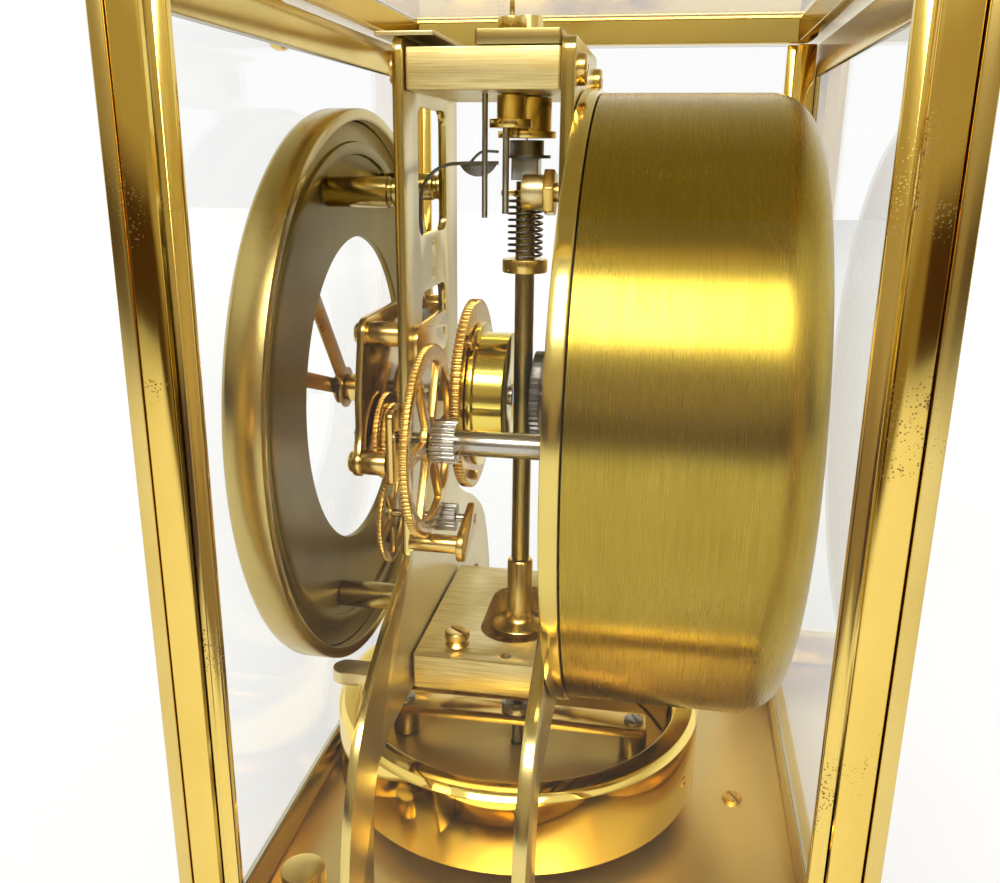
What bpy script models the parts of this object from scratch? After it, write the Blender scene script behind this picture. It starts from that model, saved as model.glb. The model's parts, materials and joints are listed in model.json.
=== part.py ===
# Atmospheric clock: a torsion-pendulum mantel clock that a sealed bellows winds.
# Metres, +Z up, X to the right, Y to the back: the dial faces -Y.
# The origin is the middle of the base, on the surface it stands on.
import math

import bmesh
import bpy

# Clearances and mesh fineness
GAP = 0.0003
RUN = 0.0004
LARGE_SIDES = 36
ROUND_SIDES = 24
BELLOWS_SIDES = 20
SMOOTH_SIDES = 18
MEDIUM_SIDES = 14
SMALL_SIDES = 10
PIN_SIDES = 6
OVERRUN = 0.001
SEAT = 0.0004
CORNER_STEPS = 3
WINDOW_STEPS = 1
COCK_STEPS = 5
BOW_STEPS = 6
MILLIMETRE = 0.001
SHARP_ANGLE = math.radians(32)

# Base: plinth, plate, levelling feet
PLINTH_SIDE_MARGIN = 0.0100
PLINTH_END_MARGIN = 0.0090
PLINTH_TOP = 0.026
PLINTH_WALL = 0.0165
PLINTH_BAND = 0.009
PLINTH_STEP = 0.003
PLINTH_SHOULDER = 0.005
FOOT_CLEARANCE = 0.0040
FOOT_RADIUS = 0.0075
FOOT_SHANK = 0.0026
FOOT_SHANK_LENGTH = 0.010
FOOT_INSET = 0.0085
FOOT_GROOVE = 0.0008
BASE_PLATE_THICKNESS = 0.0037
BASE_PLATE_CHAMFER = 0.0008
LEVEL_RADIUS = 0.0070
LEVEL_HEIGHT = 0.0032
LEVEL_WALL = 0.0012
LEVEL_INSET = 0.0100
BASE_SCREW_INSET = 0.0150
LOCK_CUP_RADIUS = 0.0050
LOCK_CUP_HEIGHT = 0.0057
LOCK_CUP_BORE = 0.0020
CASE_NUT_RADIUS = 0.0047
CASE_NUT_HEIGHT = 0.0080
CASE_NUT_X = 0.0515
CASE_NUT_INSET = 0.0120

# Case: rails, posts, glass, front door and rear panel
CASE_SIDE_ROOM = 0.0136
CASE_FRONT_ROOM = 0.0065
CASE_HEADROOM = 0.0171
BOTTOM_RAIL_HEIGHT = 0.0093
TOP_FRAME_HEIGHT = 0.0091
TOP_FRAME_LIP = 0.0021
TOP_FRAME_CAP = 0.0025
TOP_FRAME_STEP = 0.0010
BAR_WIDTH = 0.0080
POST_DEPTH = 0.0051
POST_LIP = 0.0023
POST_LIP_THICKNESS = 0.0017
DOOR_THICKNESS = 0.0026
PANEL_GLASS = 0.0016
SIDE_GLASS = 0.0020
SIDE_GLASS_INSET = 0.0015
TOP_GLASS = 0.0025
KNOB_RADIUS = 0.0042
KNOB_LENGTH = 0.0070
KNOB_NECK = 0.0018
KNOB_NECK_SHARE = 0.333
KNOB_WAIST_SHARE = 0.500
KNOB_RIM_SHARE = 0.833
KNOB_END_RADIUS = 0.0021

# Movement plates
DRUM_CLEARANCE = 0.0094
FRONT_PLATE_BACK = -0.0305
FRONT_PLATE_THICKNESS = 0.0018
REAR_PLATE_FRONT = 0.0
REAR_PLATE_THICKNESS = 0.0026
PLATE_RISE = 0.0745
CLIP_HALF_LENGTH = 0.0242
CLIP_FRONT = -0.0358
CLIP_BACK = -0.0240
CLIP_THICKNESS = 0.0008
PLATE_HALF_WIDTH = 0.0242
PLATE_CORNER = 0.0030
SHOULDER_DROP = 0.0310
LEG_CLEARANCE = 0.0082
LEG_WIDTH = 0.0150
ARCH_DROP = 0.0004
WINDOW_HALF_WIDTH = 0.0126
WINDOW_RISE = 0.0365
WINDOW_HEIGHT = 0.0260
WINDOW_CORNER = 0.0030
LOWER_WINDOW_HALF_WIDTH = 0.0110
LOWER_WINDOW_RISE = 0.0085
LOWER_WINDOW_HEIGHT = 0.0160
PLATE_OUTLINE_SHARES = (
    (0.000, 1.000), (0.060, 0.968), (0.214, 0.914), (0.440, 0.844), (0.727, 0.719),
    (0.870, 0.580), (0.955, 0.425), (0.990, 0.250), (1.000, 0.000))
ARCH_SHARES = ((0.740, 1.000), (0.870, 0.950), (0.938, 0.850), (0.979, 0.580))

# Bridges between the plates
BRIDGE_HALF_LENGTH = 0.0225
BRIDGE_RISE = 0.0650
BRIDGE_HEIGHT = 0.0077
COVER_HALF_LENGTH = 0.0220
COVER_DEPTH = 0.0165
COVER_THICKNESS = 0.0028
PLATFORM_HALF_LENGTH = 0.0253
PLATFORM_CLEARANCE = 0.0119
PLATFORM_HEIGHT = 0.0080
PLATFORM_CORNER = 0.0008
STAFF_SLOT_HALF_LENGTH = 0.0155
STAFF_SLOT_HALF_WIDTH = 0.0080
PLATFORM_TAP_X = 0.0216
PLATFORM_TAP_Y = -0.0095
PLATFORM_TAP_RADIUS = 0.0013
UNDER_PLATE_FRONT = -0.0218
UNDER_PLATE_HALF_LENGTH = 0.0210
UNDER_PLATE_DEPTH = 0.0185
UNDER_PLATE_THICKNESS = 0.0036

# Pendulum and its suspension
PENDULUM_Y = -0.0098
RING_SIDE_ROOM = 0.0025
RING_WALL = 0.0068
RING_CLEARANCE = 0.0057
RING_HEIGHT = 0.0208
RING_CHAMFER = 0.0014
WEB_THICKNESS = 0.0020
WEB_RISE = 0.0022
BAR_END_ROOM = 0.0055
BAR_HALF_WIDTH = 0.0040
BAR_THICKNESS = 0.0022
BAR_RISE = 0.0113
PENDULUM_POST_RADIUS = 0.0034
PENDULUM_POST_INSET = 0.0031
HUB_RADIUS = 0.0040
HUB_HEIGHT = 0.0030
LOWER_PIN_RADIUS = 0.0014
LOWER_PIN_CLEARANCE = 0.0016
STAFF_HOLE_RADIUS = 0.0028
TUBE_RADIUS = 0.00215
TUBE_BORE = 0.0008
WIRE_RADIUS = 0.0002
SLEEVE_RADIUS = 0.0033
SLEEVE_HEIGHT = 0.0203
GUIDE_RADIUS = 0.0066
GUIDE_RISE = 0.0023
GUIDE_HEIGHT = 0.0046
GUIDE_SLOPE = 0.0010
STAFF_COLLAR_RADIUS = 0.0050
STAFF_COLLAR_RISE = 0.0313
STAFF_COLLAR_HEIGHT = 0.0030
SPRING_RADIUS = 0.00365
SPRING_WIRE = 0.00030
SPRING_TURNS = 9
SPRING_STEPS = 8
SPRING_NEIGHBOURS = 5
SPRING_STOP_HEIGHT = 0.0014
SPRING_STOP_RISE = 0.0445
SPRING_STOP_RADIUS = 0.0027
SPRING_STOP_ARM = 0.0054
SPRING_STOP_ARM_WIDTH = 0.0012
ROLLER_RADIUS = 0.0052
ROLLER_RISE = 0.0525
ROLLER_THICKNESS = 0.0007
ROLLER_BLOCK_RADIUS = 0.0037
ROLLER_BLOCK_HEIGHT = 0.0030
ROLLER_BOSS_HALF_WIDTH = 0.0029
ROLLER_BOSS_CORNER = 0.0004
ROLLER_BOSS_DROP = 0.0045
IMPULSE_PIN_RADIUS = 0.0004
IMPULSE_PIN_LENGTH = 0.0030
IMPULSE_PIN_INSET = 0.0006
HEAD_RADIUS = 0.0052
HEAD_FLANGE_RADIUS = 0.0062
HEAD_DROP = 0.0084
HEAD_FLANGE_HEIGHT = 0.0014
HEAD_NECK_RADIUS = 0.0030
HEAD_STEM_RISE = 0.0155
REGULATOR_X = 0.0100
REGULATOR_Y = -0.0116
REGULATOR_RADIUS = 0.0029
REGULATOR_FLANGE = 0.0044
REGULATOR_FLANGE_HEIGHT = 0.0017
REGULATOR_DROP = 0.0066
REGULATOR_NECK = 0.0019
REGULATOR_CAP_HEIGHT = 0.0030
REGULATOR_PIN_OFFSET = 0.0010
REGULATOR_PIN_RADIUS = 0.0007
REGULATOR_PIN_LENGTH = 0.0170
GUIDE_ROD_X = 0.0100
GUIDE_ROD_Y = -0.0170
GUIDE_ROD_RADIUS = 0.0006
GUIDE_ROD_LENGTH = 0.0245
GUIDE_ROD_REACH = 0.0030
HEX_SCREW_X = 0.0098
HEX_SCREW_DROP = 0.0192
HEX_BODY_RADIUS = 0.0036
HEX_BODY_FRONT = -0.0090
HEX_HEAD_FRONT = -0.0044
HEX_HEAD_BACK = -0.0022
HEX_HEAD_RADIUS = 0.0050
HEX_SHANK_RADIUS = 0.0020

# Gear train: modules, tooth counts and directions between arbors
TRAIN_MODULE = 0.00044
FINE_MODULE = 0.00033
TRANSFER_MODULE = 0.00066
ESCAPE_MODULE = 0.00080
BARREL_TEETH = 98
ARBOR_PINION_TEETH = 20
SPOKED_TEETH = 122
LOWER_PINION_TEETH = 18
LOWER_TEETH = 33
TRANSFER_TEETH = 22
CANNON_TEETH = 20
MINUTE_TEETH = 30
MINUTE_PINION_TEETH = 8
HOUR_TEETH = 64
CENTRE_TEETH = 24
THIRD_PINION_TEETH = 12
THIRD_TEETH = 24
ESCAPE_PINION_TEETH = 12
ESCAPE_TEETH = 15
ADDENDUM_SHARE = 0.45
TOOTH_DEPTH_SHARE = 1.5
WHEEL_DIRECTION = math.radians(-9.3)
LOWER_DIRECTION = math.radians(-116.0)
MINUTE_DIRECTION = math.radians(93.4)
THIRD_DIRECTION = math.radians(103.9)
ESCAPE_DIRECTION = math.radians(74.0)
WHEEL_THICKNESS = 0.0010
PINION_LENGTH = 0.0016
ARBOR_RADIUS = 0.0009
HEAVY_ARBOR_RADIUS = 0.0027
PIVOT_RADIUS = 0.0006
HUB_SHARE = 0.20
RIM_SHARE = 0.86
SPOKE_HALF_WIDTH = 0.0011
SPOKED_SPOKES = 6
SPOKED_THICKNESS = 0.0015
LOWER_SPOKES = 5
NOSE_RADIUS = 0.0016
NOSE_PIVOT_RADIUS = 0.0009
REAR_PIVOT_RADIUS = 0.0012
BARREL_TOOTHED_BACK = -0.0203
BARREL_TOOTHED_THICKNESS = 0.0021
BARREL_DISC_RADIUS = 0.0166
BARREL_DISC_THICKNESS = 0.0012
BARREL_RADIUS = 0.0144
BARREL_BACK = -0.0124
BARREL_WALL = 0.0012
BARREL_LID = 0.0010
BARREL_ARBOR_RADIUS = 0.0022
MAINSPRING_TURNS = 4
MAINSPRING_THICKNESS = 0.0004
MAINSPRING_STEPS = 12
SPOKED_BACK = -0.0250
ARBOR_PINION_BACK = -0.0195
LOWER_PINION_BACK = -0.0220
LOWER_PINION_LENGTH = 0.0050
LOWER_WHEEL_BACK = -0.0364
MINUTE_WHEEL_BACK = -0.0376
CANNON_BACK = -0.0374
CENTRE_WHEEL_BACK = -0.0336
THIRD_WHEEL_BACK = -0.0353
ESCAPE_WHEEL_BACK = -0.0336
ESCAPE_WHEEL_RADIUS = 0.0050
ESCAPE_TOOTH_DEPTH = 0.0012
RATCHET_LEAN_SHARE = 0.225
HOUR_WHEEL_BACK = -0.0439
HOUR_HAND_BACK = -0.0519
MINUTE_HAND_BACK = -0.0535
HAND_THICKNESS = 0.0006
HOUR_PIPE_RADIUS = 0.0032
CANNON_PIPE_RADIUS = 0.0022
HAND_NUT_RADIUS = 0.0026
HAND_NUT_HEIGHT = 0.0012
MINUTE_HAND_LENGTH = 0.0520
MINUTE_HAND_TAIL = 0.0110
MINUTE_HAND_HALF_WIDTH = 0.0017
HOUR_HAND_LENGTH = 0.0400
HOUR_HAND_HALF_WIDTH = 0.0026
HAND_TIP_HALF_WIDTH = 0.0005
HAND_TIP_LENGTH = 0.0020
HAND_WIDE_SHARE = 0.75
MINUTE_HAND_HUB = 0.0039
HOUR_HAND_HUB = 0.0048
MINUTE_HAND_ANGLE = math.radians(17.0)
HOUR_HAND_ANGLE = math.radians(52.0)

# Motion-work bridge, cocks and pallet lever
MOTION_BRIDGE_FRONT = -0.0412
MOTION_BRIDGE_THICKNESS = 0.0016
MOTION_BRIDGE_HALF_WIDTH = 0.0270
MOTION_BRIDGE_WAIST_DROP = 0.0025
MOTION_BRIDGE_DROP = 0.0135
MOTION_BRIDGE_TAB = 0.0304
MOTION_BRIDGE_TAPER = 0.0068
MOTION_BRIDGE_TAB_ANGLE = math.radians(60)
BRIDGE_PILLAR_RADIUS = 0.0026
BRIDGE_SCREW_RADIUS = 0.0022
BRIDGE_SCREW_HEIGHT = 0.0012
MOTION_BRIDGE_SHOULDER = 0.0034
BRIDGE_PILLAR_X = 0.0205
BRIDGE_PILLAR_RISE = 0.0170
TAB_PILLAR_X = 0.0274
TAB_PILLAR_DROP = 0.0093
SIDE_COCK_THICKNESS = 0.0015
SIDE_COCK_INSIDE = 0.0180
SIDE_COCK_OUTSIDE = 0.0300
SIDE_COCK_RISE = 0.0025
DIAL_PILLAR_RADIUS = 0.0031
DIAL_PILLAR_X = 0.0188
UPPER_PILLAR_INSET = 0.0072
LOWER_PILLAR_INSET = 0.0087
LOWER_COCK_BACK = -0.0180
LOWER_COCK_THICKNESS = 0.0015
LOWER_COCK_RADIUS = 0.0036
LOWER_COCK_FOOT_X = 0.0250
LOWER_COCK_FOOT_DROP = 0.0275
LOWER_COCK_PILLAR = 0.0020
THIRD_COCK_THICKNESS = 0.0013
THIRD_COCK_LEFT = -0.0080
THIRD_COCK_RIGHT = 0.0205
THIRD_COCK_RISE = 0.0097
THIRD_COCK_HEIGHT = 0.0088
ESCAPE_COCK_BACK = -0.0371
ESCAPE_COCK_THICKNESS = 0.0010
ESCAPE_COCK_LEFT = -0.0125
ESCAPE_COCK_RIGHT = 0.0030
ESCAPE_COCK_RISE = 0.0257
ESCAPE_COCK_HEIGHT = 0.0116
ESCAPE_PILLAR_X = -0.0098
ESCAPE_PILLAR_RISE = 0.0315
PALLET_RISE = 0.0067
PALLET_THICKNESS = 0.0008
PALLET_SPAN = math.radians(46)
PALLET_CLEARANCE = 0.0006
PALLET_BOW = 0.0013
FORK_HALF_WIDTH = 0.0004
TINE_HALF_WIDTH = 0.0003
FORK_PATH = ((-0.0331, 0.0345), (-0.0331, 0.0445), (-0.0310, 0.0487), (-0.0280, 0.0507),
             (-0.0245, 0.0513), (-0.0158, 0.0515))
TINE_PATH = ((-0.0222, 0.0513), (-0.0196, 0.0537), (-0.0158, 0.0538))
CRESCENT_MIDDLE_Y = -0.0203
CRESCENT_RISE = 0.0511
CRESCENT_HALF_CHORD = 0.0042
CRESCENT_DROP = 0.0028

# Dial
BEZEL_RADIUS = 0.0626
BEZEL_BACK = -0.0461
BEZEL_DEPTH = 0.0079
BEZEL_WALL = 0.0024
BEZEL_LIP = 0.0068
BEZEL_CHAMFER = 0.0012
DIAL_BACK = -0.0485
DIAL_THICKNESS = 0.0016
DIAL_HOLE_RADIUS = 0.0352
DIAL_RING_OUTER = 0.0558
DIAL_RING_INNER = 0.0529
DIAL_RING_HEIGHT = 0.0008

# Bellows drum
DRUM_RADIUS = 0.0656
DRUM_FLANGE_LIP = 0.0008
DRUM_FLANGE_FRONT = 0.0029
DRUM_FLANGE_THICKNESS = 0.0033
DRUM_FLANGE_HOLE = 0.0180
DRUM_DEPTH = 0.0421
DRUM_WALL = 0.0012
DRUM_CORNER = 0.0090
DRUM_VENT_RADIUS = 0.0040
BELLOWS_CLEARANCE = 0.0076
BELLOWS_FOLD = 0.0070
BELLOWS_FRONT = 0.0140
BELLOWS_WALL = 0.0008
BELLOWS_FOLDS = 3
BELLOWS_VENT = 0.0030
BELLOWS_SPRING_RADIUS = 0.0200
BELLOWS_SPRING_WIRE = 0.0012
BELLOWS_SPRING_TURNS = 4
PUSH_DISC_RADIUS = 0.0160
PUSH_DISC_THICKNESS = 0.0020
PUSH_DISC_CLEARANCE = 0.0034
PUSH_ROD_X = -0.0142
PUSH_ROD_RADIUS = 0.0012
PUSH_ROD_FRONT = -0.0045
RATCHET_RADIUS = 0.0105
RATCHET_TEETH = 24
RATCHET_TOOTH_DEPTH = 0.0007
RATCHET_FRONT = -0.0070
RATCHET_THICKNESS = 0.0022
RATCHET_HUB_RADIUS = 0.0030
RATCHET_STUD_RADIUS = 0.0018

# Lock lever and screws
LEVER_X = 0.0340
LEVER_HALF_WIDTH = 0.0030
LEVER_RISE = 0.0012
LEVER_THICKNESS = 0.0033
LEVER_TIP_Y = -0.0457
LEVER_FOOT_THICKNESS = 0.0020
LEVER_FOOT_DROP = 0.0060
LEVER_PIVOT_DROP = 0.0030
SCREW_SHANK = 0.0015
SCREW_HEAD_RADIUS = 0.0030
SCREW_HEAD_HEIGHT = 0.0018
SMALL_SCREW_RADIUS = 0.0019
SMALL_SCREW_HEIGHT = 0.0010
PLATE_SCREW_X = 0.0180
PLATFORM_SCREW_X = 0.0180
PLATFORM_SCREW_Y = -0.0215
PLATFORM_SCREW_RADIUS = 0.0029
PLATFORM_SCREW_HEIGHT = 0.0034
BASE_SCREW_RADIUS = 0.0024

# Heights and faces that several pieces share, each stacked on the one before
BASE_TOP = PLINTH_TOP + GAP + BASE_PLATE_THICKNESS
CASE_BOTTOM = BASE_TOP + GAP
PLATE_FOOT = BASE_TOP + GAP
POST_BOTTOM = CASE_BOTTOM + BOTTOM_RAIL_HEIGHT + GAP
LOWER_PIN_BOTTOM = BASE_TOP + LOWER_PIN_CLEARANCE
RING_BOTTOM = BASE_TOP + RING_CLEARANCE
RING_TOP = RING_BOTTOM + RING_HEIGHT
BAR_BOTTOM = RING_BOTTOM + BAR_RISE
PLATFORM_BOTTOM = RING_TOP + PLATFORM_CLEARANCE
PLATFORM_TOP = PLATFORM_BOTTOM + PLATFORM_HEIGHT
ARCH_TOP = PLATFORM_BOTTOM - ARCH_DROP
GUIDE_BOTTOM = PLATFORM_BOTTOM + GUIDE_RISE
SLEEVE_TOP = GUIDE_BOTTOM + SLEEVE_HEIGHT
LEVER_TOP = PLATFORM_TOP + LEVER_RISE
AXIS_HEIGHT = RING_TOP + DRUM_CLEARANCE + DRUM_RADIUS
PLATE_TOP = AXIS_HEIGHT + PLATE_RISE
PLATE_SHOULDER = AXIS_HEIGHT - SHOULDER_DROP
WINDOW_LOW = AXIS_HEIGHT + WINDOW_RISE
WINDOW_HIGH = WINDOW_LOW + WINDOW_HEIGHT
LOWER_WINDOW_LOW = AXIS_HEIGHT + LOWER_WINDOW_RISE
LOWER_WINDOW_HIGH = LOWER_WINDOW_LOW + LOWER_WINDOW_HEIGHT
BRIDGE_BOTTOM = AXIS_HEIGHT + BRIDGE_RISE
BRIDGE_TOP = BRIDGE_BOTTOM + BRIDGE_HEIGHT
COVER_BOTTOM = BRIDGE_TOP + GAP
CASE_TOP = PLATE_TOP + CASE_HEADROOM
TOP_FRAME_BOTTOM = CASE_TOP - TOP_FRAME_HEIGHT
STAFF_COLLAR_TOP = AXIS_HEIGHT + STAFF_COLLAR_RISE
SPRING_STOP_BOTTOM = AXIS_HEIGHT + SPRING_STOP_RISE
ROLLER_BOTTOM = AXIS_HEIGHT + ROLLER_RISE
ROLLER_BOSS_BOTTOM = ROLLER_BOTTOM - ROLLER_BOSS_DROP
HEAD_BOTTOM = BRIDGE_BOTTOM - HEAD_DROP
HEAD_STEM_TOP = BRIDGE_BOTTOM + HEAD_STEM_RISE
REGULATOR_BOTTOM = BRIDGE_BOTTOM - REGULATOR_DROP
REGULATOR_PIN_BOTTOM = REGULATOR_BOTTOM - REGULATOR_PIN_LENGTH
GUIDE_ROD_BOTTOM = BRIDGE_BOTTOM - GUIDE_ROD_LENGTH
MOTION_BRIDGE_WAIST = AXIS_HEIGHT - MOTION_BRIDGE_WAIST_DROP
MOTION_BRIDGE_BOTTOM = AXIS_HEIGHT - MOTION_BRIDGE_DROP
BRIDGE_PILLAR_HEIGHT = AXIS_HEIGHT + BRIDGE_PILLAR_RISE
TAB_PILLAR_HEIGHT = AXIS_HEIGHT - TAB_PILLAR_DROP
SIDE_COCK_TOP = AXIS_HEIGHT + SIDE_COCK_RISE
LOWER_COCK_FOOT_HEIGHT = AXIS_HEIGHT - LOWER_COCK_FOOT_DROP
THIRD_COCK_LOW = AXIS_HEIGHT + THIRD_COCK_RISE
THIRD_COCK_HIGH = THIRD_COCK_LOW + THIRD_COCK_HEIGHT
ESCAPE_COCK_LOW = AXIS_HEIGHT + ESCAPE_COCK_RISE
ESCAPE_COCK_HIGH = ESCAPE_COCK_LOW + ESCAPE_COCK_HEIGHT
ESCAPE_PILLAR_HEIGHT = AXIS_HEIGHT + ESCAPE_PILLAR_RISE
CRESCENT_TOP = AXIS_HEIGHT + CRESCENT_RISE
HEX_SCREW_HEIGHT = BRIDGE_BOTTOM - HEX_SCREW_DROP
DIAL_PILLAR_UPPER = AXIS_HEIGHT + DIAL_RING_INNER - UPPER_PILLAR_INSET
DIAL_PILLAR_LOWER = AXIS_HEIGHT - DIAL_RING_INNER + LOWER_PILLAR_INSET
DRUM_FLANGE_RADIUS = DRUM_RADIUS + DRUM_FLANGE_LIP
BELLOWS_RADIUS = DRUM_RADIUS - BELLOWS_CLEARANCE
DRUM_FRONT = DRUM_FLANGE_FRONT + DRUM_FLANGE_THICKNESS + GAP
DRUM_BACK = DRUM_FRONT + DRUM_DEPTH
CASE_HALF_WIDTH = DRUM_FLANGE_RADIUS + CASE_SIDE_ROOM
CASE_HALF_DEPTH = CASE_FRONT_ROOM - MINUTE_HAND_BACK
CASE_INNER_DEPTH = CASE_HALF_DEPTH - DOOR_THICKNESS - GAP
RING_RADIUS = CASE_INNER_DEPTH + PENDULUM_Y - RING_SIDE_ROOM
BAR_HALF_LENGTH = RING_RADIUS - RING_WALL - BAR_END_ROOM
PENDULUM_POST_OFFSET = BAR_HALF_LENGTH - PENDULUM_POST_INSET
LEG_OUTSIDE = CASE_HALF_WIDTH - LEG_CLEARANCE
PLINTH_WIDTH = 2 * (CASE_HALF_WIDTH + PLINTH_SIDE_MARGIN)
PLINTH_DEPTH = 2 * (CASE_HALF_DEPTH + PLINTH_END_MARGIN)
LEVEL_Y = LEVEL_INSET - CASE_HALF_DEPTH
CASE_NUT_Y = CASE_NUT_INSET - CASE_HALF_DEPTH
BASE_SCREW_Y = CASE_HALF_DEPTH - BASE_SCREW_INSET
FRONT_PLATE_FRONT = FRONT_PLATE_BACK - FRONT_PLATE_THICKNESS
REAR_PLATE_BACK = REAR_PLATE_FRONT + REAR_PLATE_THICKNESS
BRIDGE_FRONT = FRONT_PLATE_BACK + GAP
BRIDGE_BACK = REAR_PLATE_FRONT - GAP
MOTION_BRIDGE_BACK = MOTION_BRIDGE_FRONT + MOTION_BRIDGE_THICKNESS
CENTRE = (0.0, AXIS_HEIGHT)
FULL_TURN = 2 * math.pi
QUARTER_TURN = math.pi / 2


def along(start, distance, angle):
    return (start[0] + distance * math.cos(angle), start[1] + distance * math.sin(angle))


def pitch_distance(module, teeth_a, teeth_b):
    return module * (teeth_a + teeth_b) / 2


WHEEL_ARBOR = along(CENTRE, pitch_distance(TRAIN_MODULE, BARREL_TEETH, ARBOR_PINION_TEETH),
                    WHEEL_DIRECTION)
LOWER_ARBOR = along(WHEEL_ARBOR, pitch_distance(FINE_MODULE, SPOKED_TEETH, LOWER_PINION_TEETH),
                    LOWER_DIRECTION)
MINUTE_ARBOR = along(LOWER_ARBOR, pitch_distance(TRANSFER_MODULE, LOWER_TEETH, TRANSFER_TEETH),
                     MINUTE_DIRECTION)
THIRD_ARBOR = along(CENTRE, pitch_distance(ESCAPE_MODULE, CENTRE_TEETH, THIRD_PINION_TEETH),
                    THIRD_DIRECTION)
ESCAPE_ARBOR = along(THIRD_ARBOR, pitch_distance(ESCAPE_MODULE, THIRD_TEETH, ESCAPE_PINION_TEETH),
                     ESCAPE_DIRECTION)
PALLET_ARBOR = (ESCAPE_ARBOR[0], ESCAPE_ARBOR[1] + PALLET_RISE)
HAND_DISTANCE = math.dist(CENTRE, MINUTE_ARBOR)
HAND_MODULE = 2 * HAND_DISTANCE / (CANNON_TEETH + MINUTE_TEETH)
HOUR_MODULE = 2 * HAND_DISTANCE / (MINUTE_PINION_TEETH + HOUR_TEETH)


# Scene and materials

def clear_scene():
    for item in list(bpy.data.objects):
        bpy.data.objects.remove(item, do_unlink=True)


def material(name, colour, roughness, metallic):
    made = bpy.data.materials.new(name)
    made.use_nodes = True
    shader = made.node_tree.nodes["Principled BSDF"]
    shader.inputs["Base Color"].default_value = (*colour, 1)
    shader.inputs["Roughness"].default_value = roughness
    shader.inputs["Metallic"].default_value = metallic
    made.diffuse_color = (*colour, 1)
    return made


def polished_gold():
    return material("polished_gold", (0.86, 0.66, 0.26), 0.12, 1)


def satin_gilt():
    return material("satin_gilt", (0.72, 0.64, 0.42), 0.38, 1)


def gear_brass():
    return material("gear_brass", (0.80, 0.55, 0.18), 0.28, 1)


def olive_brass():
    return material("olive_brass", (0.42, 0.35, 0.18), 0.32, 1)


def brushed_brass():
    return material("brushed_brass", (0.66, 0.53, 0.22), 0.34, 1)


def steel():
    return material("steel", (0.46, 0.46, 0.45), 0.22, 1)


def dark_steel():
    return material("dark_steel", (0.12, 0.12, 0.12), 0.35, 1)


def bronze_hand():
    return material("bronze_hand", (0.45, 0.31, 0.16), 0.35, 1)


def clear_glass():
    made = material("clear_glass", (0.93, 0.97, 0.95), 0.02, 0)
    made.node_tree.nodes["Principled BSDF"].inputs["Transmission Weight"].default_value = 1
    return made


def dial_paint():
    return material("dial_paint", (0.34, 0.27, 0.16), 0.45, 0.4)


# Outlines in the plane of a plate

def circle(radius, sides, centre=(0.0, 0.0), start=0.0):
    return [along(centre, radius, start + FULL_TURN * i / sides) for i in range(sides)]


def arc(centre, radius, start, end, steps):
    return [along(centre, radius, start + (end - start) * i / steps) for i in range(steps + 1)]


def rounded_box(left, right, low, high, corner):
    middles = ((right - corner, high - corner), (left + corner, high - corner),
               (left + corner, low + corner), (right - corner, low + corner))
    points = []
    for index, middle in enumerate(middles):
        points += arc(middle, corner, QUARTER_TURN * index, QUARTER_TURN * (index + 1), CORNER_STEPS)
    return points


def mirrored(half):
    return half + [(-x, y) for x, y in reversed(half) if x != 0]


def gear_outline(module, teeth, tooth_angle):
    tip = module * (teeth / 2 + ADDENDUM_SHARE)
    root = tip - module * TOOTH_DEPTH_SHARE
    return pointed_outline(tip, root, teeth, tooth_angle)


def pointed_outline(tip, root, teeth, tooth_angle):
    points = []
    for i in range(teeth):
        points.append(along((0, 0), tip, tooth_angle + FULL_TURN * i / teeth))
        points.append(along((0, 0), root, tooth_angle + FULL_TURN * (i + 0.5) / teeth))
    return points


def ratchet_outline(tip, root, teeth, lean):
    points = []
    for i in range(teeth):
        points.append(along((0, 0), tip, FULL_TURN * i / teeth))
        points.append(along((0, 0), root, FULL_TURN * (i + lean) / teeth))
    return points


def windows(count, inner, outer, half_spoke, start):
    holes = []
    for i in range(count):
        middle = start + FULL_TURN * i / count
        half = math.pi / count
        inner_half = half - math.asin(half_spoke / inner)
        outer_half = half - math.asin(half_spoke / outer)
        hole = arc((0, 0), outer, middle - outer_half, middle + outer_half, CORNER_STEPS)
        hole += arc((0, 0), inner, middle + inner_half, middle - inner_half, WINDOW_STEPS)
        holes.append(hole)
    return holes


# Angles that set each pair of wheels in mesh

def direction(start, end):
    return math.atan2(end[1] - start[1], end[0] - start[0])


def tooth_towards(start, end):
    return direction(start, end)


def gap_towards(start, end, teeth):
    return direction(start, end) + math.pi / teeth


# Solids

def placed(axis, u, v, height):
    if axis == "X":
        return (height, u, v)
    if axis == "Y":
        return (u, height, v)
    return (u, v, height)


def finish(name, mesh_builder, look, location):
    bmesh.ops.recalc_face_normals(mesh_builder, faces=mesh_builder.faces)
    mesh = bpy.data.meshes.new(name)
    mesh_builder.to_mesh(mesh)
    mesh_builder.free()
    mesh.shade_smooth()
    mesh.set_sharp_from_angle(angle=SHARP_ANGLE)
    mesh.materials.append(look)
    made = bpy.data.objects.new(name, mesh)
    made.location = location
    bpy.context.scene.collection.objects.link(made)
    return made


def lathe_into(builder, profile, sides, axis, centre):
    rings = []
    for radius, height in profile:
        if radius == 0:
            rings.append([builder.verts.new(placed(axis, centre[0], centre[1], height))])
        else:
            points = circle(radius, sides, centre)
            rings.append([builder.verts.new(placed(axis, u, v, height)) for u, v in points])
    on_axis = len(rings[0]) == 1
    pairs = list(zip(rings, rings[1:])) if on_axis else list(zip(rings, rings[1:] + rings[:1]))
    for first, second in pairs:
        for i in range(sides):
            j = (i + 1) % sides
            corners = [first[i % len(first)], first[j % len(first)],
                       second[j % len(second)], second[i % len(second)]]
            builder.faces.new(list(dict.fromkeys(corners)))


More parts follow.
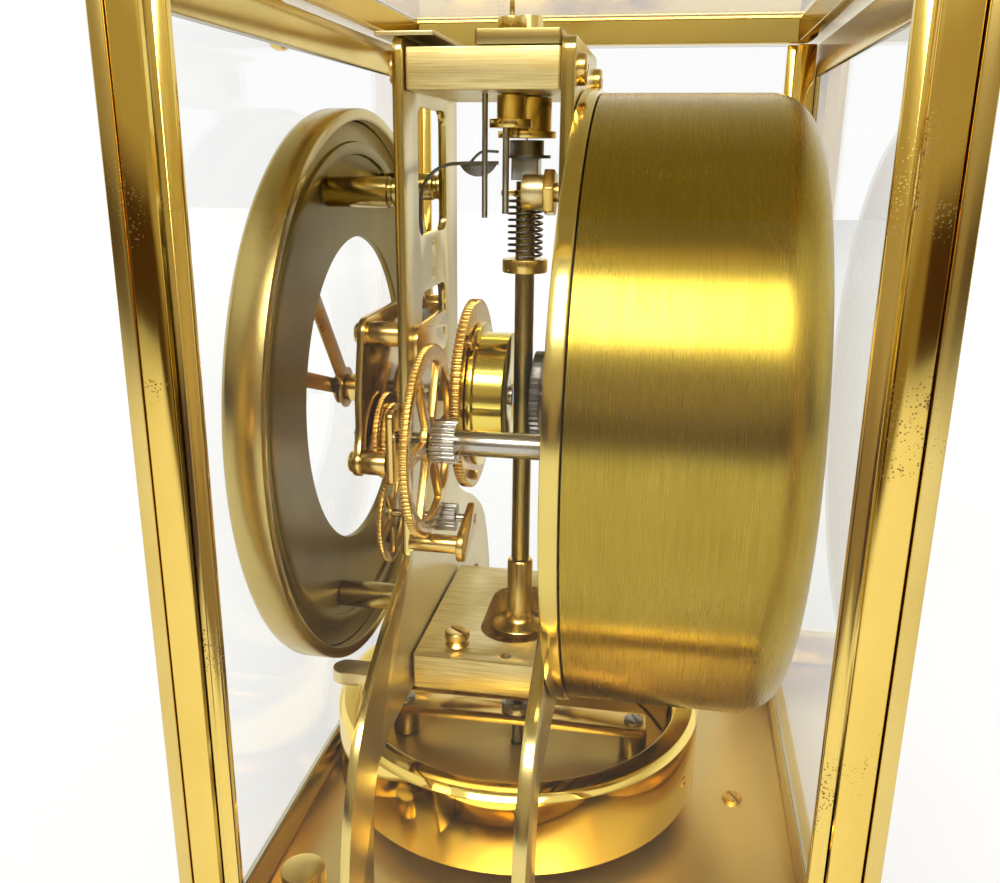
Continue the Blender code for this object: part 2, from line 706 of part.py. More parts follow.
def lathe(name, profile, look, axis="Z", at=(0.0, 0.0, 0.0), sides=ROUND_SIDES):
    builder = bmesh.new()
    lathe_into(builder, profile, sides, axis, (0.0, 0.0))
    return finish(name, builder, look, at)


def ring_profile(outer, inner, low, high):
    return [(outer, low), (outer, high), (inner, high), (inner, low)]


def rod_profile(steps):
    profile = [(0, steps[0][1])]
    profile += steps
    profile.append((0, steps[-1][1]))
    return profile


def plate_into(builder, outline, holes, low, high, axis):
    edges = []
    for loop in [outline] + holes:
        verts = [builder.verts.new(placed(axis, u, v, low)) for u, v in loop]
        edges += [builder.edges.new((verts[i - 1], verts[i])) for i in range(len(verts))]
    filled = bmesh.ops.triangle_fill(builder, use_beauty=True, edges=edges)
    faces = [item for item in filled["geom"] if isinstance(item, bmesh.types.BMFace)]
    grown = bmesh.ops.extrude_face_region(builder, geom=faces, use_keep_orig=True)
    moved = [item for item in grown["geom"] if isinstance(item, bmesh.types.BMVert)]
    bmesh.ops.translate(builder, verts=moved, vec=placed(axis, 0, 0, high - low))


def plate(name, outline, holes, low, high, look, axis="Y", at=(0.0, 0.0, 0.0)):
    builder = bmesh.new()
    plate_into(builder, outline, holes, low, high, axis)
    return finish(name, builder, look, at)


def block_into(builder, x_range, y_range, z_range):
    outline = [(x_range[0], y_range[0]), (x_range[1], y_range[0]),
               (x_range[1], y_range[1]), (x_range[0], y_range[1])]
    plate_into(builder, outline, [], z_range[0], z_range[1], "Z")


def blocks(name, boxes, look, at=(0.0, 0.0, 0.0)):
    builder = bmesh.new()
    for x_range, y_range, z_range in boxes:
        block_into(builder, x_range, y_range, z_range)
    return finish(name, builder, look, at)


def frame(name, half_u, half_v, profile, look, axis="Z", at=(0.0, 0.0, 0.0)):
    """Sweeps a closed profile of (inset, height) points round a rectangle."""
    builder = bmesh.new()
    rings = []
    for inset, height in profile:
        u = half_u - inset
        v = half_v - inset
        corners = ((u, v), (-u, v), (-u, -v), (u, -v))
        rings.append([builder.verts.new(placed(axis, a, b, height)) for a, b in corners])
    for first, second in zip(rings, rings[1:] + rings[:1]):
        for i in range(4):
            j = (i + 1) % 4
            builder.faces.new((first[i], first[j], second[j], second[i]))
    return finish(name, builder, look, at)


def tube_along(name, points, radius, look, at=(0.0, 0.0, 0.0), smooth_sides=1):
    """One unbroken round wire through the points."""
    curve = bpy.data.curves.new(name, "CURVE")
    curve.dimensions = "3D"
    curve.bevel_depth = radius
    curve.bevel_resolution = smooth_sides
    curve.use_fill_caps = True
    spline = curve.splines.new("POLY")
    spline.points.add(len(points) - 1)
    for target, point in zip(spline.points, points):
        target.co = (*point, 1)
    curve.materials.append(look)
    made = bpy.data.objects.new(name, curve)
    made.location = at
    bpy.context.scene.collection.objects.link(made)
    return made


def tool(name, kind, *details, **places):
    """A hidden shape that only joins or cuts another one."""
    made = kind(name, *details, **places)
    made.hide_render = True
    made.display_type = "WIRE"
    return made


def group_tool(name, fill):
    """Several hidden solids that one Boolean joins to another piece."""
    builder = bmesh.new()
    fill(builder)
    made = finish(name, builder, steel(), (0, 0, 0))
    made.hide_render = True
    made.display_type = "WIRE"
    return made


def rod_into(builder, axis, centre, steps, sides=SMALL_SIDES):
    lathe_into(builder, rod_profile(steps), sides, axis, centre)


def combine(target, other, operation):
    modifier = target.modifiers.new(operation.lower(), "BOOLEAN")
    modifier.operation = operation
    modifier.solver = "EXACT"
    modifier.object = other
    other.parent = target
    other.matrix_parent_inverse = target.matrix_basis.inverted()
    return target


def weld(target, other):
    return combine(target, other, "UNION")


def cut(target, other):
    return combine(target, other, "DIFFERENCE")


def helix(radius, low, high, turns, points_per_turn, axis, straight):
    """A coil of whole turns whose two ends run on straight."""
    count = turns * points_per_turn
    points = [placed(axis, radius, -straight, low)]
    for i in range(count + 1):
        u, v = along((0, 0), radius, FULL_TURN * i / points_per_turn)
        points.append(placed(axis, u, v, low + (high - low) * i / count))
    points.append(placed(axis, radius, straight, high))
    return points


def least_self_gap(points, wire, neighbours):
    least = None
    for i, first in enumerate(points):
        for second in points[i + neighbours:]:
            gap = math.dist(first, second) - 2 * wire
            least = gap if least is None else min(least, gap)
    return least


# Base

def make_plinth():
    """The moulded plinth with its fixed rear foot; the front feet screw into it."""
    low = FOOT_CLEARANCE
    top = PLINTH_TOP
    band = low + PLINTH_BAND
    profile = [(0, low), (0, band), (PLINTH_STEP, band + PLINTH_STEP),
               (PLINTH_STEP, top - PLINTH_SHOULDER - PLINTH_STEP),
               (PLINTH_SHOULDER, top - PLINTH_SHOULDER), (PLINTH_SHOULDER, top),
               (PLINTH_WALL, top), (PLINTH_WALL, low)]
    plinth = frame("base_plinth", PLINTH_WIDTH / 2, PLINTH_DEPTH / 2, profile, polished_gold())
    for index, (x, y) in enumerate(foot_places()[:2]):
        reach = low + FOOT_SHANK_LENGTH
        hole = rod_profile([(FOOT_SHANK + GAP, low - OVERRUN), (FOOT_SHANK + GAP, reach)])
        cut(plinth, tool("foot_hole_%d" % index, lathe, hole, steel(), at=(x, y, 0),
                         sides=SMALL_SIDES))
    rear = foot_places()[2]
    foot = rod_profile([(FOOT_RADIUS - FOOT_GROOVE, 0), (FOOT_RADIUS, FOOT_GROOVE),
                        (FOOT_RADIUS, low + OVERRUN)])
    weld(plinth, tool("foot_rear", lathe, foot, gear_brass(), at=(rear[0], rear[1], 0),
                      sides=MEDIUM_SIDES))


def foot_places():
    x = PLINTH_WIDTH / 2 - FOOT_INSET
    y = PLINTH_DEPTH / 2 - FOOT_INSET
    return ((-x, -y), (x, -y), (0.0, y))


def make_feet():
    names = ("foot_front_left", "foot_front_right")
    flange = FOOT_CLEARANCE - GAP
    for name, (x, y) in zip(names, foot_places()):
        groove = FOOT_RADIUS - FOOT_GROOVE
        steps = [(groove, 0), (FOOT_RADIUS, FOOT_GROOVE), (FOOT_RADIUS, flange - FOOT_GROOVE),
                 (groove, flange), (FOOT_SHANK, flange),
                 (FOOT_SHANK, FOOT_CLEARANCE + FOOT_SHANK_LENGTH - GAP * 2)]
        lathe(name, rod_profile(steps), gear_brass(), at=(x, y, 0), sides=MEDIUM_SIDES)


def make_base_plate():
    """The base plate with the nuts that hold the case and the cup round the pendulum's pin."""
    half_x = PLINTH_WIDTH / 2 - PLINTH_SHOULDER + GAP
    half_y = PLINTH_DEPTH / 2 - PLINTH_SHOULDER + GAP
    low = PLINTH_TOP + GAP
    outline = rounded_box(-half_x, half_x, -half_y, half_y, BASE_PLATE_CHAMFER)
    base = plate("base_plate", outline, [], low, BASE_TOP, polished_gold(), axis="Z")
    weld(base, group_tool("base_fittings", base_fittings_into))


def base_fittings_into(builder):
    seat = BASE_TOP - SEAT
    floor = LOWER_PIN_BOTTOM - GAP * 2
    top = BASE_TOP + LOCK_CUP_HEIGHT
    cup = [(0, seat), (LOCK_CUP_RADIUS, seat), (LOCK_CUP_RADIUS, top), (LOCK_CUP_BORE, top),
           (LOCK_CUP_BORE, floor), (0, floor)]
    lathe_into(builder, cup, MEDIUM_SIDES, "Z", (0, PENDULUM_Y))
    nut_top = BASE_TOP + CASE_NUT_HEIGHT
    edge = BASE_PLATE_CHAMFER
    for x in (-CASE_NUT_X, CASE_NUT_X):
        rod_into(builder, "Z", (x, CASE_NUT_Y),
                 [(CASE_NUT_RADIUS, seat), (CASE_NUT_RADIUS, nut_top - edge),
                  (CASE_NUT_RADIUS - edge, nut_top)], MEDIUM_SIDES)
    rod_into(builder, "Z", (0, BASE_SCREW_Y),
             [(BASE_SCREW_RADIUS, seat), (BASE_SCREW_RADIUS, BASE_TOP + SMALL_SCREW_HEIGHT)])


def make_level():
    """A spirit level: a brass cup filled to just under its rim by the glass."""
    low = BASE_TOP + GAP
    rim = low + LEVEL_HEIGHT
    profile = [(0, low), (LEVEL_RADIUS, low), (LEVEL_RADIUS, rim), (LEVEL_RADIUS - LEVEL_WALL, rim),
               (LEVEL_RADIUS - LEVEL_WALL, rim - LEVEL_WALL / 2), (0, rim - LEVEL_WALL / 2)]
    lathe("spirit_level", profile, polished_gold(), at=(0, LEVEL_Y, 0), sides=SMOOTH_SIDES)


# Case

def make_side_frames():
    """Each side frame is a bottom rail with a post standing at both ends."""
    inner = CASE_HALF_WIDTH - BAR_WIDTH
    height = (CASE_BOTTOM, CASE_BOTTOM + BOTTOM_RAIL_HEIGHT)
    depth = (-CASE_INNER_DEPTH, CASE_INNER_DEPTH)
    for name, sign in (("side_frame_left", -1), ("side_frame_right", 1)):
        edges = sorted((sign * inner, sign * CASE_HALF_WIDTH))
        rail = blocks(name, [(edges, depth, height)], polished_gold())
        weld(rail, group_tool(name + "_posts", lambda builder: posts_into(builder, sign)))


def make_top_frame():
    low = TOP_FRAME_BOTTOM
    lip = low + TOP_FRAME_LIP
    cap = CASE_TOP - TOP_FRAME_CAP
    step = TOP_FRAME_STEP
    inner = BAR_WIDTH
    ledge = cap - GAP
    profile = [(step, low), (step, lip), (0, lip), (0, cap), (step, cap), (step, CASE_TOP),
               (inner - step, CASE_TOP), (inner - step, ledge), (inner, ledge), (inner, low)]
    frame("case_top_frame", CASE_HALF_WIDTH, CASE_HALF_DEPTH, profile, polished_gold())


def posts_into(builder, x_sign):
    outer = CASE_HALF_WIDTH
    inner = CASE_HALF_WIDTH - BAR_WIDTH
    far = CASE_INNER_DEPTH
    near = CASE_INNER_DEPTH - POST_DEPTH
    lip = near - POST_LIP
    glass_face = outer - SIDE_GLASS_INSET - SIDE_GLASS - GAP
    lip_face = glass_face - POST_LIP_THICKNESS
    for y_sign in (-1, 1):
        corners = ((inner, far), (outer, far), (outer, near), (glass_face, near),
                   (glass_face, lip), (lip_face, lip), (lip_face, near), (inner, near))
        outline = [(x_sign * x, y_sign * y) for x, y in corners]
        plate_into(builder, outline, [], POST_BOTTOM - OVERRUN, TOP_FRAME_BOTTOM - GAP, "Z")


def make_case_glass():
    """The fixed panes: both sides, the top and the rear."""
    half_y = CASE_INNER_DEPTH - POST_DEPTH - GAP
    outside = CASE_HALF_WIDTH - SIDE_GLASS_INSET
    inside = outside - SIDE_GLASS
    height = (POST_BOTTOM, TOP_FRAME_BOTTOM - GAP)
    depth = (-half_y, half_y)
    blocks("side_glass_left", [((-outside, -inside), depth, height)], clear_glass())
    blocks("side_glass_right", [((inside, outside), depth, height)], clear_glass())
    top_x = CASE_HALF_WIDTH - BAR_WIDTH + TOP_FRAME_STEP - GAP
    top_y = CASE_HALF_DEPTH - BAR_WIDTH + TOP_FRAME_STEP - GAP
    top_low = CASE_TOP - TOP_FRAME_CAP
    blocks("top_glass", [((-top_x, top_x), (-top_y, top_y), (top_low, top_low + TOP_GLASS - GAP))],
           clear_glass())
    blocks("rear_glass", [pane_box(CASE_HALF_DEPTH - DOOR_THICKNESS, CASE_HALF_DEPTH)], clear_glass())


def pane_box(face, other_face):
    """The pane that fills a panel frame lying between two faces."""
    half_u = CASE_HALF_WIDTH - BAR_WIDTH - GAP
    middle = (face + other_face) / 2
    return ((-half_u, half_u), (middle - PANEL_GLASS / 2, middle + PANEL_GLASS / 2),
            (CASE_BOTTOM + BAR_WIDTH + GAP, TOP_FRAME_BOTTOM - BAR_WIDTH - GAP * 2))


def make_panel_frame(name, outer_face, inner_face):
    low = CASE_BOTTOM
    high = TOP_FRAME_BOTTOM - GAP
    profile = [(0, outer_face), (BAR_WIDTH, outer_face), (BAR_WIDTH, inner_face), (0, inner_face)]
    return frame(name, CASE_HALF_WIDTH, (high - low) / 2, profile, satin_gilt(), axis="Y",
                 at=(0, 0, (low + high) / 2))


def hang_on(item, pivot):
    """Moves an object's origin to its pivot and leaves its shape where it is."""
    offset = [pivot[i] - item.location[i] for i in range(3)]
    for vertex in item.data.vertices:
        for i in range(3):
            vertex.co[i] -= offset[i]
    item.location = pivot


def door_pivot():
    return (0, -CASE_HALF_DEPTH, CASE_BOTTOM)


def make_panels():
    face = -CASE_HALF_DEPTH
    hang_on(make_panel_frame("front_door", face, face + DOOR_THICKNESS), door_pivot())
    glass = blocks("front_glass", [pane_box(face, face + DOOR_THICKNESS)], clear_glass())
    hang_on(glass, door_pivot())
    make_panel_frame("rear_frame", CASE_HALF_DEPTH, CASE_HALF_DEPTH - DOOR_THICKNESS)
    start = face - GAP
    knob = [(KNOB_NECK, start), (KNOB_NECK, start - KNOB_LENGTH * KNOB_NECK_SHARE),
            (KNOB_RADIUS, start - KNOB_LENGTH * KNOB_WAIST_SHARE),
            (KNOB_RADIUS, start - KNOB_LENGTH * KNOB_RIM_SHARE), (KNOB_END_RADIUS, start - KNOB_LENGTH)]
    height = TOP_FRAME_BOTTOM - BAR_WIDTH / 2
    made = lathe("door_knob", rod_profile(knob), polished_gold(), axis="Y", at=(0, 0, height),
                 sides=MEDIUM_SIDES)
    hang_on(made, door_pivot())


# Movement plates

def half_plate(ear):
    """One side of the bell-shaped outline: shoulder, flare, leg and arch."""
    reach = LEG_OUTSIDE - PLATE_HALF_WIDTH
    drop = PLATE_SHOULDER - PLATE_FOOT
    inside = LEG_OUTSIDE - LEG_WIDTH
    arch = ARCH_TOP - PLATE_FOOT
    half = [(PLATE_HALF_WIDTH - PLATE_CORNER, PLATE_TOP), (PLATE_HALF_WIDTH, PLATE_TOP - PLATE_CORNER)]
    half += ear
    half += [(PLATE_HALF_WIDTH + reach * a, PLATE_FOOT + drop * b) for a, b in PLATE_OUTLINE_SHARES]
    half.append((inside, PLATE_FOOT))
    half += [(inside * a, PLATE_FOOT + arch * b) for a, b in reversed(ARCH_SHARES)]
    return half


def plate_outline(ear=()):
    right = half_plate(list(ear))
    return right + [(-x, y) for x, y in reversed(half_plate([]))]


def rear_ear():
    """The ear that carries the rear pivot of the spoked wheel's arbor."""
    edge = SIDE_COCK_OUTSIDE
    high = SIDE_COCK_TOP + SCREW_SHANK
    low = MOTION_BRIDGE_BOTTOM
    return [(PLATE_HALF_WIDTH, high + SCREW_SHANK), (edge - SCREW_SHANK, high),
            (edge, high - SCREW_SHANK),
            (edge, low + SCREW_SHANK), (edge - SCREW_SHANK, low), (PLATE_HALF_WIDTH, low - SCREW_SHANK)]


def upper_window():
    return rounded_box(-WINDOW_HALF_WIDTH, WINDOW_HALF_WIDTH, WINDOW_LOW, WINDOW_HIGH, WINDOW_CORNER)


def pivot_hole(arbor, radius=PIVOT_RADIUS):
    return circle(radius + GAP, SMALL_SIDES, arbor)


def make_plates():
    half = LOWER_WINDOW_HALF_WIDTH
    lower_window = rounded_box(-half, half, LOWER_WINDOW_LOW, LOWER_WINDOW_HIGH, WINDOW_CORNER)
    holes = [upper_window(), lower_window, pivot_hole(LOWER_ARBOR, ARBOR_RADIUS),
             pivot_hole(CENTRE, BARREL_ARBOR_RADIUS), pivot_hole(MINUTE_ARBOR),
             pivot_hole(ESCAPE_ARBOR), pivot_hole(PALLET_ARBOR)]
    front = plate("front_plate", plate_outline(), holes, FRONT_PLATE_FRONT, FRONT_PLATE_BACK,
                  satin_gilt())
    weld(front, group_tool("front_plate_fittings", front_fittings_into))
    holes = [pivot_hole(WHEEL_ARBOR, REAR_PIVOT_RADIUS),
             circle(RATCHET_STUD_RADIUS, SMALL_SIDES, CENTRE),
             circle(PUSH_ROD_RADIUS + GAP * 2, SMALL_SIDES, (PUSH_ROD_X, AXIS_HEIGHT))]
    rear = plate("rear_plate", plate_outline(rear_ear()), holes, REAR_PLATE_FRONT, REAR_PLATE_BACK,
                 satin_gilt())
    weld(rear, group_tool("rear_plate_fittings", rear_fittings_into))


def screw_heights():
    return (BRIDGE_BOTTOM + BRIDGE_TOP) / 2, (PLATFORM_BOTTOM + PLATFORM_TOP) / 2


def front_fittings_into(builder):
    """What is riveted or screwed to the front plate: pillars, cocks, clip and screws."""
    seat = FRONT_PLATE_FRONT + SEAT
    for x in (-DIAL_PILLAR_X, DIAL_PILLAR_X):
        for height in (DIAL_PILLAR_UPPER, DIAL_PILLAR_LOWER):
            rod_into(builder, "Y", (x, height), [(DIAL_PILLAR_RADIUS, DIAL_BACK + GAP),
                                                 (DIAL_PILLAR_RADIUS, seat)])
    for x in (-PLATE_SCREW_X, PLATE_SCREW_X):
        for height in screw_heights():
            rod_into(builder, "Y", (x, height),
                     [(SCREW_HEAD_RADIUS, FRONT_PLATE_FRONT - SCREW_HEAD_HEIGHT),
                      (SCREW_HEAD_RADIUS, seat)])
    face = FRONT_PLATE_FRONT - SIDE_COCK_THICKNESS
    right = rounded_box(SIDE_COCK_INSIDE, SIDE_COCK_OUTSIDE, MOTION_BRIDGE_BOTTOM, SIDE_COCK_TOP,
                        SCREW_SHANK)
    plate_into(builder, right, [pivot_hole(WHEEL_ARBOR, NOSE_PIVOT_RADIUS)], face, seat, "Y")
    plate_into(builder, [(-x, z) for x, z in right], [], face, seat, "Y")
    third = rounded_box(THIRD_COCK_LEFT, THIRD_COCK_RIGHT, THIRD_COCK_LOW, THIRD_COCK_HIGH,
                        LOWER_COCK_RADIUS)
    plate_into(builder, third, [pivot_hole(THIRD_ARBOR)], FRONT_PLATE_BACK - SEAT,
               FRONT_PLATE_BACK + THIRD_COCK_THICKNESS, "Y")
    clip_low = PLATE_TOP - SEAT
    block_into(builder, (-CLIP_HALF_LENGTH, CLIP_HALF_LENGTH), (CLIP_FRONT, CLIP_BACK),
               (clip_low, clip_low + CLIP_THICKNESS + SEAT))
    lever_face = FRONT_PLATE_FRONT - GAP * 2 - LEVER_FOOT_THICKNESS
    rod_into(builder, "Y", (LEVER_X, lever_pivot_height()),
             [(SMALL_SCREW_RADIUS, lever_face - SMALL_SCREW_HEIGHT), (SMALL_SCREW_RADIUS, lever_face),
              (SCREW_SHANK, lever_face), (SCREW_SHANK, seat)])


def rear_fittings_into(builder):
    """Screw heads behind the rear plate, and the stepped hexagon-headed stud before it."""
    for x in (-PLATE_SCREW_X, PLATE_SCREW_X):
        rod_into(builder, "Y", (x, screw_heights()[0]),
                 [(SCREW_HEAD_RADIUS, REAR_PLATE_BACK - SEAT),
                  (SCREW_HEAD_RADIUS, REAR_PLATE_BACK + SCREW_HEAD_HEIGHT)])
    steps = [(HEX_BODY_RADIUS, HEX_BODY_FRONT), (HEX_BODY_RADIUS, HEX_HEAD_FRONT),
             (HEX_HEAD_RADIUS, HEX_HEAD_FRONT), (HEX_HEAD_RADIUS, HEX_HEAD_BACK),
             (HEX_SHANK_RADIUS, HEX_HEAD_BACK), (HEX_SHANK_RADIUS, REAR_PLATE_FRONT + SEAT)]
    rod_into(builder, "Y", (HEX_SCREW_X, HEX_SCREW_HEIGHT), steps, SMOOTH_SIDES)


def make_top_bridge():
    holes = [circle(HEAD_NECK_RADIUS + GAP, SMALL_SIDES, (0, PENDULUM_Y)),
             circle(REGULATOR_NECK + GAP, SMALL_SIDES, (REGULATOR_X, REGULATOR_Y))]
    outline = rounded_box(-BRIDGE_HALF_LENGTH, BRIDGE_HALF_LENGTH, BRIDGE_FRONT, BRIDGE_BACK,
                          PLATFORM_CORNER)
    bridge = plate("top_bridge", outline, holes, BRIDGE_BOTTOM, BRIDGE_TOP, polished_gold(), axis="Z")
    rod = rod_profile([(GUIDE_ROD_RADIUS, GUIDE_ROD_BOTTOM),
                       (GUIDE_ROD_RADIUS, BRIDGE_BOTTOM + GUIDE_ROD_REACH)])
    weld(bridge, tool("guide_rod", lathe, rod, steel(), at=(GUIDE_ROD_X, GUIDE_ROD_Y, 0),
                      sides=PIN_SIDES))
    front = BRIDGE_BACK - COVER_DEPTH
    cover = rounded_box(-COVER_HALF_LENGTH, COVER_HALF_LENGTH, front, BRIDGE_BACK, PLATFORM_CORNER)
    plate("top_cover", cover, holes, COVER_BOTTOM, COVER_BOTTOM + COVER_THICKNESS, olive_brass(),
          axis="Z")


def make_platform():
    """The platform between the plates, with the plate under it and a slotted screw on it."""
    slot_end = STAFF_SLOT_HALF_LENGTH
    slot_half = STAFF_SLOT_HALF_WIDTH
    slot = rounded_box(-slot_end, slot_end, PENDULUM_Y - slot_half, PENDULUM_Y + slot_half,
                       slot_half - GAP)
    holes = [slot, circle(PLATFORM_TAP_RADIUS, SMALL_SIDES, (PLATFORM_TAP_X, PLATFORM_TAP_Y))]
    outline = rounded_box(-PLATFORM_HALF_LENGTH, PLATFORM_HALF_LENGTH, BRIDGE_FRONT, BRIDGE_BACK,
                          PLATFORM_CORNER)
    made = plate("platform", outline, holes, PLATFORM_BOTTOM, PLATFORM_TOP, brushed_brass(), axis="Z")
    low = PLATFORM_BOTTOM - UNDER_PLATE_THICKNESS
    under = rounded_box(-UNDER_PLATE_HALF_LENGTH, UNDER_PLATE_HALF_LENGTH, UNDER_PLATE_FRONT,
                        UNDER_PLATE_FRONT + UNDER_PLATE_DEPTH, PLATFORM_CORNER)
    staff_hole = circle(STAFF_HOLE_RADIUS, MEDIUM_SIDES, (0, PENDULUM_Y))
    weld(made, tool("under_plate", plate, under, [staff_hole], low, PLATFORM_BOTTOM + SEAT,
                    gear_brass(), axis="Z"))
    seat = PLATFORM_TOP - SEAT
    cone = PLATFORM_TOP + PLATFORM_SCREW_HEIGHT / 2
    top = PLATFORM_TOP + PLATFORM_SCREW_HEIGHT
    screw = rod_profile([(PLATFORM_SCREW_RADIUS, seat), (SCREW_SHANK, cone),
                         (PLATFORM_SCREW_RADIUS, cone), (PLATFORM_SCREW_RADIUS, top)])
    weld(made, tool("platform_screw", lathe, screw, gear_brass(),
                    at=(PLATFORM_SCREW_X, PLATFORM_SCREW_Y, 0), sides=SMALL_SIDES))


# Suspension and pendulum

def make_suspension_head():
    flange_top = HEAD_BOTTOM + HEAD_FLANGE_HEIGHT
    top = BRIDGE_BOTTOM - GAP
    bore = WIRE_RADIUS + GAP
    profile = [(HEAD_FLANGE_RADIUS, HEAD_BOTTOM), (HEAD_FLANGE_RADIUS, flange_top),
               (HEAD_RADIUS, flange_top), (HEAD_RADIUS, top), (HEAD_NECK_RADIUS, top),
               (HEAD_NECK_RADIUS, HEAD_STEM_TOP), (bore, HEAD_STEM_TOP), (bore, HEAD_BOTTOM)]
    lathe("suspension_head", profile, gear_brass(), at=(0, PENDULUM_Y, 0), sides=SMOOTH_SIDES)


def make_regulator():
    flange_top = REGULATOR_BOTTOM + REGULATOR_FLANGE_HEIGHT
    top = BRIDGE_BOTTOM - GAP
    cap = COVER_BOTTOM + COVER_THICKNESS + GAP
    steps = [(REGULATOR_FLANGE, REGULATOR_BOTTOM), (REGULATOR_FLANGE, flange_top),
             (REGULATOR_RADIUS, flange_top), (REGULATOR_RADIUS, top), (REGULATOR_NECK, top),
             (REGULATOR_NECK, cap), (REGULATOR_RADIUS, cap),
             (REGULATOR_RADIUS, cap + REGULATOR_CAP_HEIGHT)]
    body = lathe("regulator", rod_profile(steps), gear_brass(), at=(REGULATOR_X, REGULATOR_Y, 0),
                 sides=SMOOTH_SIDES)
    pin = rod_profile([(REGULATOR_PIN_RADIUS, REGULATOR_PIN_BOTTOM),
                       (REGULATOR_PIN_RADIUS, REGULATOR_BOTTOM + GAP)])
    place = (REGULATOR_X, REGULATOR_Y - REGULATOR_PIN_OFFSET, 0)
    weld(body, tool("regulator_pin", lathe, pin, steel(), at=place, sides=PIN_SIDES))


def make_staff():
    place = (0, PENDULUM_Y, 0)
    tube_top = ROLLER_BOSS_BOTTOM - GAP
    tube_low = SLEEVE_TOP + GAP
    tube = lathe("staff_tube", ring_profile(TUBE_RADIUS, TUBE_BORE, tube_low, tube_top),
                 olive_brass(), at=place, sides=MEDIUM_SIDES)
    add_spring_stop(tube)
    foot_top = GUIDE_BOTTOM + GUIDE_HEIGHT
    sleeve = [(0, GUIDE_BOTTOM), (GUIDE_RADIUS, GUIDE_BOTTOM), (GUIDE_RADIUS, foot_top - GUIDE_SLOPE),
              (SLEEVE_RADIUS + GUIDE_SLOPE, foot_top), (SLEEVE_RADIUS, foot_top + GUIDE_SLOPE),
              (SLEEVE_RADIUS, SLEEVE_TOP), (TUBE_BORE, SLEEVE_TOP), (TUBE_BORE, foot_top),
              (0, foot_top)]
    lathe("staff_sleeve", sleeve, gear_brass(), at=place, sides=SMOOTH_SIDES)
    low = STAFF_COLLAR_TOP - STAFF_COLLAR_HEIGHT
    lathe("staff_collar", ring_profile(STAFF_COLLAR_RADIUS, TUBE_RADIUS + GAP, low, STAFF_COLLAR_TOP),
          gear_brass(), at=place, sides=SMOOTH_SIDES)
    wire = rod_profile([(WIRE_RADIUS, foot_top + GAP), (WIRE_RADIUS, HEAD_STEM_TOP - GAP)])
    lathe("suspension_wire", wire, steel(), at=place, sides=PIN_SIDES)


def add_spring_stop(tube):
    low = SPRING_STOP_BOTTOM
    high = low + SPRING_STOP_HEIGHT
    place = (0, PENDULUM_Y, 0)
    stop = ring_profile(SPRING_STOP_RADIUS, TUBE_RADIUS - GAP, low, high)
    weld(tube, tool("spring_stop", lathe, stop, gear_brass(), at=place, sides=MEDIUM_SIDES))
    half = SPRING_STOP_ARM_WIDTH / 2
    start = -(TUBE_RADIUS + SPRING_STOP_RADIUS) / 2
    arm = [((-half, half), (-SPRING_STOP_ARM, start), (low + GAP / 2, high - GAP / 2))]
    weld(tube, tool("spring_stop_arm", blocks, arm, gear_brass(), at=place))


def make_roller():
    low = ROLLER_BOTTOM
    top = low + ROLLER_THICKNESS
    bore = WIRE_RADIUS + GAP
    place = (0, PENDULUM_Y, 0)
    profile = [(ROLLER_RADIUS, low), (ROLLER_RADIUS, top), (ROLLER_BLOCK_RADIUS, top),
               (ROLLER_BLOCK_RADIUS, top + ROLLER_BLOCK_HEIGHT), (bore, top + ROLLER_BLOCK_HEIGHT),
               (bore, low)]
    roller = lathe("roller", profile, dark_steel(), at=place, sides=SMOOTH_SIDES)
    half = ROLLER_BOSS_HALF_WIDTH
    outline = rounded_box(-half, half, -half, half, ROLLER_BOSS_CORNER)
    weld(roller, tool("roller_boss", plate, outline, [circle(bore, SMALL_SIDES)], ROLLER_BOSS_BOTTOM,
                      low + GAP, steel(), axis="Z", at=place))
    pin = rod_profile([(IMPULSE_PIN_RADIUS, low - IMPULSE_PIN_LENGTH), (IMPULSE_PIN_RADIUS, low + GAP)])
    reach = ROLLER_RADIUS - IMPULSE_PIN_INSET
    weld(roller, tool("impulse_pin", lathe, pin, steel(), at=(0, PENDULUM_Y - reach, 0),
                      sides=PIN_SIDES))


def make_staff_spring():
    low = STAFF_COLLAR_TOP + GAP + SPRING_WIRE
    high = SPRING_STOP_BOTTOM - GAP - SPRING_WIRE
    points = helix(SPRING_RADIUS, low, high, SPRING_TURNS, SPRING_STEPS, "Z", SPRING_WIRE * 2)
    tube_along("staff_spring", points, SPRING_WIRE, dark_steel(), at=(0, PENDULUM_Y, 0))
    gap = least_self_gap(points, SPRING_WIRE, SPRING_NEIGHBOURS)
    print("staff_spring least gap mm", round(gap / MILLIMETRE, 2))


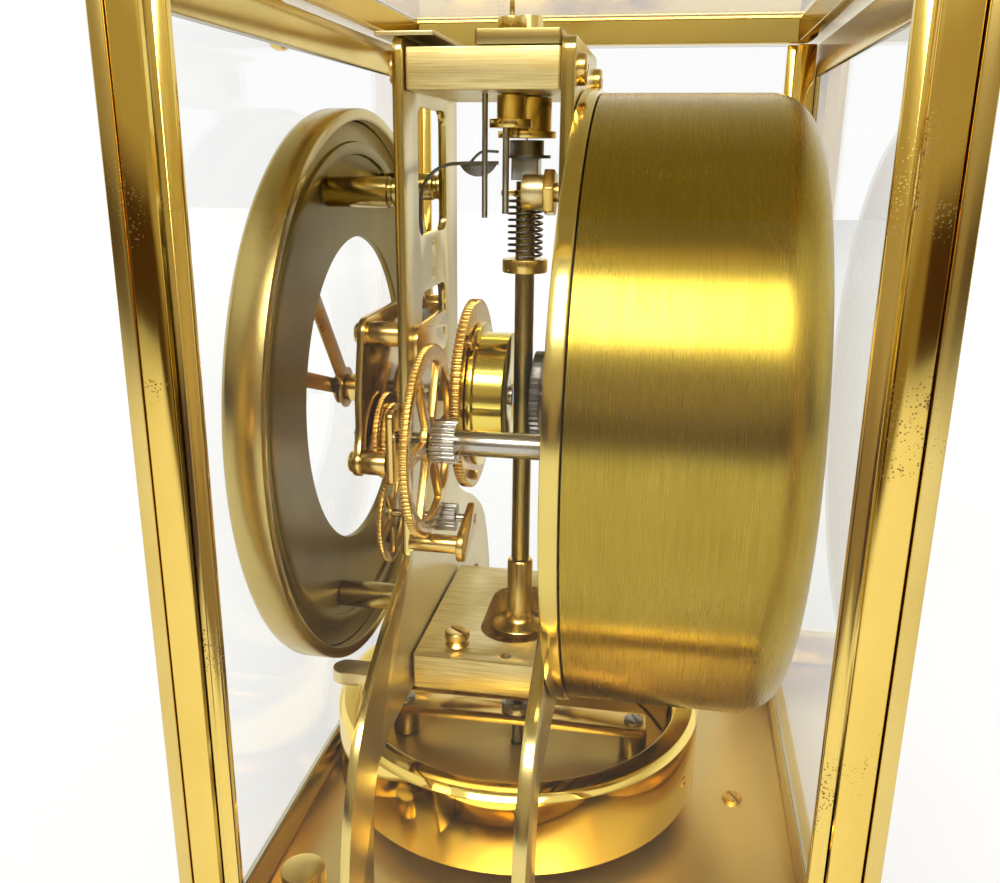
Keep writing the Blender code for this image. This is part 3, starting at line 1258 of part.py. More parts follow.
def make_pendulum():
    place = (0, PENDULUM_Y, 0)
    inner = RING_RADIUS - RING_WALL
    low = RING_BOTTOM
    top = RING_TOP
    edge = RING_CHAMFER
    profile = [(RING_RADIUS - edge, low), (RING_RADIUS, low + edge), (RING_RADIUS, top - edge),
               (RING_RADIUS - edge, top), (inner + edge, top), (inner, top - edge), (inner, low)]
    lathe("pendulum_ring", profile, polished_gold(), at=place, sides=LARGE_SIDES)
    web_low = low + WEB_RISE
    hole = circle(LOWER_PIN_RADIUS + GAP, SMALL_SIDES)
    plate("pendulum_web", circle(inner - GAP, LARGE_SIDES), [hole], web_low, web_low + WEB_THICKNESS,
          brushed_brass(), axis="Z", at=place)
    post_low = web_low + WEB_THICKNESS + GAP
    bar = rounded_box(-BAR_HALF_WIDTH, BAR_HALF_WIDTH, -BAR_HALF_LENGTH, BAR_HALF_LENGTH,
                      PLATFORM_CORNER)
    hole = circle(LOWER_PIN_RADIUS + GAP, SMALL_SIDES)
    made = plate("pendulum_bar", bar, [hole], BAR_BOTTOM, BAR_BOTTOM + BAR_THICKNESS, gear_brass(),
                 axis="Z", at=place)
    for index, y in enumerate((-PENDULUM_POST_OFFSET, PENDULUM_POST_OFFSET)):
        post = rod_profile([(PENDULUM_POST_RADIUS, post_low), (PENDULUM_POST_RADIUS, BAR_BOTTOM + GAP)])
        weld(made, tool("pendulum_post_%d" % index, lathe, post, olive_brass(),
                        at=(0, PENDULUM_Y + y, 0), sides=SMALL_SIDES))
    hub_low = BAR_BOTTOM + BAR_THICKNESS + GAP
    pin_top = GUIDE_BOTTOM - GAP
    pin = rod_profile([(LOWER_PIN_RADIUS, LOWER_PIN_BOTTOM), (LOWER_PIN_RADIUS, hub_low),
                       (HUB_RADIUS, hub_low), (HUB_RADIUS, hub_low + HUB_HEIGHT),
                       (LOWER_PIN_RADIUS, hub_low + HUB_HEIGHT), (LOWER_PIN_RADIUS, pin_top)])
    lathe("pendulum_pin", pin, steel(), at=place, sides=SMALL_SIDES)


# Gear train

def wheel_solid(name, module, teeth, angle, back, look, at, bore=0.0, spokes=0,
                thickness=WHEEL_THICKNESS):
    root = module * (teeth / 2 + ADDENDUM_SHARE - TOOTH_DEPTH_SHARE)
    holes = []
    if bore:
        holes.append(circle(bore, SMALL_SIDES))
    if spokes:
        inner = max(root * HUB_SHARE, HEAVY_ARBOR_RADIUS + SPOKE_HALF_WIDTH)
        holes += windows(spokes, inner, root * RIM_SHARE, SPOKE_HALF_WIDTH, math.pi / spokes)
    return plate(name, gear_outline(module, teeth, angle), holes, back - thickness, back, look,
                 at=(at[0], 0, at[1]))


def arbor_tool(name, steps, at, look):
    return tool(name, lathe, rod_profile(steps), look, axis="Y", at=(at[0], 0, at[1]),
                sides=SMALL_SIDES)


def gear_tool(name, module, teeth, angle, back, length, at, look):
    return tool(name, plate, gear_outline(module, teeth, angle), [], back - length, back, look,
                at=(at[0], 0, at[1]))


def make_barrel():
    at = (CENTRE[0], 0, CENTRE[1])
    front = BARREL_TOOTHED_BACK - BARREL_TOOTHED_THICKNESS
    angle = tooth_towards(CENTRE, WHEEL_ARBOR)
    bore = BARREL_ARBOR_RADIUS + RUN
    outline = gear_outline(TRAIN_MODULE, BARREL_TEETH, angle)
    plate("great_wheel", outline, [circle(bore, SMALL_SIDES)], front, BARREL_TOOTHED_BACK,
          gear_brass(), at=at)
    disc_front = BARREL_TOOTHED_BACK + GAP
    disc_back = disc_front + BARREL_DISC_THICKNESS
    inner = BARREL_RADIUS - BARREL_WALL
    lid_front = BARREL_BACK - BARREL_LID
    profile = [(bore, disc_front), (BARREL_DISC_RADIUS, disc_front), (BARREL_DISC_RADIUS, disc_back),
               (BARREL_RADIUS, disc_back), (BARREL_RADIUS, BARREL_BACK), (bore, BARREL_BACK),
               (bore, lid_front), (inner, lid_front), (inner, disc_back), (bore, disc_back)]
    lathe("barrel_drum", profile, polished_gold(), axis="Y", at=at, sides=ROUND_SIDES)
    arbor = [(BARREL_ARBOR_RADIUS, FRONT_PLATE_FRONT + GAP), (BARREL_ARBOR_RADIUS, BARREL_BACK + GAP)]
    lathe("barrel_arbor", rod_profile(arbor), steel(), axis="Y", at=at, sides=SMALL_SIDES)
    make_mainspring(disc_back + GAP, lid_front - GAP, at)


def make_mainspring(front, back, at):
    """A flat coiled strip: its outline runs out along one face and back along the other."""
    inner = BARREL_ARBOR_RADIUS + GAP + MAINSPRING_THICKNESS
    outer = BARREL_RADIUS - BARREL_WALL - GAP * 2 - MAINSPRING_THICKNESS
    count = MAINSPRING_TURNS * MAINSPRING_STEPS
    half = MAINSPRING_THICKNESS / 2
    outside = []
    inside = []
    for i in range(count + 1):
        angle = FULL_TURN * i / MAINSPRING_STEPS
        radius = inner + (outer - inner) * i / count
        outside.append(along((0, 0), radius + half, angle))
        inside.append(along((0, 0), radius - half, angle))
    builder = bmesh.new()
    layers = []
    for height in (front, back):
        layers.append([[builder.verts.new(placed("Y", u, v, height)) for u, v in side]
                       for side in (outside, inside)])
    for i in range(count):
        for layer in layers:
            builder.faces.new((layer[0][i], layer[0][i + 1], layer[1][i + 1], layer[1][i]))
        for side in (0, 1):
            builder.faces.new((layers[0][side][i], layers[0][side][i + 1],
                               layers[1][side][i + 1], layers[1][side][i]))
    for i in (0, count):
        builder.faces.new((layers[0][0][i], layers[0][1][i], layers[1][1][i], layers[1][0][i]))
    finish("mainspring", builder, steel(), at)


def make_spoked_wheel():
    at = WHEEL_ARBOR
    angle = tooth_towards(WHEEL_ARBOR, LOWER_ARBOR)
    wheel_solid("spoked_wheel", FINE_MODULE, SPOKED_TEETH, angle, SPOKED_BACK, gear_brass(), at,
                bore=NOSE_RADIUS + GAP, spokes=SPOKED_SPOKES, thickness=SPOKED_THICKNESS)
    pinion_angle = gap_towards(WHEEL_ARBOR, CENTRE, ARBOR_PINION_TEETH)
    arbor = plate("wheel_arbor", gear_outline(TRAIN_MODULE, ARBOR_PINION_TEETH, pinion_angle), [],
                  SPOKED_BACK + GAP, ARBOR_PINION_BACK, steel(), at=(at[0], 0, at[1]))
    rear = REAR_PLATE_FRONT - GAP
    shoulder = ARBOR_PINION_BACK - GAP
    steps = [(NOSE_PIVOT_RADIUS, FRONT_PLATE_FRONT - SIDE_COCK_THICKNESS),
             (NOSE_PIVOT_RADIUS, FRONT_PLATE_BACK + GAP), (NOSE_RADIUS, FRONT_PLATE_BACK + GAP),
             (NOSE_RADIUS, shoulder), (HEAVY_ARBOR_RADIUS, shoulder), (HEAVY_ARBOR_RADIUS, rear),
             (REAR_PIVOT_RADIUS, rear), (REAR_PIVOT_RADIUS, REAR_PLATE_BACK)]
    weld(arbor, arbor_tool("wheel_arbor_shaft", steps, at, steel()))


def make_lower_wheel():
    at = LOWER_ARBOR
    angle = tooth_towards(LOWER_ARBOR, MINUTE_ARBOR)
    wheel = wheel_solid("lower_wheel", TRANSFER_MODULE, LOWER_TEETH, angle, LOWER_WHEEL_BACK,
                        gear_brass(), at, spokes=LOWER_SPOKES)
    steps = [(ARBOR_RADIUS, LOWER_WHEEL_BACK - WHEEL_THICKNESS - OVERRUN),
             (ARBOR_RADIUS, LOWER_COCK_BACK - LOWER_COCK_THICKNESS - GAP),
             (PIVOT_RADIUS, LOWER_COCK_BACK - LOWER_COCK_THICKNESS - GAP),
             (PIVOT_RADIUS, LOWER_COCK_BACK)]
    weld(wheel, arbor_tool("lower_arbor", steps, at, steel()))
    pinion_angle = gap_towards(LOWER_ARBOR, WHEEL_ARBOR, LOWER_PINION_TEETH)
    weld(wheel, gear_tool("lower_pinion", FINE_MODULE, LOWER_PINION_TEETH, pinion_angle,
                          LOWER_PINION_BACK, LOWER_PINION_LENGTH, at, dark_steel()))


def make_minute_wheel():
    at = MINUTE_ARBOR
    angle = gap_towards(MINUTE_ARBOR, CENTRE, MINUTE_TEETH)
    wheel = wheel_solid("minute_wheel", HAND_MODULE, MINUTE_TEETH, angle, MINUTE_WHEEL_BACK,
                        gear_brass(), at)
    steps = [(ARBOR_RADIUS, HOUR_WHEEL_BACK - PINION_LENGTH), (ARBOR_RADIUS, FRONT_PLATE_FRONT - GAP),
             (PIVOT_RADIUS, FRONT_PLATE_FRONT - GAP), (PIVOT_RADIUS, FRONT_PLATE_BACK)]
    weld(wheel, arbor_tool("minute_arbor", steps, at, steel()))
    pinion_angle = tooth_towards(MINUTE_ARBOR, CENTRE)
    weld(wheel, gear_tool("minute_pinion", HOUR_MODULE, MINUTE_PINION_TEETH, pinion_angle,
                          HOUR_WHEEL_BACK + GAP, PINION_LENGTH, at, steel()))
    transfer_angle = gap_towards(MINUTE_ARBOR, LOWER_ARBOR, TRANSFER_TEETH)
    weld(wheel, gear_tool("transfer_wheel", TRANSFER_MODULE, TRANSFER_TEETH, transfer_angle,
                          LOWER_WHEEL_BACK, WHEEL_THICKNESS, at, gear_brass()))


def make_cannon():
    at = CENTRE
    angle = tooth_towards(CENTRE, THIRD_ARBOR)
    wheel = wheel_solid("centre_wheel", ESCAPE_MODULE, CENTRE_TEETH, angle, CENTRE_WHEEL_BACK,
                        gear_brass(), at)
    cannon_angle = tooth_towards(CENTRE, MINUTE_ARBOR)
    steps = [(CANNON_PIPE_RADIUS, MINUTE_HAND_BACK + GAP),
             (CANNON_PIPE_RADIUS, FRONT_PLATE_FRONT - GAP)]
    weld(wheel, arbor_tool("centre_arbor", steps, at, steel()))
    weld(wheel, gear_tool("cannon_pinion", HAND_MODULE, CANNON_TEETH, cannon_angle, CANNON_BACK,
                          PINION_LENGTH, at, gear_brass()))


def make_hour_wheel():
    at = CENTRE
    angle = gap_towards(CENTRE, MINUTE_ARBOR, HOUR_TEETH)
    bore = CANNON_PIPE_RADIUS + GAP
    outline = gear_outline(HOUR_MODULE, HOUR_TEETH, angle)
    wheel = plate("hour_wheel", outline, [circle(bore, SMALL_SIDES)],
                  HOUR_WHEEL_BACK - WHEEL_THICKNESS, HOUR_WHEEL_BACK, gear_brass(),
                  at=(at[0], 0, at[1]))
    pipe = ring_profile(HOUR_PIPE_RADIUS, bore, HOUR_HAND_BACK + GAP, HOUR_WHEEL_BACK - GAP)
    weld(wheel, tool("hour_pipe", lathe, pipe, gear_brass(), axis="Y", at=(at[0], 0, at[1]),
                     sides=SMALL_SIDES))


def make_third_and_escape():
    at = THIRD_ARBOR
    angle = tooth_towards(THIRD_ARBOR, ESCAPE_ARBOR)
    third = wheel_solid("third_wheel", ESCAPE_MODULE, THIRD_TEETH, angle, THIRD_WHEEL_BACK,
                        gear_brass(), at)
    cock = FRONT_PLATE_BACK - SEAT
    steps = [(PIVOT_RADIUS, MOTION_BRIDGE_FRONT), (PIVOT_RADIUS, MOTION_BRIDGE_BACK + GAP),
             (ARBOR_RADIUS, MOTION_BRIDGE_BACK + GAP), (ARBOR_RADIUS, cock - GAP),
             (PIVOT_RADIUS, cock - GAP), (PIVOT_RADIUS, FRONT_PLATE_BACK + THIRD_COCK_THICKNESS)]
    weld(third, arbor_tool("third_arbor", steps, at, steel()))
    pinion_angle = gap_towards(THIRD_ARBOR, CENTRE, THIRD_PINION_TEETH)
    weld(third, gear_tool("third_pinion", ESCAPE_MODULE, THIRD_PINION_TEETH, pinion_angle,
                          CENTRE_WHEEL_BACK + GAP, PINION_LENGTH, at, steel()))
    at = ESCAPE_ARBOR
    outline = ratchet_outline(ESCAPE_WHEEL_RADIUS, ESCAPE_WHEEL_RADIUS - ESCAPE_TOOTH_DEPTH,
                              ESCAPE_TEETH, RATCHET_LEAN_SHARE)
    escape = plate("escape_wheel", outline, [], ESCAPE_WHEEL_BACK - PALLET_THICKNESS,
                   ESCAPE_WHEEL_BACK, gear_brass(), at=(at[0], 0, at[1]))
    cock = ESCAPE_COCK_BACK + GAP
    steps = [(PIVOT_RADIUS, cock - ESCAPE_COCK_THICKNESS), (PIVOT_RADIUS, cock), (ARBOR_RADIUS, cock),
             (ARBOR_RADIUS, FRONT_PLATE_FRONT - GAP), (PIVOT_RADIUS, FRONT_PLATE_FRONT - GAP),
             (PIVOT_RADIUS, FRONT_PLATE_BACK)]
    weld(escape, arbor_tool("escape_arbor", steps, at, steel()))
    pinion_angle = gap_towards(ESCAPE_ARBOR, THIRD_ARBOR, ESCAPE_PINION_TEETH)
    weld(escape, gear_tool("escape_pinion", ESCAPE_MODULE, ESCAPE_PINION_TEETH, pinion_angle,
                           THIRD_WHEEL_BACK + GAP, PINION_LENGTH, at, steel()))


def pallet_outline():
    """A bow that straddles the escape wheel, passing through the pallet arbor."""
    inner = ESCAPE_WHEEL_RADIUS + PALLET_CLEARANCE
    middle = (0, -PALLET_RISE)
    start = QUARTER_TURN - PALLET_SPAN
    end = QUARTER_TURN + PALLET_SPAN
    steps = BOW_STEPS
    return arc(middle, inner + PALLET_BOW, start, end, steps) + arc(middle, inner, end, start, steps)


def ribbon(points, half_width):
    """Outline of a bent strip that follows the points."""
    left = []
    right = []
    for i, point in enumerate(points):
        before = points[max(i - 1, 0)]
        after = points[min(i + 1, len(points) - 1)]
        heading = direction(before, after) + QUARTER_TURN
        left.append(along(point, half_width, heading))
        right.append(along(point, -half_width, heading))
    return left + right[::-1]


def make_pallet_lever():
    at = PALLET_ARBOR
    place = (at[0], 0, at[1])
    lever = plate("pallet_lever", pallet_outline(), [], ESCAPE_WHEEL_BACK - PALLET_THICKNESS,
                  ESCAPE_WHEEL_BACK, steel(), at=place)
    cock = ESCAPE_COCK_BACK + GAP
    steps = [(PIVOT_RADIUS, cock - ESCAPE_COCK_THICKNESS), (PIVOT_RADIUS, cock), (ARBOR_RADIUS, cock),
             (ARBOR_RADIUS, FRONT_PLATE_FRONT - GAP), (PIVOT_RADIUS, FRONT_PLATE_FRONT - GAP),
             (PIVOT_RADIUS, FRONT_PLATE_BACK)]
    weld(lever, arbor_tool("pallet_arbor", steps, at, steel()))
    for name, path, half in (("fork_wire", FORK_PATH, FORK_HALF_WIDTH),
                             ("fork_tine", TINE_PATH, TINE_HALF_WIDTH)):
        shifted = [(y, AXIS_HEIGHT + rise - at[1]) for y, rise in path]
        weld(lever, tool(name, plate, ribbon(shifted, half), [], -half, half, steel(), axis="X",
                         at=place))
    chord = CRESCENT_HALF_CHORD
    rise = (chord * chord - CRESCENT_DROP * CRESCENT_DROP) / (2 * CRESCENT_DROP)
    radius = CRESCENT_DROP + rise
    span = math.asin(chord / radius)
    top = CRESCENT_TOP - at[1] + GAP
    moon = arc((CRESCENT_MIDDLE_Y, top + rise), radius, -QUARTER_TURN - span, -QUARTER_TURN + span,
               BOW_STEPS)
    weld(lever, tool("crescent", plate, moon, [], -half / 2, half / 2, gear_brass(), axis="X",
                     at=place))


def hand_outline(length, tail, half_width, hub):
    tip = HAND_TIP_HALF_WIDTH
    lobe = arc((0, 0), hub, math.asin(half_width / hub), QUARTER_TURN, CORNER_STEPS)
    upper = [(length, 0), (length - HAND_TIP_LENGTH, tip), (length * HAND_WIDE_SHARE, half_width)]
    upper += lobe
    if tail:
        upper += arc((0, 0), hub, QUARTER_TURN, math.pi - math.asin(half_width / hub), CORNER_STEPS)[1:]
        upper.append((-tail, half_width))
    else:
        upper += arc((0, 0), hub, QUARTER_TURN, math.pi, CORNER_STEPS)[1:]
    lower = [(x, -y) for x, y in reversed(upper) if y > tip / 2]
    return upper + lower


def turned_outline(points, angle):
    c = math.cos(angle)
    s = math.sin(angle)
    return [(x * c - y * s, x * s + y * c) for x, y in points]


def make_hands():
    at = (CENTRE[0], 0, CENTRE[1])
    minute = hand_outline(MINUTE_HAND_LENGTH, MINUTE_HAND_TAIL, MINUTE_HAND_HALF_WIDTH,
                          MINUTE_HAND_HUB)
    hand = plate("minute_hand", turned_outline(minute, MINUTE_HAND_ANGLE), [],
                 MINUTE_HAND_BACK - HAND_THICKNESS, MINUTE_HAND_BACK, bronze_hand(), at=at)
    nut = rod_profile([(HAND_NUT_RADIUS, MINUTE_HAND_BACK - HAND_THICKNESS - HAND_NUT_HEIGHT),
                       (HAND_NUT_RADIUS, MINUTE_HAND_BACK - HAND_THICKNESS / 2)])
    weld(hand, tool("hand_nut", lathe, nut, gear_brass(), axis="Y", at=at, sides=SMALL_SIDES))
    hour = hand_outline(HOUR_HAND_LENGTH, 0, HOUR_HAND_HALF_WIDTH, HOUR_HAND_HUB)
    plate("hour_hand", turned_outline(hour, HOUR_HAND_ANGLE),
          [circle(CANNON_PIPE_RADIUS + GAP, SMALL_SIDES)],
          HOUR_HAND_BACK - HAND_THICKNESS, HOUR_HAND_BACK, bronze_hand(), at=at)


# Motion-work bridge, cocks and pillars

def make_motion_bridge():
    reach = MOTION_BRIDGE_SHOULDER
    half = [(0, BRIDGE_PILLAR_HEIGHT + reach)]
    half += arc((BRIDGE_PILLAR_X, BRIDGE_PILLAR_HEIGHT), reach, QUARTER_TURN, 0, CORNER_STEPS)
    half += [(MOTION_BRIDGE_HALF_WIDTH, MOTION_BRIDGE_WAIST + MOTION_BRIDGE_TAPER),
             (MOTION_BRIDGE_HALF_WIDTH, MOTION_BRIDGE_WAIST)]
    half += arc((TAB_PILLAR_X, TAB_PILLAR_HEIGHT), MOTION_BRIDGE_TAB - TAB_PILLAR_X,
                MOTION_BRIDGE_TAB_ANGLE, -QUARTER_TURN, CORNER_STEPS)
    half += [(0, MOTION_BRIDGE_BOTTOM)]
    holes = [circle(CANNON_PIPE_RADIUS + RUN, SMALL_SIDES, CENTRE), pivot_hole(THIRD_ARBOR),
             circle(ARBOR_RADIUS + RUN, SMALL_SIDES, MINUTE_ARBOR)]
    bridge = plate("motion_bridge", mirrored(half), holes, MOTION_BRIDGE_FRONT, MOTION_BRIDGE_BACK,
                   brushed_brass())
    weld(bridge, group_tool("bridge_pillars", bridge_pillars_into))


def bridge_pillars_into(builder):
    """The four pillars riveted in the bridge, each with a screw head in front."""
    plate_face = FRONT_PLATE_FRONT - GAP
    cock_face = plate_face - SIDE_COCK_THICKNESS
    head = MOTION_BRIDGE_FRONT - BRIDGE_SCREW_HEIGHT
    for sign in (-1, 1):
        for x, height, back in ((BRIDGE_PILLAR_X, BRIDGE_PILLAR_HEIGHT, plate_face),
                                (TAB_PILLAR_X, TAB_PILLAR_HEIGHT, cock_face)):
            rod_into(builder, "Y", (sign * x, height),
                     [(BRIDGE_SCREW_RADIUS, head), (BRIDGE_SCREW_RADIUS, MOTION_BRIDGE_FRONT + SEAT),
                      (BRIDGE_PILLAR_RADIUS, MOTION_BRIDGE_FRONT + SEAT), (BRIDGE_PILLAR_RADIUS, back)])


def make_cocks():
    """The small bearing plates that carry the lower, escape and pallet arbors."""
    pivot = LOWER_ARBOR
    foot = (LOWER_COCK_FOOT_X, LOWER_COCK_FOOT_HEIGHT)
    heading = direction(pivot, foot)
    outline = arc(foot, LOWER_COCK_RADIUS, heading - QUARTER_TURN, heading + QUARTER_TURN, COCK_STEPS)
    outline += arc(pivot, LOWER_COCK_RADIUS, heading + QUARTER_TURN, heading + 3 * QUARTER_TURN,
                   COCK_STEPS)
    front = LOWER_COCK_BACK - LOWER_COCK_THICKNESS
    cock = plate("lower_cock", outline, [pivot_hole(pivot)], front, LOWER_COCK_BACK, gear_brass())
    steps = [(LOWER_COCK_PILLAR, FRONT_PLATE_BACK + GAP), (LOWER_COCK_PILLAR, front + SEAT)]
    weld(cock, arbor_tool("lower_cock_pillar", steps, foot, gear_brass()))
    outline = rounded_box(ESCAPE_COCK_LEFT, ESCAPE_COCK_RIGHT, ESCAPE_COCK_LOW, ESCAPE_COCK_HIGH,
                          SCREW_SHANK)
    cock = plate("escape_cock", outline, [pivot_hole(ESCAPE_ARBOR), pivot_hole(PALLET_ARBOR)],
                 ESCAPE_COCK_BACK - ESCAPE_COCK_THICKNESS, ESCAPE_COCK_BACK, gear_brass())
    steps = [(LOWER_COCK_PILLAR, ESCAPE_COCK_BACK - SEAT), (LOWER_COCK_PILLAR, FRONT_PLATE_FRONT - GAP)]
    weld(cock, arbor_tool("escape_cock_pillar", steps, (ESCAPE_PILLAR_X, ESCAPE_PILLAR_HEIGHT),
                          gear_brass()))


def lever_pivot_height():
    return LEVER_TOP - LEVER_PIVOT_DROP - LEVER_THICKNESS


def make_lock_lever():
    pivot_height = lever_pivot_height()
    back = FRONT_PLATE_FRONT - GAP
    foot_front = back - LEVER_FOOT_THICKNESS
    half = LEVER_HALF_WIDTH
    at = (LEVER_X, 0, pivot_height)
    top = LEVER_TOP - pivot_height
    foot_outline = rounded_box(-half, half, -(LEVER_FOOT_DROP - LEVER_PIVOT_DROP), top, SCREW_SHANK / 2)
    foot = plate("lock_lever", foot_outline, [circle(SCREW_SHANK + GAP, SMALL_SIDES)], foot_front,
                 back, brushed_brass(), at=at)
    centre_y = LEVER_TIP_Y + half
    bar = arc((0, centre_y), half, math.pi, FULL_TURN, BOW_STEPS)
    bar += [(half, foot_front + GAP), (-half, foot_front + GAP)]
    weld(foot, tool("lever_bar", plate, bar, [], top - LEVER_THICKNESS, top - GAP, brushed_brass(),
                    axis="Z", at=at))


# Dial

def make_dial():
    at = (CENTRE[0], 0, CENTRE[1])
    back = BEZEL_BACK
    front = BEZEL_BACK - BEZEL_DEPTH
    wall = BEZEL_RADIUS - BEZEL_WALL
    lip = BEZEL_RADIUS - BEZEL_LIP
    lip_back = DIAL_BACK - DIAL_THICKNESS - GAP
    profile = [(BEZEL_RADIUS, back), (BEZEL_RADIUS, front + BEZEL_CHAMFER),
               (BEZEL_RADIUS - BEZEL_CHAMFER, front), (lip + BEZEL_CHAMFER, front),
               (lip, front + BEZEL_CHAMFER), (lip, lip_back), (wall, lip_back), (wall, back)]
    lathe("bezel", profile, brushed_brass(), axis="Y", at=at, sides=LARGE_SIDES)
    raised = DIAL_BACK + DIAL_RING_HEIGHT
    outer = wall - GAP
    profile = [(outer, DIAL_BACK - DIAL_THICKNESS), (outer, DIAL_BACK), (DIAL_RING_OUTER, DIAL_BACK),
               (DIAL_RING_OUTER, raised), (DIAL_RING_INNER, raised), (DIAL_RING_INNER, DIAL_BACK),
               (DIAL_HOLE_RADIUS, DIAL_BACK), (DIAL_HOLE_RADIUS, DIAL_BACK - DIAL_THICKNESS)]
    lathe("dial_ring", profile, dial_paint(), axis="Y", at=at, sides=LARGE_SIDES)


# Bellows drum and winding

def make_drum():
    at = (CENTRE[0], 0, CENTRE[1])
    flange_back = DRUM_FLANGE_FRONT + DRUM_FLANGE_THICKNESS
    flange = ring_profile(DRUM_FLANGE_RADIUS, DRUM_FLANGE_HOLE, DRUM_FLANGE_FRONT, flange_back)
    lathe("drum_flange", flange, polished_gold(), axis="Y", at=at, sides=LARGE_SIDES)
    outer = [(DRUM_RADIUS, DRUM_FRONT)]
    outer += arc((DRUM_RADIUS - DRUM_CORNER, DRUM_BACK - DRUM_CORNER), DRUM_CORNER, 0, QUARTER_TURN,
                 CORNER_STEPS)
    inner = arc((DRUM_RADIUS - DRUM_CORNER, DRUM_BACK - DRUM_CORNER), DRUM_CORNER - DRUM_WALL,
                QUARTER_TURN, 0, CORNER_STEPS)
    inner.append((DRUM_RADIUS - DRUM_WALL, DRUM_FRONT))
    shell = outer + [(DRUM_VENT_RADIUS, DRUM_BACK), (DRUM_VENT_RADIUS, DRUM_BACK - DRUM_WALL)] + inner
    lathe("bellows_drum", shell, brushed_brass(), axis="Y", at=at, sides=LARGE_SIDES)


def bellows_back():
    return DRUM_BACK - DRUM_WALL - GAP


def make_bellows():
    at = (CENTRE[0], 0, CENTRE[1])
    count = BELLOWS_FOLDS * 2
    length = bellows_back() - BELLOWS_FRONT
    outer_wave = []
    for i in range(count + 1):
        radius = BELLOWS_RADIUS - (BELLOWS_FOLD if i % 2 == 0 else 0)
        outer_wave.append((radius, BELLOWS_FRONT + length * i / count))
    shift = BELLOWS_WALL
    inner_wave = [(r - shift, min(max(y, BELLOWS_FRONT + shift), bellows_back() - shift))
                  for r, y in reversed(outer_wave)]
    profile = [(BELLOWS_VENT, BELLOWS_FRONT)] + outer_wave
    profile += [(BELLOWS_VENT, bellows_back()), (BELLOWS_VENT, bellows_back() - shift)]
    profile += inner_wave + [(BELLOWS_VENT, BELLOWS_FRONT + shift)]
    lathe("bellows", profile, brushed_brass(), axis="Y", at=at, sides=BELLOWS_SIDES)
    low = BELLOWS_FRONT + shift + GAP + BELLOWS_SPRING_WIRE
    high = bellows_back() - shift - GAP - BELLOWS_SPRING_WIRE
    points = helix(BELLOWS_SPRING_RADIUS, low, high, BELLOWS_SPRING_TURNS, SPRING_STEPS, "Y",
                   BELLOWS_SPRING_WIRE * 2)
    tube_along("bellows_spring", points, BELLOWS_SPRING_WIRE, steel(), at=at)
    gap = least_self_gap(points, BELLOWS_SPRING_WIRE, SPRING_NEIGHBOURS)
    print("bellows_spring least gap mm", round(gap / MILLIMETRE, 2))


def make_push_disc():
    at = (CENTRE[0], 0, CENTRE[1])
    back = BELLOWS_FRONT - PUSH_DISC_CLEARANCE
    disc = [(PUSH_DISC_RADIUS, back - PUSH_DISC_THICKNESS), (PUSH_DISC_RADIUS, back)]
    made = lathe("push_disc", rod_profile(disc), steel(), axis="Y", at=at, sides=SMOOTH_SIDES)
    rod = rod_profile([(PUSH_ROD_RADIUS, PUSH_ROD_FRONT),
                       (PUSH_ROD_RADIUS, back - PUSH_DISC_THICKNESS / 2)])
    weld(made, tool("push_rod", lathe, rod, steel(), axis="Y",
                    at=(PUSH_ROD_X, 0, AXIS_HEIGHT), sides=SMALL_SIDES))


def make_winding_wheel():
    at = (CENTRE[0], 0, CENTRE[1])
    outline = ratchet_outline(RATCHET_RADIUS, RATCHET_RADIUS - RATCHET_TOOTH_DEPTH, RATCHET_TEETH,
                              RATCHET_LEAN_SHARE)
    back = RATCHET_FRONT + RATCHET_THICKNESS
    wheel = plate("winding_wheel", outline, [], RATCHET_FRONT, back, dark_steel(), at=at)
    steps = [(RATCHET_HUB_RADIUS, back - GAP), (RATCHET_HUB_RADIUS, REAR_PLATE_FRONT - GAP),
             (RATCHET_STUD_RADIUS - GAP, REAR_PLATE_FRONT - GAP),
             (RATCHET_STUD_RADIUS - GAP, REAR_PLATE_BACK)]
    weld(wheel, arbor_tool("winding_stud", steps, CENTRE, steel()))


def main():
    clear_scene()
    make_plinth()
    make_feet()
    make_base_plate()
    make_level()
    make_side_frames()
    make_top_frame()
    make_case_glass()
    make_panels()
    make_plates()
    make_top_bridge()
    make_platform()
    make_suspension_head()
    make_regulator()
    make_staff()
    make_roller()
    make_staff_spring()
    make_pendulum()
    make_barrel()
    make_spoked_wheel()
    make_lower_wheel()
    make_minute_wheel()
    make_cannon()
    make_hour_wheel()
    make_third_and_escape()
    make_pallet_lever()
    make_hands()
    make_motion_bridge()
    make_cocks()
    make_lock_lever()
    make_dial()
    make_drum()
    make_bellows()
    make_push_disc()
    make_winding_wheel()


main()
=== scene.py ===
# %% [markdown]
# # A glazed table clock with a torsion pendulum
# The clock stands in a gilt case with glass on five sides and hangs its heavy ring pendulum on a fine
# wire. All of it could be modelled here from nothing. This notebook loads a finished model of its
# parts as a fixed frame instead, puts finer pieces in the place of the coarse ones and gives every
# part its metal, so that each piece fits its neighbours and moves with its own body.

# %% Load the frame
import json
import math
import bpy
from mathutils import Euler, Matrix, Vector

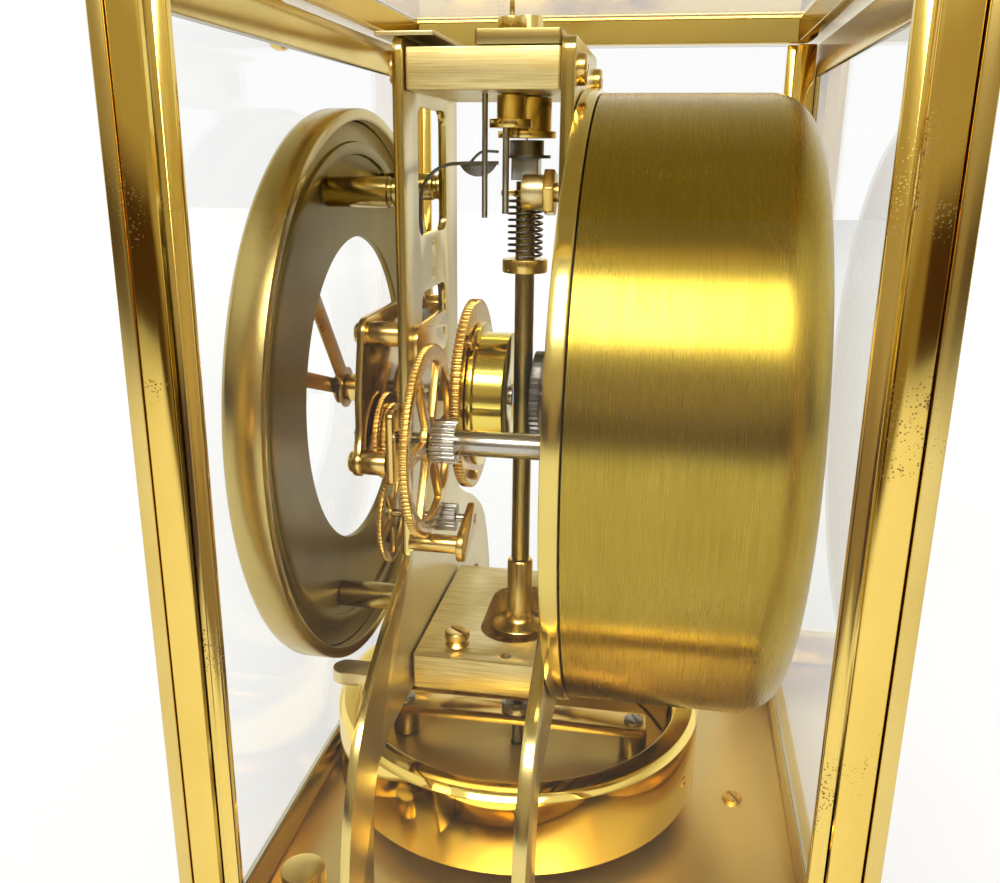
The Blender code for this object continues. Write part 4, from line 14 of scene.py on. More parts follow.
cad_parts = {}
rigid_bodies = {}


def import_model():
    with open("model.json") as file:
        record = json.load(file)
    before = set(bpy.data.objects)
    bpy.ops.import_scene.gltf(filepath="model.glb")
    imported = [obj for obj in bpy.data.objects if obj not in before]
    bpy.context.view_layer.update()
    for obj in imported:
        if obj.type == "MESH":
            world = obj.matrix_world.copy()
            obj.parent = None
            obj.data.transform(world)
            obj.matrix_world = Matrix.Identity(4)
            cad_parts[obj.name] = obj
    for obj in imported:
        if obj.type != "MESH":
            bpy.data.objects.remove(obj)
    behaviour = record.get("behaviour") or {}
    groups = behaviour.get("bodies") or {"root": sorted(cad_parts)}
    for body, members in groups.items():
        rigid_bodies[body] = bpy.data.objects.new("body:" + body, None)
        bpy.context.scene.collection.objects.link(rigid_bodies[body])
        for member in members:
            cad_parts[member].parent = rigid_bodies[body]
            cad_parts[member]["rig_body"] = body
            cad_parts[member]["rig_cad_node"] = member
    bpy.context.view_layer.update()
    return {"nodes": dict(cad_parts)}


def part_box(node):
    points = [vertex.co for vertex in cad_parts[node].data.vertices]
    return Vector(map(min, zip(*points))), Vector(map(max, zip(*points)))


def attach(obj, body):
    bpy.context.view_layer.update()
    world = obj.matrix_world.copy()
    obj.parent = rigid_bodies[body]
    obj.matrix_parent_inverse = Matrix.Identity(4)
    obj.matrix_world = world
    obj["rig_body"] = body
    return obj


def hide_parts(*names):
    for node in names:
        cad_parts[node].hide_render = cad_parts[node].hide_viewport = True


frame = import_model()
bpy.ops.object.select_all(action="DESELECT")
FULL_TURN = 2 * math.pi
QUARTER_TURN = math.pi / 2

# %% [markdown]
# ## The camera
# The picture looks in through the right-hand pane, a little from the back and from above. A camera
# could be aimed with a tracking constraint. It is placed with three angles instead, because a
# photograph also leans a little: yaw turns it left and right, pitch tips it down, and roll leans it
# over.

# %% Camera
CAMERA_PLACE = Vector((0.2110, 0.0218, 0.1845))
CAMERA_YAW = math.radians(9.92)
CAMERA_PITCH = math.radians(16.735)
CAMERA_ROLL = math.radians(-0.52)
CAMERA_LENS = 34.22


def camera_turn(yaw, pitch, roll):
    """The turn of a camera from its yaw, pitch and roll."""
    forward = Vector((-math.cos(yaw) * math.cos(pitch), -math.sin(yaw) * math.cos(pitch),
                      -math.sin(pitch)))
    right = forward.cross(Vector((0, 0, 1))).normalized()
    down = forward.cross(right)
    rolled_right = math.cos(roll) * right + math.sin(roll) * down
    rolled_down = math.cos(roll) * down - math.sin(roll) * right
    return Matrix((rolled_right, -rolled_down, -forward)).transposed().to_euler()


bpy.ops.object.camera_add(location=CAMERA_PLACE,
                          rotation=camera_turn(CAMERA_YAW, CAMERA_PITCH, CAMERA_ROLL))
camera = bpy.context.object
camera.name = "camera"
camera.data.lens = CAMERA_LENS
camera.data.sensor_width = 36
camera.data.clip_start = 0.005
bpy.context.scene.camera = camera
print("the camera stands at", [round(value, 3) for value in CAMERA_PLACE])

# %% [markdown]
# ## Small tools for node trees
# A material or a world is a tree of nodes, and each node could be added and wired by hand. The same
# few come up all the time: a colour ramp, a mix of two colours and a sum. So each gets a short
# function that makes the node, wires what comes in and hands back what goes out.

# %% Node helpers
def ramp(nodes, stops):
    """A colour ramp with (position, colour) stops."""
    node = nodes.new("ShaderNodeValToRGB")
    elements = node.color_ramp.elements
    while len(elements) < len(stops):
        elements.new(0.5)
    for element, (position, colour) in zip(elements, stops):
        element.position = position
        element.color = colour
    return node


def mix_colours(tree, factor, first, second):
    """A mix of two sockets or colours."""
    node = tree.nodes.new("ShaderNodeMix")
    node.data_type = "RGBA"
    for socket, value in ((node.inputs[0], factor), (node.inputs[6], first), (node.inputs[7], second)):
        if isinstance(value, bpy.types.NodeSocket):
            tree.links.new(value, socket)
        else:
            socket.default_value = value
    return node.outputs[2]


def calculate(tree, operation, *values):
    """A Math node fed with sockets or numbers."""
    node = tree.nodes.new("ShaderNodeMath")
    node.operation = operation
    for socket, value in zip(node.inputs, values):
        if isinstance(value, bpy.types.NodeSocket):
            tree.links.new(value, socket)
        else:
            socket.default_value = value
    return node.outputs[0]


def clamped(tree, value):
    """A socket's value, held between nought and one."""
    return calculate(tree, "MAXIMUM", calculate(tree, "MINIMUM", value, 1.0), 0.0)


print("node helpers: ramp, mix_colours, calculate, clamped")

# %% [markdown]
# ## The room round the clock
# Polished metal shows its surroundings more than its own colour, so the clock needs a room. A picture
# of a real one could surround it. Here the room is painted with ramps by height: white behind the
# clock, darker on the camera's side, with a pale band high up. Light Path decides who sees it:
# mirrored rays see the room, the camera sees white, and the rest take a plain fill light.

# %% World
BACKDROP_WHITE = (1.0, 1.0, 1.0, 1)
FILL_LIGHT = (0.50, 0.495, 0.48, 1)
WALL_LOW = (0.26, 0.19, 0.08, 1)
WALL_SHADE = (0.06, 0.028, 0.012, 1)
WALL_MIDDLE = (0.42, 0.34, 0.20, 1)
WINDOW_RIM = (0.90, 0.86, 0.74, 1)
CEILING = (0.27, 0.215, 0.09, 1)
BACK_HIGH = (0.66, 0.62, 0.50, 1)

world = bpy.data.worlds.new("studio")
bpy.context.scene.world = world
world.use_nodes = True
tree = world.node_tree
place = tree.nodes.new("ShaderNodeTexCoord")
split = tree.nodes.new("ShaderNodeSeparateXYZ")
tree.links.new(place.outputs["Generated"], split.inputs[0])
height = calculate(tree, "MULTIPLY_ADD", split.outputs["Z"], 0.5, 0.5)
WALL_ABOVE = ((0.62, WALL_MIDDLE), (0.70, WALL_MIDDLE), (0.79, WINDOW_RIM), (0.90, WINDOW_RIM),
              (0.95, CEILING), (1.0, CEILING))
open_wall = ramp(tree.nodes, ((0.50, WALL_LOW), (0.56, WALL_LOW), *WALL_ABOVE))
shaded_wall = ramp(tree.nodes, ((0.50, WALL_SHADE), (0.57, WALL_SHADE), *WALL_ABOVE))
behind = ramp(tree.nodes, ((0.0, WALL_MIDDLE), (0.48, BACKDROP_WHITE), (0.66, BACKDROP_WHITE),
                           (0.76, BACK_HIGH), (0.97, CEILING)))
for profile in (open_wall, shaded_wall, behind):
    tree.links.new(height, profile.inputs[0])

aside = calculate(tree, "ABSOLUTE", split.outputs["Y"])
shade = clamped(tree, calculate(tree, "MULTIPLY_ADD", aside, 14.0, -2.6))
camera_side = mix_colours(tree, shade, open_wall.outputs[0], shaded_wall.outputs[0])
towards_camera = clamped(tree, calculate(tree, "MULTIPLY_ADD", split.outputs["X"], 4.0, 0.3))
room = mix_colours(tree, towards_camera, behind.outputs[0], camera_side)
rays = tree.nodes.new("ShaderNodeLightPath")
clear_sight = calculate(tree, "MAXIMUM", rays.outputs["Is Camera Ray"], rays.outputs["Is Transmission Ray"])
mirrored = calculate(tree, "MINIMUM", rays.outputs["Glossy Depth"], 1.0)
shown = calculate(tree, "MAXIMUM", clear_sight, rays.outputs["Is Glossy Ray"])
picture = mix_colours(tree, mirrored, BACKDROP_WHITE, room)
tree.links.new(mix_colours(tree, shown, FILL_LIGHT, picture), tree.nodes["Background"].inputs[0])
print("the room takes", len(tree.nodes), "nodes")

# %% [markdown]
# ## Lamps
# The metal needs something broad to mirror and the shadows have to stay soft. Point lamps would leave
# hard specks, so both lamps are rectangles. The window lamp stands on the camera's side, where round
# pieces mirror it as a bright band. The ceiling lamp only fills from above, and is hidden from
# reflections and glass.

# %% Lamps
def soft_lamp(name, place, aim, size, power):
    """A broad rectangular lamp that looks from its place at a point."""
    turn = (Vector(aim) - Vector(place)).to_track_quat("-Z", "Y").to_euler()
    bpy.ops.object.light_add(type="AREA", location=place, rotation=turn)
    lamp = bpy.context.object
    lamp.name = name
    lamp.data.shape = "RECTANGLE"
    lamp.data.size, lamp.data.size_y = size
    lamp.data.energy = power
    return lamp


CLOCK_MIDDLE = (0, 0, 0.13)
soft_lamp("window_lamp", place=(1.333, 0.02, 1.433), aim=(0.06, 0.02, 0.16), size=(1.20, 0.70),
          power=20.0)
ceiling_lamp = soft_lamp("ceiling_lamp", place=(-0.15, -0.10, 1.25), aim=CLOCK_MIDDLE,
                         size=(1.1, 1.1), power=8.0)
ceiling_lamp.visible_glossy = False
ceiling_lamp.visible_transmission = False

# %% [markdown]
# ## Floor
# The clock stands on a pale, seamless ground. Stronger lamps would turn a floor white, but would
# bleach the clock too. Instead the floor is a plain, pale surface that takes the shadow, and it glows
# a little where the camera sees it directly or through glass.

# %% Floor
FLOOR_SIZE = 6.0
bpy.ops.mesh.primitive_plane_add(size=FLOOR_SIZE)
floor = bpy.context.object
floor.name = "floor"
look = bpy.data.materials.new("pale floor")
look.use_nodes = True
tree = look.node_tree
shader = tree.nodes["Principled BSDF"]
shader.inputs["Base Color"].default_value = (0.80, 0.79, 0.77, 1)
shader.inputs["Roughness"].default_value = 0.8
glow = tree.nodes.new("ShaderNodeEmission")
glow.inputs["Color"].default_value = BACKDROP_WHITE
spot = tree.nodes.new("ShaderNodeTexCoord")
away = tree.nodes.new("ShaderNodeVectorMath")
away.operation = "LENGTH"
tree.links.new(spot.outputs["Object"], away.inputs[0])
rise = tree.nodes.new("ShaderNodeMapRange")
tree.links.new(away.outputs["Value"], rise.inputs["Value"])
for label, value in (("From Min", 0.3), ("From Max", 1.5), ("To Min", 1.1), ("To Max", 1.8)):
    rise.inputs[label].default_value = value
tree.links.new(rise.outputs[0], glow.inputs["Strength"])
rays = tree.nodes.new("ShaderNodeLightPath")
seen = calculate(tree, "MAXIMUM", rays.outputs["Is Camera Ray"], rays.outputs["Is Transmission Ray"])
seen = calculate(tree, "MAXIMUM", seen, rays.outputs["Is Glossy Ray"])
direct = calculate(tree, "SUBTRACT", 1.0, calculate(tree, "MINIMUM", rays.outputs["Glossy Depth"], 1.0))
share = calculate(tree, "MULTIPLY_ADD", direct, 0.5, 0.0)
blend = tree.nodes.new("ShaderNodeMixShader")
tree.links.new(calculate(tree, "MULTIPLY", seen, share), blend.inputs[0])
tree.links.new(shader.outputs[0], blend.inputs[1])
tree.links.new(glow.outputs[0], blend.inputs[2])
tree.links.new(blend.outputs[0], tree.nodes["Material Output"].inputs["Surface"])
floor.data.materials.append(look)
print("the floor is", FLOOR_SIZE, "m wide, with", len(tree.nodes), "nodes")

# %% [markdown]
# ## Effects that several finishes share
# Metal is told apart by its marks, and the metals of this clock share them. Each material could hold
# its own copy of the nodes. A node group keeps them in one place: it is built once, with named
# inputs, and every material places it with its own values.

# %% Group helpers
def new_group(name, inputs, outputs):
    """An empty node group with named float or vector sockets."""
    group = bpy.data.node_groups.new(name, "ShaderNodeTree")
    for label, kind, value in inputs:
        socket = group.interface.new_socket(name=label, in_out="INPUT", socket_type=kind)
        if value is not None:
            socket.default_value = value
    for label, kind in outputs:
        group.interface.new_socket(name=label, in_out="OUTPUT", socket_type=kind)
    return group, group.nodes.new("NodeGroupInput"), group.nodes.new("NodeGroupOutput")


FLOAT = "NodeSocketFloat"
VECTOR = "NodeSocketVector"
GROUPS = {}


def noise(tree, vector, scale, detail=2.0):
    """A noise texture; its scale is a number or a socket."""
    node = tree.nodes.new("ShaderNodeTexNoise")
    node.inputs["Scale"].default_value = scale if not isinstance(scale, bpy.types.NodeSocket) else 1
    if isinstance(scale, bpy.types.NodeSocket):
        tree.links.new(scale, node.inputs["Scale"])
    node.inputs["Detail"].default_value = detail
    tree.links.new(vector, node.inputs["Vector"])
    return node.outputs["Fac"]


def keep_group(kind, group):
    """Keeps a finished group under the short name that materials ask for."""
    GROUPS[kind] = group
    print(group.name, "has", len(group.nodes), "nodes")


print("node helpers: new_group, noise, keep_group")

# %% [markdown]
# ## Straight brushing
# Flat brass is drawn over abrasive in one direction, which leaves long, fine scratches. A scanned
# picture would blur when the camera comes close. Noise that is stretched along one axis stays sharp:
# it changes seldom along a scratch and very often across it.

# %% Straight brushing
def straight_brushing_group():
    """Long scratches along X of the vector that comes in."""
    group, given, result = new_group("straight brushing",
                                     [("Vector", VECTOR, None), ("Fineness", FLOAT, 5000.0),
                                      ("Length", FLOAT, 60.0)], [("Marks", FLOAT)])
    split = group.nodes.new("ShaderNodeSeparateXYZ")
    group.links.new(given.outputs["Vector"], split.inputs[0])
    joined = group.nodes.new("ShaderNodeCombineXYZ")
    for axis, factor in (("X", "Length"), ("Y", "Fineness"), ("Z", "Fineness")):
        group.links.new(calculate(group, "MULTIPLY", split.outputs[axis], given.outputs[factor]),
                        joined.inputs[axis])
    group.links.new(noise(group, joined.outputs[0], 1.0, 3.0), result.inputs["Marks"])
    return group


keep_group("straight", straight_brushing_group())

# %% [markdown]
# ## Turned brushing
# A piece finished on a lathe has its marks in circles round the axis. Straight noise that is bent
# round would never meet itself. So the position is taken apart first: its direction from the axis
# gives the way round, and its distance gives the way across.

# %% Turned brushing
def turned_brushing_group():
    """Marks left by turning: they run round the Z axis of the vector that comes in."""
    group, given, result = new_group("turned brushing",
                                     [("Vector", VECTOR, None), ("Fineness", FLOAT, 4000.0),
                                      ("Arc", FLOAT, 6.0)], [("Marks", FLOAT)])
    split = group.nodes.new("ShaderNodeSeparateXYZ")
    group.links.new(given.outputs["Vector"], split.inputs[0])
    square_x = calculate(group, "MULTIPLY", split.outputs["X"], split.outputs["X"])
    square_y = calculate(group, "MULTIPLY", split.outputs["Y"], split.outputs["Y"])
    radius = calculate(group, "SQRT", calculate(group, "ADD", square_x, square_y))
    safe = calculate(group, "MAXIMUM", radius, 0.00001)
    joined = group.nodes.new("ShaderNodeCombineXYZ")
    for axis in "XY":
        around = calculate(group, "DIVIDE", split.outputs[axis], safe)
        group.links.new(calculate(group, "MULTIPLY", around, given.outputs["Arc"]),
                        joined.inputs[axis])
    across = calculate(group, "ADD", radius, split.outputs["Z"])
    group.links.new(calculate(group, "MULTIPLY", across, given.outputs["Fineness"]),
                    joined.inputs["Z"])
    group.links.new(noise(group, joined.outputs[0], 1.0, 3.0), result.inputs["Marks"])
    return group


keep_group("turned", turned_brushing_group())

# %% [markdown]
# ## Tarnish pits
# Where the lacquer on gilding has let go, small dark pits gather in patches. They could be painted,
# but that would have to be done again for every piece. A cell pattern gives the pits, and a broad
# noise decides where they gather.

# %% Tarnish pits
def tarnish_group():
    """Small dark pits where the lacquer has let go, gathered in patches."""
    group, given, result = new_group("tarnish pits",
                                     [("Vector", VECTOR, None), ("Scale", FLOAT, 1900.0),
                                      ("Amount", FLOAT, 0.3)], [("Mask", FLOAT)])
    cells = group.nodes.new("ShaderNodeTexVoronoi")
    group.links.new(given.outputs["Vector"], cells.inputs["Vector"])
    group.links.new(given.outputs["Scale"], cells.inputs["Scale"])
    patches = noise(group, given.outputs["Vector"], 55.0, 3.0)
    strength = calculate(group, "MULTIPLY", calculate(group, "SUBTRACT", patches, 0.52),
                         calculate(group, "MULTIPLY", given.outputs["Amount"], 6.0))
    room_left = calculate(group, "SUBTRACT", strength, cells.outputs["Distance"])
    mask = group.nodes.new("ShaderNodeClamp")
    group.links.new(calculate(group, "MULTIPLY", room_left, 5.0), mask.inputs[0])
    group.links.new(mask.outputs[0], result.inputs["Mask"])
    return group


keep_group("pits", tarnish_group())

# %% [markdown]
# ## Tone drift
# No gilding has quite the same tone all over. A slow, cloudy noise stands for that. It is a group of
# its own, so that every metal and the glass can take it at their own scale.

# %% Tone drift
def tone_drift_group():
    """Slow cloudy change of tone over a surface."""
    group, given, result = new_group("tone drift", [("Vector", VECTOR, None), ("Scale", FLOAT, 40.0)],
                                     [("Drift", FLOAT)])
    group.links.new(noise(group, given.outputs["Vector"], given.outputs["Scale"], 4.0),
                    result.inputs["Drift"])
    return group


keep_group("drift", tone_drift_group())

# %% [markdown]
# ## One recipe for all metals
# The clock has twenty-three finishes besides its glass. They could be separate materials from
# scratch, but they differ only in colour, in gloss and in the run and depth of their marks. One
# recipe mixes a deep and a bright colour by the marks, lets the roughness follow them, and takes the
# rest as values.

# %% Metal recipe
AXIS_HEIGHT = 0.1315
PENDULUM_Y = -0.0098
STAFF_LINE = (0, PENDULUM_Y, 0)
DIAL_CENTRE = (0, 0, AXIS_HEIGHT)
UPRIGHT = (0, 0, 0)
FACING_FRONT = (QUARTER_TURN, 0, 0)
ALONG_Z = (0, QUARTER_TURN, 0)
ALONG_Y = (0, 0, QUARTER_TURN)


def grouped(tree, kind, vector, **values):
    """Places a shared group with its own values."""
    node = tree.nodes.new("ShaderNodeGroup")
    node.node_tree = GROUPS[kind]
    tree.links.new(vector, node.inputs["Vector"])
    for label, value in values.items():
        node.inputs[label.replace("_", " ")].default_value = value
    return node.outputs[0]


def metal(name, colour, deep, rough, marks="straight", fineness=5000.0, run=60.0, depth=0.000004,
          centre=UPRIGHT, turn=UPRIGHT, pits=0.0, pit_colour=(0.30, 0.17, 0.06), drift=40.0,
          anisotropy=0.0, groove=0.35):
    """A metal with its own marks. deep is the colour in the grooves and rough a (low, high) pair."""
    look = bpy.data.materials.new(name)
    look.use_nodes = True
    tree = look.node_tree
    shader = tree.nodes["Principled BSDF"]
    place = tree.nodes.new("ShaderNodeTexCoord")
    mapping = tree.nodes.new("ShaderNodeMapping")
    mapping.vector_type = "TEXTURE"
    mapping.inputs["Location"].default_value = centre
    mapping.inputs["Rotation"].default_value = turn
    tree.links.new(place.outputs["Object"], mapping.inputs["Vector"])
    vector = mapping.outputs[0]
    label = {"straight": "Length", "turned": "Arc"}[marks]
    scratches = grouped(tree, marks, vector, Fineness=fineness, **{label: run})
    cloud = grouped(tree, "drift", vector, Scale=drift)
    tone = calculate(tree, "MULTIPLY_ADD", scratches, groove * 2, calculate(tree, "SUBTRACT", cloud, groove))
    hold = tree.nodes.new("ShaderNodeClamp")
    tree.links.new(tone, hold.inputs[0])
    surface = mix_colours(tree, hold.outputs[0], (*deep, 1), (*colour, 1))
    spread = tree.nodes.new("ShaderNodeMapRange")
    tree.links.new(hold.outputs[0], spread.inputs["Value"])
    spread.inputs["To Min"].default_value = rough[1]
    spread.inputs["To Max"].default_value = rough[0]
    roughness = spread.outputs[0]
    if pits:
        mask = grouped(tree, "pits", place.outputs["Object"], Amount=pits)
        surface = mix_colours(tree, mask, surface, (*pit_colour, 1))
        roughness = calculate(tree, "MULTIPLY_ADD", mask, 0.4, roughness)
    tree.links.new(surface, shader.inputs["Base Color"])
    tree.links.new(roughness, shader.inputs["Roughness"])
    shader.inputs["Metallic"].default_value = 1.0
    if anisotropy:
        shader.inputs["Anisotropic"].default_value = anisotropy
        shader.inputs["Anisotropic Rotation"].default_value = 0.25
        around = tree.nodes.new("ShaderNodeTangent")
        around.direction_type = "RADIAL"
        around.axis = "Y"
        tree.links.new(around.outputs[0], shader.inputs["Tangent"])
    bump = tree.nodes.new("ShaderNodeBump")
    bump.inputs["Distance"].default_value = depth
    tree.links.new(scratches, bump.inputs["Height"])
    tree.links.new(bump.outputs[0], shader.inputs["Normal"])
    print("metal:", name)
    return look


print("marks to choose from:", list(GROUPS))

# %% [markdown]
# ## Gilt of the case and plates
# The case is gilt and polished, and the plates are gilt over a fine satin grain. One gold could serve
# both, but polished gold mirrors the room and satin gold spreads it. So they differ in roughness more
# than in colour, and the polished edges of the plates get a gold of their own.

# %% Gilt of the case and plates
case_gold = metal("case gold", (0.95, 0.71, 0.19), (0.82, 0.56, 0.11), (0.05, 0.13),
                  turn=ALONG_Z, depth=0.0000006, pits=0.5, groove=0.15)
panel_gilt = metal("panel gilt", (0.88, 0.68, 0.24), (0.66, 0.47, 0.12), (0.14, 0.26),
                   depth=0.000001, pits=0.25)
base_gold = metal("base gold", (0.95, 0.76, 0.36), (0.88, 0.66, 0.27), (0.32, 0.42),
                  depth=0.0000004, run=400.0, fineness=1500.0, groove=0.15)
plate_gilt = metal("plate gilt", (0.88, 0.76, 0.42), (0.70, 0.57, 0.26), (0.26, 0.38),
                   turn=ALONG_Z, run=900.0, fineness=3500.0, depth=0.000003)
edge_gilt = metal("plate edge gilt", (0.88, 0.72, 0.28), (0.70, 0.53, 0.15), (0.10, 0.20),
                  turn=ALONG_Z, depth=0.000001)

# %% [markdown]
# ## Brass of the movement
# Bars, wheels and fittings are plain brass under lacquer. Each piece could have its own marks, but a
# few directions cover them. The marks of the wheels run round the middle of the dial, which is true
# for the wheels there and near enough for the small ones beside it.

# %% Brass of the movement
platform_brass = metal("platform brass", (1.0, 0.86, 0.44), (0.60, 0.43, 0.12),
                       (0.32, 0.48), turn=ALONG_Y, run=90.0, fineness=4200.0, depth=0.000012,
                       groove=0.9)
cover_brass = metal("cover brass", (0.62, 0.48, 0.18), (0.36, 0.26, 0.08), (0.22, 0.36),
                    turn=ALONG_Y, run=90.0, depth=0.000008)
wheel_brass = metal("wheel brass", (0.92, 0.63, 0.19), (0.68, 0.43, 0.09), (0.16, 0.30),
                    marks="turned", centre=DIAL_CENTRE, turn=FACING_FRONT, fineness=5000.0, run=4.0,
                    depth=0.000002)
fitting_brass = metal("fitting brass", (0.94, 0.69, 0.24), (0.72, 0.48, 0.12),
                      (0.14, 0.28), run=300.0, depth=0.000002)
staff_brass = metal("staff brass", (0.96, 0.74, 0.26), (0.76, 0.54, 0.14), (0.12, 0.24),
                    marks="turned", centre=STAFF_LINE, fineness=6000.0, depth=0.000002)
tube_brass = metal("tube brass", (0.46, 0.36, 0.12), (0.30, 0.22, 0.06), (0.22, 0.34),
                   turn=ALONG_Z, depth=0.000002)
pillar_brass = metal("pillar brass", (0.62, 0.49, 0.19), (0.42, 0.32, 0.10), (0.12, 0.24),
                     turn=ALONG_Y, depth=0.000002)

# %% [markdown]
# ## Metals of the ring, drum and dial
# The ring, the drum, the barrel and the bezel are lathe work. They could share one turned brass, but
# the ring is bright and golden, the drum darker and brushed, and the back of the dial brown. The drum
# is also anisotropic, which stretches its highlights across the brushing.

# %% Metals of the ring, drum and dial
ring_gold = metal("pendulum ring gold", (1.0, 0.77, 0.22), (0.94, 0.68, 0.15),
                  (0.04, 0.10), marks="turned", centre=STAFF_LINE, depth=0.0000006, groove=0.15)
web_brass = metal("pendulum web brass", (0.80, 0.60, 0.22), (0.62, 0.43, 0.12),
                  (0.30, 0.44), marks="turned", centre=STAFF_LINE, fineness=2500.0, depth=0.000003)
drum_brass = metal("drum brass", (0.54, 0.39, 0.06), (0.34, 0.23, 0.015), (0.22, 0.34),
                   marks="turned", centre=DIAL_CENTRE, turn=FACING_FRONT, fineness=4600.0, run=5.0,
                   depth=0.000004, anisotropy=0.85, groove=0.5)
flange_gold = metal("drum flange gold", (0.88, 0.70, 0.22), (0.70, 0.52, 0.12),
                    (0.10, 0.20), marks="turned", centre=DIAL_CENTRE, turn=FACING_FRONT,
                    depth=0.000001, anisotropy=0.3)
barrel_gold = metal("barrel gold", (0.94, 0.76, 0.16), (0.80, 0.60, 0.10), (0.08, 0.18),
                    marks="turned", centre=DIAL_CENTRE, turn=FACING_FRONT, depth=0.000001)
bezel_brass = metal("bezel brass", (0.68, 0.54, 0.20), (0.48, 0.36, 0.11), (0.18, 0.30),
                    marks="turned", centre=DIAL_CENTRE, turn=FACING_FRONT, depth=0.000002)
dial_back_look = metal("dial brown", (0.34, 0.25, 0.05), (0.22, 0.155, 0.025), (0.28, 0.44),
                       marks="turned", centre=DIAL_CENTRE, turn=FACING_FRONT, fineness=1800.0,
                       depth=0.000003)

# %% [markdown]
# ## Steel and bronze
# Arbors are bright steel, screws and pins grey steel, and the staff spring, the fork and the roller
# dark steel. The hands are bronze. None needs a recipe of its own: steel is the same recipe with
# hardly any colour.

# %% Steel and bronze
bright_steel = metal("bright steel", (0.66, 0.63, 0.56), (0.42, 0.40, 0.35), (0.16, 0.28),
                     turn=ALONG_Y, depth=0.000002)
grey_steel = metal("grey steel", (0.50, 0.48, 0.43), (0.32, 0.30, 0.26), (0.24, 0.36),
                   turn=ALONG_Z, depth=0.000002)
blued_steel = metal("blued steel", (0.25, 0.23, 0.20), (0.13, 0.12, 0.105), (0.22, 0.36),
                    depth=0.000002)
hand_bronze = metal("hand bronze", (0.50, 0.31, 0.11), (0.32, 0.19, 0.06), (0.22, 0.36),
                    depth=0.000002)

# %% [markdown]
# ## Glass
# A pane is a flat sheet with a faint green tint. The renderer lets little lamp light through solid
# glass, so a case of plain glass would be dark inside. Shadow rays and diffuse rays therefore pass
# through as if it were air, and the camera still sees its reflections.

# %% Glass material
def glass(name, colour, rough):
    """A clear glass that lamp light passes through."""
    look = bpy.data.materials.new(name)
    look.use_nodes = True
    tree = look.node_tree
    shader = tree.nodes["Principled BSDF"]
    shader.inputs["Transmission Weight"].default_value = 1.0
    shader.inputs["IOR"].default_value = 1.20
    place = tree.nodes.new("ShaderNodeTexCoord")
    smear = grouped(tree, "drift", place.outputs["Object"], Scale=18.0)
    spread = tree.nodes.new("ShaderNodeMapRange")
    tree.links.new(smear, spread.inputs["Value"])
    spread.inputs["To Min"].default_value = rough[0]
    spread.inputs["To Max"].default_value = rough[1]
    tree.links.new(spread.outputs[0], shader.inputs["Roughness"])
    tint = mix_colours(tree, smear, (*colour, 1), (1, 1, 1, 1))
    tree.links.new(tint, shader.inputs["Base Color"])
    clear = tree.nodes.new("ShaderNodeBsdfTransparent")
    rays = tree.nodes.new("ShaderNodeLightPath")
    through = calculate(tree, "MAXIMUM", rays.outputs["Is Shadow Ray"], rays.outputs["Is Diffuse Ray"])
    blend = tree.nodes.new("ShaderNodeMixShader")
    tree.links.new(through, blend.inputs[0])
    tree.links.new(shader.outputs[0], blend.inputs[1])
    tree.links.new(clear.outputs[0], blend.inputs[2])
    tree.links.new(blend.outputs[0], tree.nodes["Material Output"].inputs["Surface"])
    print("glass:", name)
    return look


pane_glass = glass("pane glass", (0.985, 0.995, 0.99), (0.0, 0.0))
level_glass = glass("level glass", (0.75, 0.85, 0.45), (0.0, 0.02))

# %% [markdown]
# ## Selecting, softening and naming
# An operator acts on whatever is selected, so a script has to say each time what that is. These
# helpers select a piece, draw a loop through points, round the edges of a finished piece, and give it
# its name, metal and body. The loop starts as a circle primitive, whose points are then put in place.

# %% Selection helpers
def only(*objects):
    """Selects these objects and nothing else."""
    bpy.ops.object.select_all(action="DESELECT")
    for item in objects:
        item.select_set(True)
    bpy.context.view_layer.objects.active = objects[0]
    return objects[0]


def ring_of(points):
    """A closed loop of edges through the points."""
    bpy.ops.mesh.primitive_circle_add(vertices=len(points))
    loop = bpy.context.object
    for vertex, point in zip(loop.data.vertices, points):
        vertex.co = point
    return loop


def soften(piece, edge, angle=40, segments=2):
    """Rounds the sharp edges and smooths the round faces."""
    only(piece)
    if edge:
        modifier = piece.modifiers.new("rounded edges", "BEVEL")
        modifier.width = edge
        modifier.segments = segments
        modifier.limit_method = "ANGLE"
        modifier.angle_limit = math.radians(angle)
        bpy.ops.object.modifier_apply(modifier=modifier.name)
    bpy.ops.object.shade_smooth_by_angle(angle=math.radians(35))
    return piece


def belong(piece, name, body, look, *nodes):
    """Names a finished piece, gives it its metal and hangs it on its body."""
    piece.name = name
    piece.data.name = name
    piece.data.materials.clear()
    piece.data.materials.append(look)
    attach(piece, body)
    if nodes:
        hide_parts(*nodes)
    print(name, "has", len(piece.data.polygons), "faces and rides on", body)
    return piece


def finish_as_is(node, look):
    """Gives its finish to a frame part that keeps its shape."""
    materials = frame["nodes"][node].data.materials
    materials.clear()
    materials.append(look)
    print(node, "keeps its frame shape in", look.name)


print("parts still to dress:", len(frame["nodes"]))

# %% [markdown]
# ## Turned pieces
# Drums, rings and arbors come off a lathe. They could be stacked from cylinders, but a real section
# has grooves and shoulders, and the stack would show its joins. So one side of the section is drawn
# as a closed loop and spun round the axis, as a lathe would turn it.

# %% Turned pieces
def on_axis(axis, centre, radius, height):
    """A point of a section: radius out from the axis, height along it."""
    if axis == "Z":
        return Vector((centre[0] + radius, centre[1], height))
    return Vector((centre[0] + radius, height, centre[1]))


